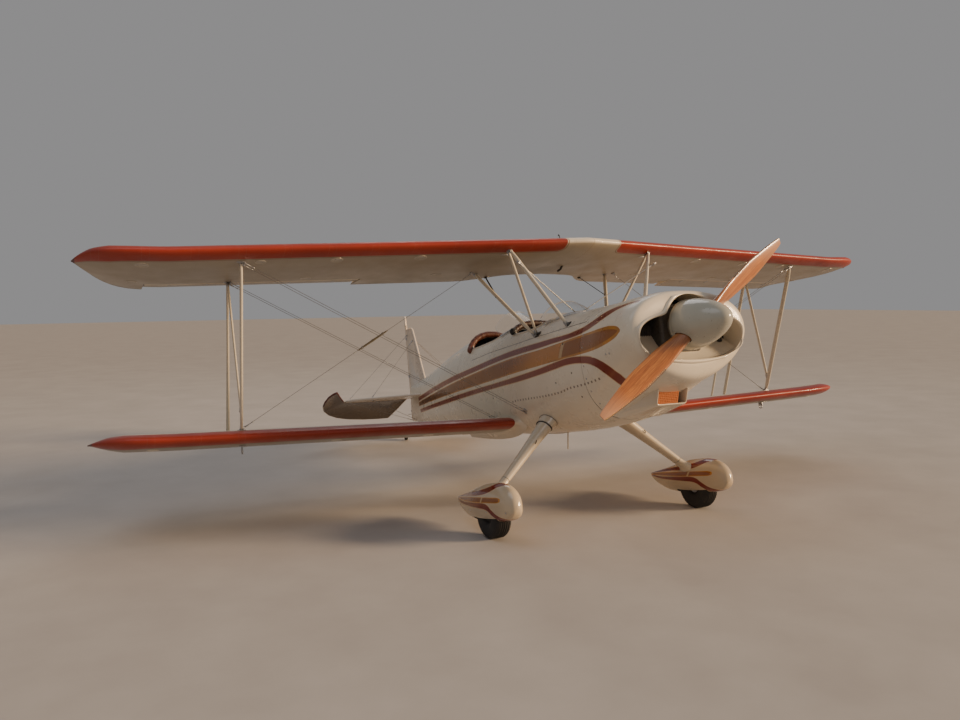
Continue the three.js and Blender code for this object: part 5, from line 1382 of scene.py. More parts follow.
def cover(kind, x, s, r, under, mat=1):
    """Round inspection cover with a raised ring."""
    p = on_wing(kind, x, s, under)
    q = on_wing(kind, x, s + 0.05, under)
    e = on_wing(kind, x + 0.05, s, under)
    n = np.cross(e - p, q - p)
    n /= np.linalg.norm(n)
    if (n[2] < 0) != under:
        n = -n
    prof = [(0, 0.0016), (r * 0.80, 0.0014), (r * 0.86, 0.0030), (r * 0.95, 0.0030), (r, 0.0006), (r * 1.01, -0.002)]
    return lathe(prof, p, n, 32, mat)


def wing_fittings(kind, side, list_):
    for x, s, under, r in list_:
        list_out.append(cover(kind, side * x, s, r, under))


list_out = []
for side in (-1, 1):
    wing_fittings("u", side, [(1.30, .17, True, .048), (1.92, .17, True, .048), (3.22, .19, True, .048), (2.02, .70, True, .045), (0.98, .70, True, .045), (3.26, .72, True, .040), (2.45, .17, True, .04)])
for x in (-0.02,):
    list_out.append(lathe([(0, 0.018), (0.030, 0.018), (0.036, 0.012), (0.036, 0.002), (0.050, 0.0015), (0.052, -0.002)], on_wing("u", -0.16, 0.33), (0, 0.03, 1), 32, 1))
make("upper_wing_skin", up_parts + list_out, [M["upper"], M["ring"]], "airframe", "painted_fabric", ("upper_wing",), sharp=32)

for side, name in SIDES:
    st = wing_stations(LHALF, 0.25, noseL)
    lst = [(side * x, e) for x, e in (st if side > 0 else st)]
    list_out = []
    wing_fittings("l", side, [(1.08, .20, True, .046), (1.85, .20, True, .046), (3.18, .22, True, .042), (1.3, .70, True, .042), (2.3, .70, True, .042), (0.62, .42, True, .05)])
    part = wing_part("l", [x for x, _ in lst], [e for _, e in lst])
    # fillet that fairs the root into the body
    fillet = []
    rows = []
    for x, g in ((0.372, 0.0006), (0.352, 0.003), (0.336, 0.009), (0.320, 0.020), (0.304, 0.037), (0.288, 0.060)):
        p, v = wing_ring("l", side * x, None)
        c = p.mean(0)
        le_i = len(US) - 1
        tang = np.gradient(p[:, 1:], axis=0)
        nrm = np.stack([-tang[:, 1], tang[:, 0]], 1)
        nrm /= np.linalg.norm(nrm, axis=1, keepdims=True) + 1e-9
        if (nrm[le_i // 2] @ (p[le_i // 2, 1:] - c[1:])) < 0:
            nrm = -nrm
        q = p.copy()
        q[:, 1:] += nrm * g
        rows.append(q)
    fillet.append(loft(rows, mat=1))
    make(f"lower_wing_{name}_skin", [part, *fillet, *list_out], [M["lower"], M["cream"]], "airframe", "painted_fabric", (f"lower_wing_{name}",), sharp=32)


# ailerons: round nose in the bay, full trailing part
def hinge_at(kind, side, x):
    ax = abs(x)
    if kind == "u":
        return np.array([side * ax, UY + ax * USW + HINGE, UZ + URISE - UDROP * ax - HINGE * math.tan(math.radians(UINC - UWASH * ax))])
    return np.array([side * ax, LY + HINGE, LZ + ax * LDI - HINGE * math.tan(math.radians(LINC))])


def hinge_turn(kind, side):
    a = hinge_at(kind, side, A_IN + EGAP)
    b = hinge_at(kind, side, A_OUT - EGAP)
    if side < 0:
        a, b = b, a
    return lambda p, a=a.copy(), k=(b - a): turned(p, a, k, REST * (-1 if side > 0 else 1))


for side, name in SIDES:
    for kind, word in (("u", "upper"), ("l", "lower")):
        r = noseU if kind == "u" else noseL
        rows, vs, xs = [], [], []
        for x in np.linspace(A_IN + EGAP, A_OUT - EGAP, 62):
            ch = CHU if kind == "u" else CHL
            tip, hs = (TIP_U, UHALF) if kind == "u" else (TIP_L, LHALF)
            a_, b_ = inset(tip, hs - x)
            end = ch - a_ - b_
            us = np.linspace((HINGE - a_) / end, 1, 22)
            le, s, a2, zt, zb = wing_row(kind, side * x, us)
            h = hinge_at(kind, side, x)
            top = np.stack([np.full(22, side * x), le + s, zt], 1)[::-1]
            bot = np.stack([np.full(22, side * x), le + s, zb], 1)
            th = np.linspace(90, 270, 15)[1:-1]
            # nose: half round through the upper and lower skin at the hinge
            ru, rl = top[-1, 2] - h[2], h[2] - bot[0, 2]
            nose = []
            for q in th:
                rr_ = ru * max(0, math.sin(math.radians(q))) + rl * max(0, -math.sin(math.radians(q)))
                nose.append((side * x, h[1] + r * math.cos(math.radians(q)), h[2] + rr_))if q <= 180 else nose.append((side * x, h[1] + r * math.cos(math.radians(q)), h[2] - rl * -math.sin(math.radians(q))))
            rows.append(np.vstack([top, nose, bot]))
            vs.append(np.concatenate([(s + a2)[::-1], np.full(len(th), HINGE), -(s + a2)]))
            xs.append(side * x)
        p = loft(rows)
        n = len(rows[0])
        uv = []
        for i in range(len(rows) - 1):
            for j in range(n):
                j2 = (j + 1) % n
                uv.append(((xs[i], vs[i][j]), (xs[i], vs[i][j2]), (xs[i + 1], vs[i + 1][j2]), (xs[i + 1], vs[i + 1][j])))
        uv += [((xs[0], .5),) * 3] * n + [((xs[-1], .5),) * 3] * n
        p.uv = uv
        extra = []
        turn = hinge_turn(kind, side)
        for x in (A_IN + 0.20, 2.10, 2.72, A_OUT - 0.18):
            h = hinge_at(kind, side, x)
            extra.append(rbox((h[0] - .009, h[1] - .004, h[2] - r - .004), (h[0] + .009, h[1] + .06, h[2] - r + .006), .003, 1))
        make(f"{word}_aileron_{name}_skin", [q.map(turn) for q in [p, *extra]], [M["upper" if kind == "u" else "lower"], M["steel"]], f"{word}_aileron_{name}", "painted_fabric",
             (f"{word}_aileron_{name}",), sharp=32)


# -------------------------------------------------------- struts and stays
def strut_rings(a, b, ht, hc, sides=28, taper=0.10, k0=0.55, n=14):
    a, b = np.asarray(a, float), np.asarray(b, float)
    d = b - a
    ln = np.linalg.norm(d)
    d /= ln
    f = np.array([0, 1.0, 0]) - d * d[1]
    f /= np.linalg.norm(f)
    s = np.cross(d, f)
    t = np.unique(np.concatenate([np.linspace(0, taper / ln, 5), np.linspace(taper / ln, 1 - taper / ln, n), np.linspace(1 - taper / ln, 1, 5)]))
    q = 2 * np.pi * np.arange(sides) / sides
    rings = []
    for i in t:
        e = min(1, min(i, 1 - i) * ln / taper) if taper else 1
        k = k0 + (1 - k0) * (math.sin(e * math.pi / 2))
        along = hc * (np.cos(q) - 0.12 * (1 - np.cos(q) ** 2)) * k
        across = ht * np.sin(q) * (1 - 0.18 * np.cos(q)) * (0.75 + 0.25 * k)
        rings.append(a + d * (i * ln) + np.outer(along, f) + np.outer(across, s))
    return rings, d, f, s


def fork(at, d, f, s, ht, flip=1, mat=1):
    """Two plates and a bolt at a strut's end."""
    out = []
    at = np.asarray(at, float)
    for k in (-1, 1):
        c = at + s * k * (ht * 0.75 + 0.002)
        ring = []
        for z in (-0.0016, 0.0016):
            pts = []
            for q in np.linspace(0, 2 * np.pi, 20, endpoint=False):
                pts.append(c + s * z + f * 0.013 * math.cos(q) + d * (0.024 * math.sin(q)))
            ring.append(pts)
        out.append(loft(ring, mat=mat))
    out.append(rod(at - s * (ht + 0.008) - d * 0.006 * flip, at + s * (ht + 0.008) - d * 0.006 * flip, 0.0045, 8, mat))
    return out


def strut_u(x, s):
    ax = abs(x)
    inc = math.radians(UINC - UWASH * ax)
    return np.array([x, UY + ax * USW + s, UZ + URISE - UDROP * ax - s * math.tan(inc) - float(half_t(s / CHU)) * CHU * UBEL])


def strut_l(x, s):
    ax = abs(x)
    return np.array([x, LY + s, LZ + ax * LDI - s * math.tan(math.radians(LINC)) + float(half_t(s / CHL)) * CHL])


def terminal(a, b, r, mat=1):
    """Threaded rod end with a fork and barrel where a stay begins, running from a towards b."""
    a, b = np.asarray(a, float), np.asarray(b, float)
    d = (b - a) / np.linalg.norm(b - a)
    out = [lathe([(0, 0), (r * 1.9, 0.001), (r * 2.1, 0.006), (r * 2.0, 0.030), (r * 1.4, 0.034), (r * 1.4, 0.060), (r * 1.8, 0.062), (r * 1.8, 0.072), (r, 0.075), (0, 0.076)], a, d, 12, mat)]
    return out


def stay(a, b, r=0.0019, ends=True):
    """Streamlined steel stay, twice as deep as it is thick."""
    a, b = np.asarray(a, float), np.asarray(b, float)
    d = (b - a) / np.linalg.norm(b - a)
    rings, *_ = strut_rings(a + d * 0.06, b - d * 0.06, r * 0.8, r * 1.7, 10, 0.04, 0.7, 3)
    out = [loft(rings, mat=0)]
    if ends:
        out += terminal(a, b, r * 1.25) + terminal(b, a, r * 1.25)
    return out


IPU, IPL = 2.583, 2.570
for side, name in SIDES:
    U1, U2 = strut_u(side * IPU, .154), strut_u(side * IPU, .776)
    L1, L2 = strut_l(side * IPL, .150), strut_l(side * IPL, .776)

    def strut_piece(nm, a, b, ht, hc, node, inset_=0.012, forks=True):
        a, b = np.asarray(a, float), np.asarray(b, float)
        d = (b - a) / np.linalg.norm(b - a)
        a2, b2 = a + d * inset_, b - d * inset_
        rings, d, f, s = strut_rings(a2, b2, ht, hc)
        parts = [loft(rings)]
        if forks:
            parts += fork(a2, d, f, s, ht * 0.8, 1) + fork(b2, d, f, s, ht * 0.8, -1)
        return make(nm, parts, [M["strut"], M["steel"]], "airframe", "strut_enamel", (node,))

    strut_piece(f"strut_front_{name}", L1, U1, .011, .024, f"interplane_front_{name}")
    strut_piece(f"strut_rear_{name}", L2, U2, .010, .021, f"interplane_rear_{name}")
    strut_piece(f"strut_diagonal_{name}", L1 + (U1 - L1) * .12 + np.array([0, .020, 0]), U2 + np.array([0, -.018, -.022]), .008, .016, f"interplane_diagonal_{name}", 0.004)
    Tf, Tr = strut_u(side * .645, -.088 - (UY + .645 * USW)), strut_u(side * .645, .565 - (UY + .645 * USW))
    Ff, Fr = np.array([side * .351, -.318, 1.517]), np.array([side * .351, .176, 1.505])

    def to_body(top, foot, lift=0.004):
        """Foot point moved along the strut until it meets the skin."""
        d = (top - foot) / np.linalg.norm(top - foot)
        p = foot.copy()
        for _ in range(200):
            if abs(p[0]) > side_x(p[1], p[2]) + lift:
                break
            p = p + d * 0.002
        return p

    Ff2, Fr2 = to_body(Tf, Ff), to_body(Tr, Fr)
    strut_piece(f"cabane_front_{name}_tube", Ff2, Tf, .011, .021, f"cabane_front_{name}", 0.006)
    strut_piece(f"cabane_rear_{name}_tube", Fr2, Tr, .011, .021, f"cabane_rear_{name}", 0.006)
    strut_piece(f"cabane_diagonal_{name}_tube", Fr2 + np.array([0, -.028, .018]), Tf + np.array([0, .020, -.014]), .009, .016, f"cabane_diagonal_{name}", 0.002)
    # foot collars and bolts on the skin
    col = []
    for p in (Ff2, Fr2, Fr2 + np.array([0, -.03, .004])):
        a, n = side_normal(p[1], p[2], side)
        col.append(lathe([(0, 0.010), (0.010, 0.010), (0.012, 0.008), (0.019, 0.004), (0.026, 0.001), (0.027, -0.003)], a, n, 24, 0))
        col += [q for q in bolt(a + np.array([0, .016, .012]), n, .0035, .004, 1)]
    make(f"cabane_feet_{name}", col, [M["putty"], M["steel"]], "airframe", "steel")

    # flying stays in pairs, landing stay, javelin that ties them
    foot, head = np.array([side * .366, .424, .912]), U1 + np.array([-side * .022, 0, -.015])
    fx = side_x(.424, .912) + .004
    foot[0] = side * fx
    foot2 = np.array([side * (side_x(1.05, .875) + .004), 1.05, .875])
    head2 = U2 + np.array([-side * .020, 0, -.012])
    wires = []
    for dy in (-.027, .031):
        wires += stay(foot + np.array([0, dy, 0]), head + np.array([0, dy, 0]))
        wires += stay(foot2 + np.array([0, dy, 0]), head2 + np.array([0, dy, 0]))
    for f_ in (foot, foot2):
        wires.append(rod(f_ + np.array([-side * .006, -.038, 0]), f_ + np.array([-side * .006, .042, 0]), .006, 10, 1))
        a, n = side_normal(f_[1], f_[2], side)
        wires.append(lathe([(0, .004), (.022, .004), (.026, .002), (.027, -.003)], a, n, 24, 1))
    for h_ in (head, head2):
        wires.append(rod(h_ + np.array([0, -.038, 0]), h_ + np.array([0, .042, 0]), .005, 10, 1))
    make(f"flying_stays_{name}", wires, [M["wire"], M["steel"]], "airframe", "steel", (f"flying_wires_{name}",))
    ltop = strut_u(side * .700, .509 - (UY + .7 * USW)) + np.array([0, 0, -.010])
    lfoot = L1 + np.array([-side * .030, .024, .022])
    land = stay(ltop, lfoot)
    land.append(rod(lfoot + np.array([side * .028, -.01, -.018]), lfoot + np.array([-side * .004, .004, .004]), .006, 10, 1))
    land.append(rbox(ltop - np.array([.012, .016, .002]), ltop + np.array([.012, .016, .012]), .003, 1))
    # javelin: slim wooden rod clamped along the landing stay where the flying stays pass
    ja, jb = ltop + (lfoot - ltop) * 0.402, ltop + (lfoot - ltop) * 0.52
    dj = (jb - ja) / np.linalg.norm(jb - ja)
    land.append(tube([ja - dj * 0.02, ja, ja + dj * 0.05, (ja + jb) / 2, jb - dj * 0.05, jb, jb + dj * 0.02] + np.array([0, -.010, 0]), [.002, .005, .0075, .0085, .0075, .005, .002], 14, 3))
    for q in (0.12, 0.5, 0.88):
        c = ja + (jb - ja) * q
        land.append(tube([c - dj * .006 + np.array([0, -.005, 0]), c + dj * .006 + np.array([0, -.005, 0])], [.0112, .0112], 14, 1))
    make(f"landing_stay_{name}", land, [M["wire"], M["steel"], M["putty"], M["javelin"]], "airframe", "steel", (f"landing_wire_{name}",))
    # mirror or hand grip rod from the rear cabane to the cut-out edge
    g0, g1 = on_wing("u", side * .47, .985, True), Fr2 + (Tr - Fr2) * .62
    make(f"centre_brace_{name}", [tube([g1, (g0 + g1) / 2, g0], .006 if side < 0 else .003, 12, 0), rbox(g0 - .011, g0 + .011, .004, 0), rbox(g1 - .010, g1 + .010, .004, 0)], [M["putty"]], "airframe", "steel")
    # slave strut: tube with rod ends
    ax = IPU - 0.030
    lift = math.sin(math.radians(REST)) * .112 * (1 if side < 0 else -1)
    sU, sL = HINGE + .112, HINGE + .112
    inc = math.radians(UINC - UWASH * ax)
    topp = np.array([side * ax, UY + ax * USW + sU, UZ + URISE - UDROP * ax - sU * math.tan(inc) - float(half_t(sU / CHU)) * CHU - .020 + lift])
    ft = np.array([side * ax, LY + sL, LZ + ax * LDI - sL * math.tan(math.radians(LINC)) + float(half_t(sL / CHL)) * CHL + .025 + lift])
    rings, d, f, s = strut_rings(ft, topp, .008, .013, 20, 0.08, 0.45)
    parts = [loft(rings)] + terminal(ft, topp, .0035, 1) + terminal(topp, ft, .0035, 1)
    make(f"slave_strut_{name}_tube", parts, [M["strut"], M["steel"]], f"slave_strut_{name}", "strut_enamel", (f"aileron_slave_strut_{name}",))

# cross braces from the cabane heads to the deck ahead of the front screen
cross = []
for side in (-1, 1):
    a = np.array([side * .620, -.170, 2.008])
    b = np.array([side * .012, .060 + side * .010, deck_z(0, .06) + .006])
    rings, d, f, s = strut_rings(a, b, .0030, .0062, 16, 0.05, 0.6, 5)
    cross.append(loft(rings, mat=0))
    cross += fork(a - d * .004, d, f, s, .003, 1) + fork(b + d * .004, d, f, s, .003, -1)
cross.append(rbox((-.030, .034, deck_z(0, .06) - .003), (.030, .086, deck_z(0, .06) + .004), .002, 1))
make("cabane_cross_stays", cross, [M["brace"], M["steel"]], "airframe", "steel")

# -------------------------------------------------------------------- tail
def round_corners(pts, r=0.016):
    pts = [np.asarray(p, float) for p in pts]
    out, n = [], len(pts)
    for i in range(n):
        a, b, c = pts[i - 1], pts[i], pts[(i + 1) % n]
        u, v = a - b, c - b
        lu, lv = np.linalg.norm(u), np.linalg.norm(v)
        ang = math.acos(np.clip((u @ v) / (lu * lv), -1, 1))
        k = min(r, lu * 0.33, lv * 0.33)
        if ang < math.radians(172):
            p, q = b + u / lu * k, b + v / lv * k
            for t in (0, 0.33, 0.67, 1):
                out.append((1 - t) ** 2 * p + 2 * t * (1 - t) * b + t * t * q)
        else:
            out.append(b)
    return np.array(out)


def densify(p, step):
    out = []
    for a, b in zip(p, np.roll(p, -1, 0)):
        k = max(1, int(np.linalg.norm(b - a) / step))
        out += [a + (b - a) * q / k for q in range(k)]
    return np.array(out)


def plate(outline, h, place, u_of, corner=0.016, dip=0.0035, mat=0):
    """Tube-framed fabric surface: rounded rim, slightly sunken panel."""
    p = densify(round_corners(outline, corner), 0.03)
    area = 0.5 * np.sum(p[:, 0] * np.roll(p[:, 1], -1) - np.roll(p[:, 0], -1) * p[:, 1])
    if area < 0:
        p = p[::-1]
    t = np.roll(p, -1, 0) - np.roll(p, 1, 0)
    n = np.stack([t[:, 1], -t[:, 0]], 1)
    n /= np.linalg.norm(n, axis=1, keepdims=True)
    rings, us, vs = [], [], []
    def inward(off):
        """The outline moved in by off, with no point left nearer to the outline than that."""
        q = p - n * off
        nxt = np.roll(p, -1, 0)
        for _ in range(12):
            e = nxt - p
            k = np.clip(np.einsum("ijk,jk->ij", q[:, None] - p[None], e) / np.maximum((e * e).sum(1), 1e-12), 0, 1)
            near = p[None] + k[..., None] * e[None]
            dist = np.linalg.norm(q[:, None] - near, axis=2)
            j = dist.argmin(1)
            i = np.arange(len(q))
            short = off - dist[i, j]
            away = q - near[i, j]
            ln_ = np.linalg.norm(away, axis=1, keepdims=True)
            away = np.where(ln_ > 1e-9, away / np.maximum(ln_, 1e-9), -n)
            q = q + away * np.maximum(short, 0)[:, None]
        return q

    far_in = h + .005
    levels = [(far_in, -(h - dip), .030)] + [(h * (1 - math.cos(math.radians(q))), h * math.sin(math.radians(q)), h * (1 - math.cos(math.radians(q)))) for q in np.linspace(-90, 90, 11)] + [(far_in, h - dip, .030)]
    for off, z, v in levels:
        q = inward(off)
        rings.append(place(q, z))
        us.append(u_of(q))
        vs.append(v)
    part = loft(rings, cap0=False, cap1=False, mat=mat)
    m = len(p)
    uv = []
    for i in range(len(rings) - 1):
        for j in range(m):
            k = (j + 1) % m
            uv.append(((us[i][j], vs[i]), (us[i][k], vs[i]), (us[i + 1][k], vs[i + 1]), (us[i + 1][j], vs[i + 1])))
    f = part.f + [tuple(range(m))[::-1], tuple((len(rings) - 1) * m + k for k in range(m))]
    uv.append(tuple((us[0][k], .03) for k in range(m))[::-1])
    uv.append(tuple((us[-1][k], .03) for k in range(m)))
    return Part(part.v, f, uv, mat)


HY, TLZ, H = 3.940, 1.262, 0.013
FIN = np.array([[3440, 1440], [3452, 1478], [3560, 1722], [3650, 1925], [3705, 2046], [3730, 2082], [3765, 2098], [3918, 2098], [3918, 1380], [3700, 1380]]) / 1000
RUD = np.array([[0, 1000], [90, 1004], [200, 1028], [295, 1082], [362, 1165], [398, 1270], [412, 1400], [410, 1560], [396, 1740], [368, 1920], [322, 2070], [255, 2180], [170, 2240],
                [80, 2258], [-60, 2256], [-150, 2240], [-190, 2205], [-200, 2150], [-200, 2114], [0, 2114]]) / 1000
STAB = np.array([[30, 3330], [180, 3372], [420, 3462], [640, 3560], [760, 3640], [812, 3712], [836, 3800], [841, 3918], [30, 3918]]) / 1000
ELEV = np.array([[50, 0], [841, 0], [900, -95], [966, -212], [1012, -180], [1056, -118], [1084, -20], [1090, 70], [1060, 165], [985, 255], [870, 325], [720, 372], [520, 402],
                 [330, 412], [195, 410], [120, 215], [60, 30]]) / 1000
fin_place = lambda q, z: np.stack([np.full(len(q), z), q[:, 0], q[:, 1]], 1)
make("fin_skin", plate(FIN, H, fin_place, lambda q: q[:, 1]), [M["tail"]], "airframe", "painted_fabric", ("fin",))
rud_turn = lambda p: turned(p, (0, HY, 1.0), (0, 0, 1), -22)
notch = np.array([[0, 1.000], *RUD[1:-1], [0, 2.114], [0, TLZ + .050], [.060, TLZ + .050], [.060, TLZ - .050], [0, TLZ - .050]])
rud_parts = [plate(notch, H - .001, lambda q, z: np.stack([np.full(len(q), z), HY + q[:, 0], q[:, 1]], 1), lambda q: q[:, 1])]
for z0, z1 in ((1.004, TLZ - .052), (TLZ + .052, 2.110)):
    rud_parts.append(rod((0, HY, z0), (0, HY, z1), H - .001, 20, 0))
for z in (1.10, 1.52, 1.98):
    rud_parts += [rbox((-.016, HY - .016, z - .011), (.016, HY + .020, z + .011), .004, 1), rod((-.002, HY - .012, z - .018), (-.002, HY - .012, z + .018), .005, 10, 1)]
for sgn in (-1, 1):
    rud_parts.append(rbox((min(sgn * .012, sgn * .055), HY + .012, 1.060), (max(sgn * .012, sgn * .055), HY + .026, 1.066), .002, 1))
make("rudder_skin", [p.map(rud_turn) for p in rud_parts], [M["tail"], M["steel"]], "rudder", "painted_fabric", ("rudder",))
for side, name in SIDES:
    flat = lambda q, z, s=side: np.stack([s * q[:, 0], q[:, 1], np.full(len(q), TLZ + z)], 1)
    extra = []
    for x in (.20, .50, .78):
        extra.append(rbox((side * x - .011, 3.905, TLZ - .012), (side * x + .011, 3.934, TLZ + .012), .003, 1))
    make(f"stabiliser_{name}_skin", [plate(STAB, H, flat, lambda q: q[:, 0]), *extra], [M["tail"], M["steel"]], "airframe", "painted_fabric", (f"stabiliser_{name}",))
    turn = lambda p: turned(p, (0, HY, TLZ), (1, 0, 0), -31)
    el = plate(ELEV, H - .001, lambda q, z, s=side: np.stack([s * q[:, 0], HY + q[:, 1], np.full(len(q), TLZ + z)], 1), lambda q: q[:, 0])
    tub = rod((side * .050, HY, TLZ), (side * .836, HY, TLZ), H - .001, 20, 0)
    tub.uv = [tuple((0.0, .03) for _ in f) for f in tub.f]
    make(f"elevator_{name}_skin", [el.map(turn), tub.map(turn)], [M["elevator"]], "elevator", "painted_fabric", (f"elevator_{name}",))
frame["nodes"]["elevator_torque_tube"].data.materials.clear()
frame["nodes"]["elevator_torque_tube"].data.materials.append(M["steel"])

brace = []
for side in (-1, 1):
    for y, zf, xs_, ys_ in ((3.715, 1.93, .60, 3.62), (3.885, 2.02, .80, 3.872)):
        brace += stay((side * .017, y, zf), (side * xs_, ys_, TLZ + H + .004), .002)
        brace += stay((side * xs_, ys_, TLZ - H - .004), (side * (.050 if y < 3.8 else .024), y - .02, .985), .002)
        brace += [rod((side * xs_, ys_, TLZ - H - .010), (side * xs_, ys_, TLZ + H + .010), .005, 10, 1)]
    brace += bolt((side * .013, 3.715, 1.93), (side, 0, 0), .006, .006, 1) + bolt((side * .013, 3.885, 2.02), (side, 0, 0), .006, .006, 1)
make("tail_brace_stays", brace, [M["wire"], M["steel"]], "airframe", "steel")

# --------------------------------------------------------------- main gear
PANT = np.array([[-428, 8, 228, 252], [-421, 28, 206, 283], [-398, 50, 178, 322], [-350, 71, 150, 364], [-270, 86, 134, 393], [-150, 93, 128, 402], [0, 94, 126, 395], [140, 88, 126, 371],
                 [280, 69, 137, 342], [420, 44, 174, 312], [520, 24, 214, 293], [584, 6, 256, 281]]) / 1000
TRACK, TYR, TYW, RIM = 0.948, 0.180, 0.134, 0.058
AY, AZ = -TYR * math.sin(TH), TYR * math.cos(TH)


def in_hull(p):
    w, zb, zc, zt, nt, nb = params(FUS, p[1])[0]
    u, q = ((p[2] - zc) / (zt - zc), nt) if p[2] >= zc else ((zc - p[2]) / (zc - zb), nb)
    return (abs(p[0]) / w) ** q + u**q < 1


for side, name in SIDES:
    yp = -0.428 + 1.012 * (1 - np.cos(np.linspace(0, math.pi, 64))) / 2
    rows = []
    for y in yp:
        k = (y + 0.428) / 1.012
        w, zb, zt = (float(pchip(PANT[:, 0], PANT[:, c], y)) for c in (1, 2, 3))
        zc = zb * .55 + zt * .45
        t = 2 * np.pi * (np.arange(56) + .5) / 56
        c, s = np.cos(t), np.sin(t)
        p = np.where(s > 0, 2.1, 3.2)
        x = side * TRACK + np.sign(c) * w * np.abs(c) ** (2 / p)
        z = np.where(s > 0, zc + (zt - zc) * np.abs(s) ** (2 / p), zc - (zc - zb) * np.abs(s) ** (2 / p))
        rows.append(np.stack([x, np.full(56, y), z], 1))
    pant = make(f"wheel_fairing_{name}_shell", loft(rows), [M["pant"], M["bay"]], "airframe", "painted_composite", (f"wheel_fairing_{name}",))
    well = make("tool_w", lathe([(0, -.072), (.150, -.072), (.160, -.071), (.172, -.066), (.180, -.058), (.185, -.045), (.185, .045), (.180, .058), (.172, .066), (.160, .071), (.150, .072), (0, .072)], (side * TRACK, AY, AZ), (1, 0, 0), 72), M["bay"], None, None)
    drop = make("tool_d", rbox((side * TRACK - .074, AY - TYR - .009, .05), (side * TRACK + .074, AY + TYR + .009, AZ), .002), M["bay"], None, None)
    for tl in (well, drop):
        for f in tl.data.polygons:
            f.material_index = 0
    cut(pant, [well, drop])
    axle = [rod((side * (TRACK - .086), AY, AZ), (side * (TRACK + .080), AY, AZ), .0145, 24, 0)]
    for y in (-.36, -.1, .2, .38):
        a = np.array([side * (TRACK + .0), y, 0])
        w = float(pchip(PANT[:, 0], PANT[:, 1], y))
        axle.append(lathe([(0, 0.0016), (0.005, 0.0016), (0.007, 0.0005), (0.0072, -0.001)], (side * (TRACK + w * .985), y, .200), (side, 0, -.2), 12, 0))
    make(f"axle_and_screws_{name}", axle, [M["steel"]], "airframe", "steel")
    A, B = np.array([side * .262, .158, .861]), np.array([side * .880, .009, .336])
    d = (B - A) / np.linalg.norm(B - A)
    s2 = np.cross((0, 1, 0), d)
    s2 /= np.linalg.norm(s2)
    tk, ak, bk = [0, .1, .28, .5, 1], [.060, .055, .046, .038, .026], [.112, .104, .082, .064, .046]
    q = 2 * np.pi * np.arange(48) / 48

    def leg_ring(t, g=1.0):
        a, b = float(pchip(tk, ak, t)) * g, float(pchip(tk, bk, t)) * g
        c = A + (B - A) * t
        al = b * np.cos(q)
        ac = a * np.sin(q) * (1 - .10 * np.cos(q))
        return c + np.outer(al, (0, 1, 0)) + np.outer(ac, s2)

    legs = [leg_ring(t) for t in np.linspace(0, .86, 30)]
    for t, g in ((.89, 1.01), (.915, 1.05), (.94, 1.13), (.96, 1.26), (.98, 1.46), (1.0, 1.75)):
        legs.append(leg_ring(t, g))
    lp = loft(legs)
    ringpts, lowpts = [], []
    for k in range(48):
        t = 0.0
        while t < .4:
            a, b = float(pchip(tk, ak, t)), float(pchip(tk, bk, t))
            p = A + (B - A) * t + b * math.cos(q[k]) * np.array([0, 1, 0]) + a * math.sin(q[k]) * s2
            if not in_hull(p):
                break
            t += .004
        ringpts.append(p)
        t += .080
        a, b = float(pchip(tk, ak, t)), float(pchip(tk, bk, t))
        lowpts.append(A + (B - A) * t + b * math.cos(q[k]) * np.array([0, 1, 0]) + a * math.sin(q[k]) * s2)
    ringpts, lowpts = np.array(ringpts), np.array(lowpts)
    for _ in range(3):
        ringpts = (np.roll(ringpts, 1, 0) + ringpts * 2 + np.roll(ringpts, -1, 0)) / 4
        lowpts = (np.roll(lowpts, 1, 0) + lowpts * 2 + np.roll(lowpts, -1, 0)) / 4
    c = ringpts.mean(0)
    c2 = lowpts.mean(0)
    boot = tube(c2 + (lowpts - c2) * 1.02, .0066, 10, 1, shut=True)
    cuff = loft([c + (ringpts - c) * g_ - d * k_ for g_, k_ in ((1.24, .016), (1.13, .002), (1.08, -.014))] + [c2 + (lowpts - c2) * g_ for g_ in (1.055, 1.045, 1.0)], cap0=False, cap1=False, mat=0)
    lip = tube(c + (ringpts - c) * 1.12 + d * .002, .0022, 8, 2, shut=True)
    g = A + (B - A) * .41
    clip = [rbox(g + np.array([-.006, -.066, -.006]), g + np.array([.006, -.060, .006]), .002, 2), tube([g + (0, -.066, .0), g + (-side * .004, -.076, .014), g + (-side * .01, -.076, .03)], .0035, 8, 2)]
    hose = tube([A + (B - A) * t + np.array([0, .98 * float(pchip(tk, bk, t)) + .003, 0]) for t in np.linspace(.16, .93, 24)], .0032, 8, 2)
    joint = tube(np.vstack([leg_ring(.865, 1.006)]), .0014, 6, 2, shut=True)
    make(f"gear_leg_{name}_fairing", [lp, boot, cuff, lip, *clip, hose, joint], [M["leg"], M["putty"], M["black"]], "airframe", "painted_metal", (f"gear_leg_{name}",))

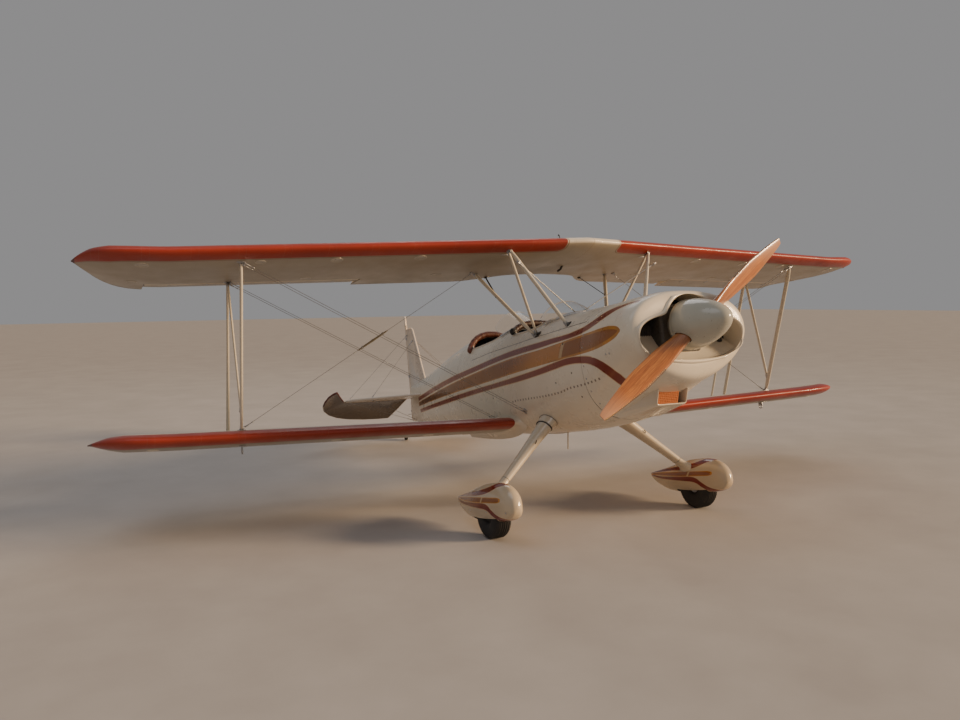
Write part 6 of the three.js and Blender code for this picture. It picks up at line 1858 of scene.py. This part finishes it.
    w = TYW / 2
    prof = [(RIM, -w * .60), (RIM + .004, -w * .66), (RIM + .012, -w * .80), (RIM + .030, -w * .95), (RIM + .052, -w), (TYR - .030, -w * .985), (TYR - .018, -w * .92), (TYR - .009, -w * .80), (TYR - .004, -w * .66)]
    tread = []
    for k, x in enumerate((-.52, -.26, 0, .26, .52)):
        tread += [(TYR - .0015 * abs(x) * 2, w * (x - .085)), (TYR - .0055, w * (x - .055)), (TYR - .0055, w * (x + .055)), (TYR - .0015 * abs(x) * 2, w * (x + .085))]
    prof = prof + tread + [(r, -z) for r, z in prof[::-1]]
    tyre = lathe(prof + [(RIM, w * .60), (RIM, -w * .60)], (side * TRACK, AY, AZ), (1, 0, 0), 96)
    bands = []
    for k in range(40):
        a = 2 * math.pi * k / 40
        for sgn in (-1, 1):
            c = np.array([side * TRACK + sgn * w * .90, AY + (TYR - .020) * math.cos(a), AZ + (TYR - .020) * math.sin(a)])
            o = np.array([0, math.cos(a), math.sin(a)])
            tt = np.array([0, -math.sin(a), math.cos(a)])
            e = c + o * .011 - np.array([sgn * w * .10, 0, 0])
            bands.append(tube([c - o * .004, (c + e) / 2 + np.array([sgn * .002, 0, 0]), e], [.0018, .0024, .0018], 6, 0))
    make(f"main_tyre_{name}_tread", [tyre, *bands], [M["rubber"]], f"main_wheel_{name}", "tyre", (f"main_tyre_{name}",), sharp=45)
    wheel = [lathe([(.0158, -w * .58), (.026, -w * .60), (.029, -w * .42), (.038, -w * .30), (.046, -w * .36), (.052, -w * .56), (RIM - .001, -w * .60), (RIM - .001, w * .60), (.052, w * .56), (.046, w * .36), (.038, w * .30),
                    (.029, w * .42), (.026, w * .60), (.0158, w * .58), (.0158, -w * .58)], (side * TRACK, AY, AZ), (1, 0, 0), 64, 0)]
    for k in range(6):
        a = 2 * math.pi * k / 6
        for sgn in (-1, 1):
            wheel += bolt((side * TRACK + sgn * w * .33, AY + .041 * math.cos(a), AZ + .041 * math.sin(a)), (sgn, 0, 0), .004, .005, 1)
    wheel.append(lathe([(.030, 0), (.050, 0), (.050, .005), (.030, .005), (.030, 0)], (side * TRACK - side * (w * .60 + .001) - .0025, AY, AZ), (1, 0, 0), 48, 1))
    make(f"main_wheel_{name}_rim", wheel, [M["alloy"], M["steel"]], f"main_wheel_{name}", "alloy", (f"main_wheel_{name}",))

# --------------------------------------------------------------- tail wheel
SWY, TWY, TWR = 4.305, 4.350, .075
top_y, top_z = 3.640 * CT + .944 * ST, -3.640 * ST + .944 * CT
leafs = []
ctr = np.array([[top_y - .01, top_z - .012], [top_y + .08, top_z - .036], [top_y + .16, top_z - .066], [top_y + .30, .212], [SWY - .12, .202], [SWY - .02, .1925], [SWY + .024, .190]])
tt = np.linspace(0, 1, 34)
d_ = np.concatenate([[0], np.cumsum(np.linalg.norm(np.diff(ctr, axis=0), axis=1))])
cy_, cz_ = pchip(d_, ctr[:, 0], tt * d_[-1]), pchip(d_, ctr[:, 1], tt * d_[-1])
for k, (end, hw, off) in enumerate(((1.0, .020, 0), (.72, .019, -.0065), (.46, .018, -.0125))):
    n = int(34 * end)
    rows = []
    for i in range(n):
        e = min(1.0, (n - i) / 2.5)
        pts = []
        for x, z in ((-1, -1), (-.9, -1.15), (.9, -1.15), (1, -1), (1, 1), (.9, 1.15), (-.9, 1.15), (-1, 1)):
            pts.append((x * hw, cy_[i], cz_[i] + off + z * .0026 * max(e, .4)))
        rows.append(pts)
    leafs.append(loft(rows))
for i in (5, 15):
    leafs.append(rbox((-.024, cy_[i] - .009, cz_[i] - .019), (.024, cy_[i] + .009, cz_[i] + .007), .003, 1))
leafs.append(rbox((-.026, top_y - .03, top_z - .030), (.026, top_y + .02, top_z + .004), .006, 1))
leafs += [rod((0, SWY, .182), (0, SWY, .206), .010, 12, 1)]
make("tail_spring_leaves", leafs, [M["steel"], M["steel"]], "airframe", "steel", ("tailwheel_spring",), frame_fn=parked)
swing = lambda p: turned(p, (0, SWY, 0), (0, 0, 1), -22)
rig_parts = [lathe([(0, 0), (.022, 0), (.026, .004), (.026, .013), (.020, .016), (0, .0165)], (0, SWY, .162), (0, 0, 1), 32, 0), rbox((-.036, SWY - .020, .156), (.036, TWY + .012, .167), .005, 0)]
for sgn in (-1, 1):
    prof2 = [(-.012, .160), (.012, .160), (.014, .10), (.013, TWR), (.009, TWR - .011), (0, TWR - .014), (-.009, TWR - .011), (-.013, TWR), (-.014, .10)]
    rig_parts.append(loft([[(sgn * .0285, TWY + a, b) for a, b in prof2], [(sgn * .0355, TWY + a, b) for a, b in prof2]]))
    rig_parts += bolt((sgn * .0352, TWY, TWR), (sgn, 0, 0), .008, .006, 0)
    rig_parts.append(rbox((min(sgn * .024, sgn * .060), SWY - .012, .168), (max(sgn * .024, sgn * .060), SWY + .006, .173), .002, 0))
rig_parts.append(rod((-.030, TWY, TWR), (.030, TWY, TWR), .0078, 16, 0))
make("tail_fork_detail", [p.map(swing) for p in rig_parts], [M["steel"]], "tailwheel_fork", "steel", ("tailwheel_fork",), frame_fn=parked)
tw = .022
tp = [(.0085, -tw * .95), (.020, -tw * .98), (.024, -tw * .6), (.040, -tw * .55), (.044, -tw * .85), (.050, -tw), (.060, -tw * .98), (.068, -tw * .8), (.0735, -tw * .5), (.0748, -tw * .2), (.0728, -tw * .12), (.0728, tw * .12),
      (.0748, tw * .2), (.0735, tw * .5), (.068, tw * .8), (.060, tw * .98), (.050, tw), (.044, tw * .85), (.040, tw * .55), (.024, tw * .6), (.020, tw * .98), (.0085, tw * .95)]
k1 = lathe(tp[:6] + [(.044, tw * .85)] if False else [tp[i] for i in range(4, 18)] + [tp[4]], (0, TWY, TWR), (1, 0, 0), 64, 0)
k2 = lathe([tp[i] for i in (0, 1, 2, 3)] + [(.0438, -tw * .8), (.0438, tw * .8)] + [tp[i] for i in (18, 19, 20, 21)] + [tp[0]], (0, TWY, TWR), (1, 0, 0), 48, 1)
make("tail_wheel_tyre", [k1.map(swing), k2.map(swing)], [M["rubber"], M["alloy"]], "tailwheel", "tyre", ("tailwheel",), frame_fn=parked)

# ---------------------------------------------------------------- cockpits
frame["nodes"]["cockpit_floor"].data.materials.clear()
frame["nodes"]["cockpit_floor"].data.materials.append(M["inside"])


def puff(ob, pressure=4.0, cap=0.016, voxel=0.006):
    """Swell a closed pad a little and settle its seams, then keep the result as the mesh."""
    me = ob.data
    bpy.context.view_layer.objects.active = ob
    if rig.quick():
        return ob
    r = ob.modifiers.new("remesh", "REMESH")
    r.mode, r.voxel_size, r.use_smooth_shade = "VOXEL", voxel, True
    bpy.context.view_layer.update()
    dg = bpy.context.evaluated_depsgraph_get()
    ob2 = bpy.data.meshes.new_from_object(ob.evaluated_get(dg), depsgraph=dg)
    ob.modifiers.clear()
    mats = list(me.materials)
    ob.data = ob2
    base = np.zeros(len(ob2.vertices) * 3)
    ob2.vertices.foreach_get("co", base)
    base = base.reshape(-1, 3)
    c = ob.modifiers.new("cloth", "CLOTH")
    c.settings.use_pressure = True
    c.settings.uniform_pressure_force = pressure
    c.settings.effector_weights.gravity = 0
    c.settings.quality = 4
    for f in range(1, 17):
        scene.frame_set(f)
    dg = bpy.context.evaluated_depsgraph_get()
    ob3 = bpy.data.meshes.new_from_object(ob.evaluated_get(dg), depsgraph=dg)
    ob.modifiers.clear()
    co = np.zeros(len(ob3.vertices) * 3)
    ob3.vertices.foreach_get("co", co)
    co = co.reshape(-1, 3)
    dv = co - base
    ln = np.linalg.norm(dv, axis=1, keepdims=True)
    co = base + dv * np.minimum(1, cap / np.maximum(ln, 1e-9))
    ob3.vertices.foreach_set("co", co.ravel())
    ob3.materials.clear()
    for m in mats:
        ob3.materials.append(m)
    ob.data = ob3
    for p in ob3.polygons:
        p.use_smooth = True
    scene.frame_set(1)
    return ob


def cushion(name, fn, w, d, t, mat, channels=3, node=()):
    """Crowned pad of w by d by t; sides pull in between the corners; sewn channels run across it."""
    nu, nv = 36, 30
    rows = []
    for i in range(nu + 1):
        u = -1 + 2 * i / nu
        ring = []
        for k in range(nv * 2):
            a = 2 * math.pi * k / (nv * 2)
            cx = np.sign(math.cos(a)) * abs(math.cos(a)) ** 0.55
            cz2 = np.sign(math.sin(a)) * abs(math.sin(a)) ** 0.75
            e = (1 - abs(u) ** 5) ** 0.5
            ww = w / 2 * (0.965 + 0.035 * abs(u) ** 3)
            dd = d / 2 * (0.97 + 0.03 * abs(cx) ** 3)
            crown = 1 - 0.25 * abs(u) ** 2.5
            groove = 1 - 0.13 * max(math.exp(-(((u + 1) / 2 * (channels + 1) % 1 - 0.5) / 0.055) ** 2), 0) if abs(u) < 0.93 else 1
            z = t / 2 * cz2 * max(e, .12) * crown * (groove if cz2 > 0 else 0.85)
            ring.append(fn(ww * cx * (0.25 + 0.75 * max(e, .2)) if abs(u) > .97 else ww * cx, dd * u, z))
        rows.append(ring)
    ob = make(name, loft(rows), [mat], "airframe", "cloth", node)
    puff(ob)
    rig.padded(ob, fill=0.7)
    return ob


def seat(prefix, y0, y1, z0, z1, hw, node):
    base_z = z0 + .118
    back_a, back_b = np.array([y1 - .030, z0 + .135]), np.array([y1 + .055, z1])
    bd = (back_b - back_a) / np.linalg.norm(back_b - back_a)
    bn = np.array([-bd[1], bd[0]])
    w = hw * 2
    pan = []
    for (ya, za), (yb, zb2) in (((y0, z0 + .075), (y1 + .02, z0 + .085)),):
        pan.append(rbox((-hw, ya, za - .010), (hw, yb, za), .006, 0))
    rows = []
    for q in np.linspace(0, 1, 12):
        c = back_a + (back_b - back_a) * q - bn * .034
        ww = hw * (1 - .14 * q**2)
        rows.append([(ww * math.sin(t2), c[0] + .010 * math.cos(t2) * 0 - .018 * (1 - abs(math.cos(t2))) * 0 + k * .006, c[1]) for k, t2 in
                     [(0, a) for a in np.linspace(-math.pi / 2, math.pi / 2, 20)] + [(1, a) for a in np.linspace(math.pi / 2, -math.pi / 2, 20)]])
    pan.append(loft(rows, mat=0))
    make(f"{prefix}_seat_pan", pan, [M["inside"]], "airframe", "cloth", (node,))
    yc = (y0 + y1) / 2 + .005
    cushion(f"{prefix}_seat_base_pad", lambda x, v, z: (x, yc + v, base_z + z + .012 + .03 * (-v)), w * .90, (y1 - y0) * .90, .058, M["seat"], 3)
    ln = np.linalg.norm(back_b - back_a)
    mid = (back_a + back_b) / 2 + bd * .02
    cushion(f"{prefix}_seat_back_pad", lambda x, v, z: (x * (1 - .10 * (v / ln + .5)), mid[0] + bd[0] * v + bn[0] * (z + .004), mid[1] + bd[1] * v + bn[1] * (z + .004)), w * .84, ln * .88, .050, M["seat"], 4)
    belts = []
    for sx in (-1, 1):
        path = []
        for q in np.linspace(0, 1, 22):
            p = back_b * (1 - q) + back_a * q
            off = .040 + .010 * math.sin(q * math.pi)
            path.append((sx * (.055 + .03 * q), p[0] + bn[0] * off, p[1] + bn[1] * off))
        path += [(sx * .10, yc + .04, base_z + .058), (sx * .13, yc - .02, base_z + .056)]
        pts, fr = frames(path)
        n = np.array([0, bn[0], bn[1]])
        for hwid, th in ((.021, .0016),):
            rws = []
            for i, p in enumerate(pts):
                t = pts[min(i + 1, len(pts) - 1)] - pts[max(i - 1, 0)]
                t = t / np.linalg.norm(t)
                nn = np.array([0, -t[2], t[1]])
                nn = nn / (np.linalg.norm(nn) + 1e-9)
                if nn[2] < 0 and i > 20:
                    nn = -nn
                sx_ = np.array([1.0, 0, 0])
                rws.append([p - sx_ * hwid - nn * th, p - sx_ * hwid + nn * th, p + sx_ * hwid + nn * th, p + sx_ * hwid - nn * th])
            belts.append(loft(rws, mat=0))
        lap = [(sx * hw * .92, y1 - .02, base_z + .03), (sx * hw * .7, yc + .06, base_z + .060), (sx * .10, yc + .0, base_z + .062), (sx * .03, yc - .01, base_z + .060)]
        rws = []
        for i, p in enumerate(np.array(lap)):
            rws.append([p + (0, -.022, -.0015), p + (0, -.022, .0015), p + (0, .022, .0015), p + (0, .022, -.0015)])
        belts.append(loft(rws, mat=0))
        k = int(8)
        p = np.array(path[k])
        belts.append(rbox(p + (-.026, -.006, -.016), p + (.026, .004, .016), .004, 1))
    belts.append(rbox((-.030, yc - .035, base_z + .056), (.030, yc + .020, base_z + .072), .006, 1))
    make(f"{prefix}_harness", belts, [M["belt"], M["steel"]], "airframe", "cloth")


seat("front", .330, .640, .880, 1.380, .215, "front_seat")
seat("rear", 1.190, 1.520, .900, 1.500, .205, "rear_seat")

for prefix, y, zc_, node in (("front", .204, 1.545, "front_panel"), ("rear", 0.942, 1.560, "rear_panel")):
    nd = frame["nodes"][node]
    nd.data.materials.clear()
    nd.data.materials.append(M["black"])
    parts = []
    big = [(-.115, zc_, .040), (0, zc_ + .012, .040), (.115, zc_, .040), (-.060, zc_ - .088, .029), (.010, zc_ - .088, .029), (.080, zc_ - .088, .029), (-.185, zc_ - .03, .028), (.185, zc_ - .03, .028)]
    for i, (x, z, r) in enumerate(big):
        parts.append(lathe([(r * .86, .001), (r * .88, .0065), (r * .96, .007), (r, .005), (r * 1.02, 0), (r * .86, 0)], (x, y, z), (0, 1, 0), 36, 0, shut=True))
        parts.append(lathe([(0, .0018), (r * .87, .0018), (r * .87, -.0005), (0, -.0005)], (x, y, z), (0, 1, 0), 36, 1))
        for k in range(12):
            a = math.radians(225 - 22.5 * k)
            if k > 12:
                break
            c, s = math.cos(a), math.sin(a)
            parts.append(rod((x + c * r * .66, y + .0022, z + s * r * .66), (x + c * r * .80, y + .0022, z + s * r * .80), r * .016, 5, 2))
        a = math.radians(200 - 37 * i)
        parts.append(rod((x - math.cos(a) * r * .12, y + .0030, z - math.sin(a) * r * .12), (x + math.cos(a) * r * .62, y + .0030, z + math.sin(a) * r * .62), r * .024, 6, 2))
        parts.append(lathe([(0, .0042), (r * .08, .0040), (r * .09, .002)], (x, y, z), (0, 1, 0), 12, 0))
        for k in range(4):
            a = math.radians(45 + 90 * k)
            parts += [lathe([(0, .003), (.003, .0028), (.0036, 0)], (x + math.cos(a) * r * 1.22, y, z + math.sin(a) * r * 1.22), (0, 1, 0), 8, 3)]
    for x in (-.13, -.10, .13, .155):
        parts.append(rod((x, y, zc_ - .135), (x, y + .016, zc_ - .131), .004, 10, 3))
    make(f"{prefix}_instruments", parts, [M["black"], M["dial"], M["white"], M["steel"]], "airframe", "black_panel")
    sy = y + (.16 if prefix == "front" else .17)
    st_ = [tube([(0, sy, .860), (0, sy + .004, .93), (0, sy + .01, 1.05), (0, sy - .006, 1.13)], .010, 14, 0), tube([(0, sy - .006, 1.125), (0, sy - .012, 1.16), (0, sy - .02, 1.20), (0, sy - .022, 1.228)], [.014, .0165, .0175, .014], 18, 1),
           lathe([(0, .03), (.02, .028), (.045, .004), (.050, 0)], (0, sy, .858), (0, 0, 1), 24, 1)]
    for sx in (-1, 1):
        st_.append(tube([(sx * .06, y - .02 + .05, .875), (sx * .06, y + .03, .94), (sx * .05, y + .035, 1.0)], .006, 10, 0))
        st_.append(rod((sx * .025, y + .037, 1.0), (sx * .095, y + .037, 1.0), .009, 12, 1))
    st_.append(rbox((.285, y + .16, 1.22), (.305, y + .32, 1.26), .004, 1))
    for k in range(2):
        st_.append(rod((.295, y + .21 + .05 * k, 1.25), (.275, y + .20 + .05 * k, 1.335), .004, 8, 0))
        st_.append(lathe([(0, -.012), (.010, -.010), (.013, 0), (.010, .010), (0, .012)], (.275, y + .20 + .05 * k, 1.338), (0, 0, 1), 16, 3 if k else 2))
    make(f"{prefix}_controls", st_, [M["steel"], M["black"], M["red"], M["white"]], "airframe", "steel")


# -------------------------------------------------------------- windscreens
def windscreen(name, y0, hw, sweep, height, lean, node, half=82):
    n, th, up = 48, .0026, 8
    rings, base, topc = [], [], []
    for i in range(n + 1):
        a = math.radians((-1 + 2 * i / n) * half)
        c, s = math.cos(a), math.sin(a)
        x, y = hw * s, y0 + sweep * (1 - c)
        h = height * (.35 + .65 * max(c, 0) ** .8)
        z = max(deck_z(x, y), deck_z(x * .985, y + .004)) + .0016
        outer_, inner_ = [], []
        for k in range(up + 1):
            q = k / up
            bul = .010 * math.sin(q * math.pi)
            px, py, pz = x * (1 - .14 * q) + s * bul, y + lean * (.4 + .6 * c) * q - c * bul, z + h * (q ** .94)
            outer_.append((px, py, pz))
            inner_.append((px - s * th, py + c * th, pz))
        rings.append(outer_ + inner_[::-1])
        base.append((x + s * .002, y - c * .002, z + .003))
        topc.append(((outer_[-1][0] + inner_[-1][0]) / 2, (outer_[-1][1] + inner_[-1][1]) / 2, outer_[-1][2]))
    make(name, loft(rings), [M["glass"]], "airframe", "glass", (node,), sharp=60)
    strip = [loft([[b + np.array([0, 0, -.006]), b + np.array([s_ * .006, -c_ * .006, -.003]), b + np.array([s_ * .0045, -c_ * .0045, .010]), b + np.array([s_ * .001, -c_ * .001, .013]), b + np.array([0, 0, .010])]
                   for b, (s_, c_) in zip(np.array(base), [(math.sin(math.radians((-1 + 2 * i / n) * half)), math.cos(math.radians((-1 + 2 * i / n) * half))) for i in range(n + 1)])], mat=0)]
    strip.append(tube(topc, .0012, 6, 1))
    for i in range(2, n, 4):
        a = math.radians((-1 + 2 * i / n) * half)
        strip.append(lathe([(0, .0030), (.0030, .0028), (.0042, .0008), (.0044, -.002)], np.array(base[i]) + np.array([math.sin(a) * .0045, -math.cos(a) * .0045, .004]), (math.sin(a), -math.cos(a), .2), 10, 2))
    make(f"{name}_trim", strip, [M["alloy"], M["glass"], M["steel"]], "airframe", "alloy")


windscreen("front_screen", -.060, .252, .270, .140, .250, "front_windscreen")
windscreen("rear_screen", .800, .250, .270, .172, .270, "rear_windscreen", 70)

# ------------------------------------------------------------ small fittings
bits = [tube([(0, .386, .716), (0, .388, .69), (0, .400, .62), (0, .409, .571)], .0055, 12, 0)]
for side in (-1, 1):
    lz = LZ + 2.56 * LDI - .23 * math.tan(math.radians(LINC)) - float(half_t(.23 / CHL)) * CHL
    e = np.array([side * 2.56, LY + .233, lz])
    bits.append(rbox(e + (-.022, -.060, -.003), e + (.022, .060, .004), .003, 1))
    bits.append(rbox(e + (-.004, -.026, -.034), e + (.004, .026, .0), .003, 1))
    a = np.linspace(0, 2 * np.pi, 28, endpoint=False)
    c = e + (0, 0, -.040)
    bits.append(tube([c + (0.0, .019 * math.cos(q), .019 * math.sin(q)) for q in a], .0042, 10, 1, shut=True))
    # stiffened hand and step plate marks on the side, with dark recessed fasteners
    for y, z in ((-.342, 1.366), (-.455, 1.140), (-.504, .962), (-.20, 1.09), (1.0, 1.06)):
        p, nrm = side_normal(y, z, side)
        bits.append(lathe([(0, .0012), (.0050, .0012), (.0075, .0002), (.0077, -.001)], p, nrm, 14, 2))
    # underside wing fittings beside each strut end
    for x, s in ((2.583, .154), (2.583, .776), (.645, .156), (.645, .72)):
        p = on_wing("u", side * x, s, True)
        bits.append(rbox(p + (-.030, -.013, -.0035), p + (.030, .013, .002), .002, 1))
    for x, s in ((2.570, .150), (2.570, .776)):
        p = on_wing("l", side * x, s, False)
        bits.append(rbox(p + (-.030, -.013, -.002), p + (.030, .013, .0035), .002, 1))
    p, nrm = side_normal(.45, 1.13, side)
# hooks and a small grab loop on the upper wing, filler cap
p = on_wing("u", -.235, .085)
bits.append(tube([p + (0, -.012, -.004), p + (0, -.006, .020), p + (.004, .010, .030), p + (.012, .026, .024)], .0032, 8, 2))
p = on_wing("u", .02, .70, True)
bits.append(tube([p + (0, -.045, .004), p + (0, -.012, -.020), p + (0, .030, -.026)], [.009, .009, .009], 12, 2))
make("small_fittings", bits, [M["strut"], M["steel"], M["putty"]], "airframe", "steel")

# ------------------------------------------------------------ floor, lights
floor_t = Tree("floor_pale")
n1 = floor_t.noise(1.6, 5, 0.6)
floor_t.set(color=floor_t.mix(floor_t.span(n1, 0.3, 0.7), (0.44, 0.405, 0.375), (0.50, 0.465, 0.435)), rough=floor_t.span(n1, 0.3, 0.7, 0.75, 0.9))
me = bpy.data.meshes.new("floor")
me.from_pydata([(-80, -80, -0.0006), (80, -80, -0.0006), (80, 80, -0.0006), (-80, 80, -0.0006)], [], [(0, 1, 2, 3)])
me.materials.append(floor_t.m)
floor = bpy.data.objects.new("floor", me)
scene.collection.objects.link(floor)
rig.stage(floor)

world = bpy.data.worlds.new("studio")
scene.world = world
world.use_nodes = True
bg = world.node_tree.nodes["Background"]
bg.inputs[0].default_value = (0.84, 0.83, 0.84, 1)
bg.inputs[1].default_value = 0.33


def area(name, toward, dist, size, energy, color, target=(0, 0, 1.1)):
    d = Vector(toward).normalized()
    la = bpy.data.lights.new(name, "AREA")
    la.shape, la.size, la.energy, la.color = "DISK", size, energy, color
    ob = bpy.data.objects.new(name, la)
    ob.location = Vector(target) + d * dist
    ob.rotation_mode = "QUATERNION"
    ob.rotation_quaternion = (-d).to_track_quat("-Z", "Y")
    scene.collection.objects.link(ob)
    return ob


# a low, warm, soft key from the right of the view
la = bpy.data.lights.new("key", "SUN")
la.energy, la.color, la.angle = 5.2, (1.0, 0.70, 0.42), 0.24
key = bpy.data.objects.new("key", la)
key.rotation_mode = "QUATERNION"
key.rotation_quaternion = (-(_r * 0.95 - _f * 0.15 + Vector((0, 0, 0.25)))).normalized().to_track_quat("-Z", "Y")
scene.collection.objects.link(key)
area("sky_fill", -_r * 0.5 - _f * 0.6 + Vector((0, 0, 1.1)), 12, 8, 170, (0.92, 0.92, 1.0))
area("back_soft", _f * 0.8 + Vector((0, 0, 0.9)), 13, 7, 200, (1.0, 0.93, 0.88))

lo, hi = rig.bounds()
with open("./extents.json", "w") as f:
    json.dump({"cad": [list(map(float, c)) for c in CAD_BOX], "visual": [list(map(float, lo)), list(map(float, hi))]}, f)
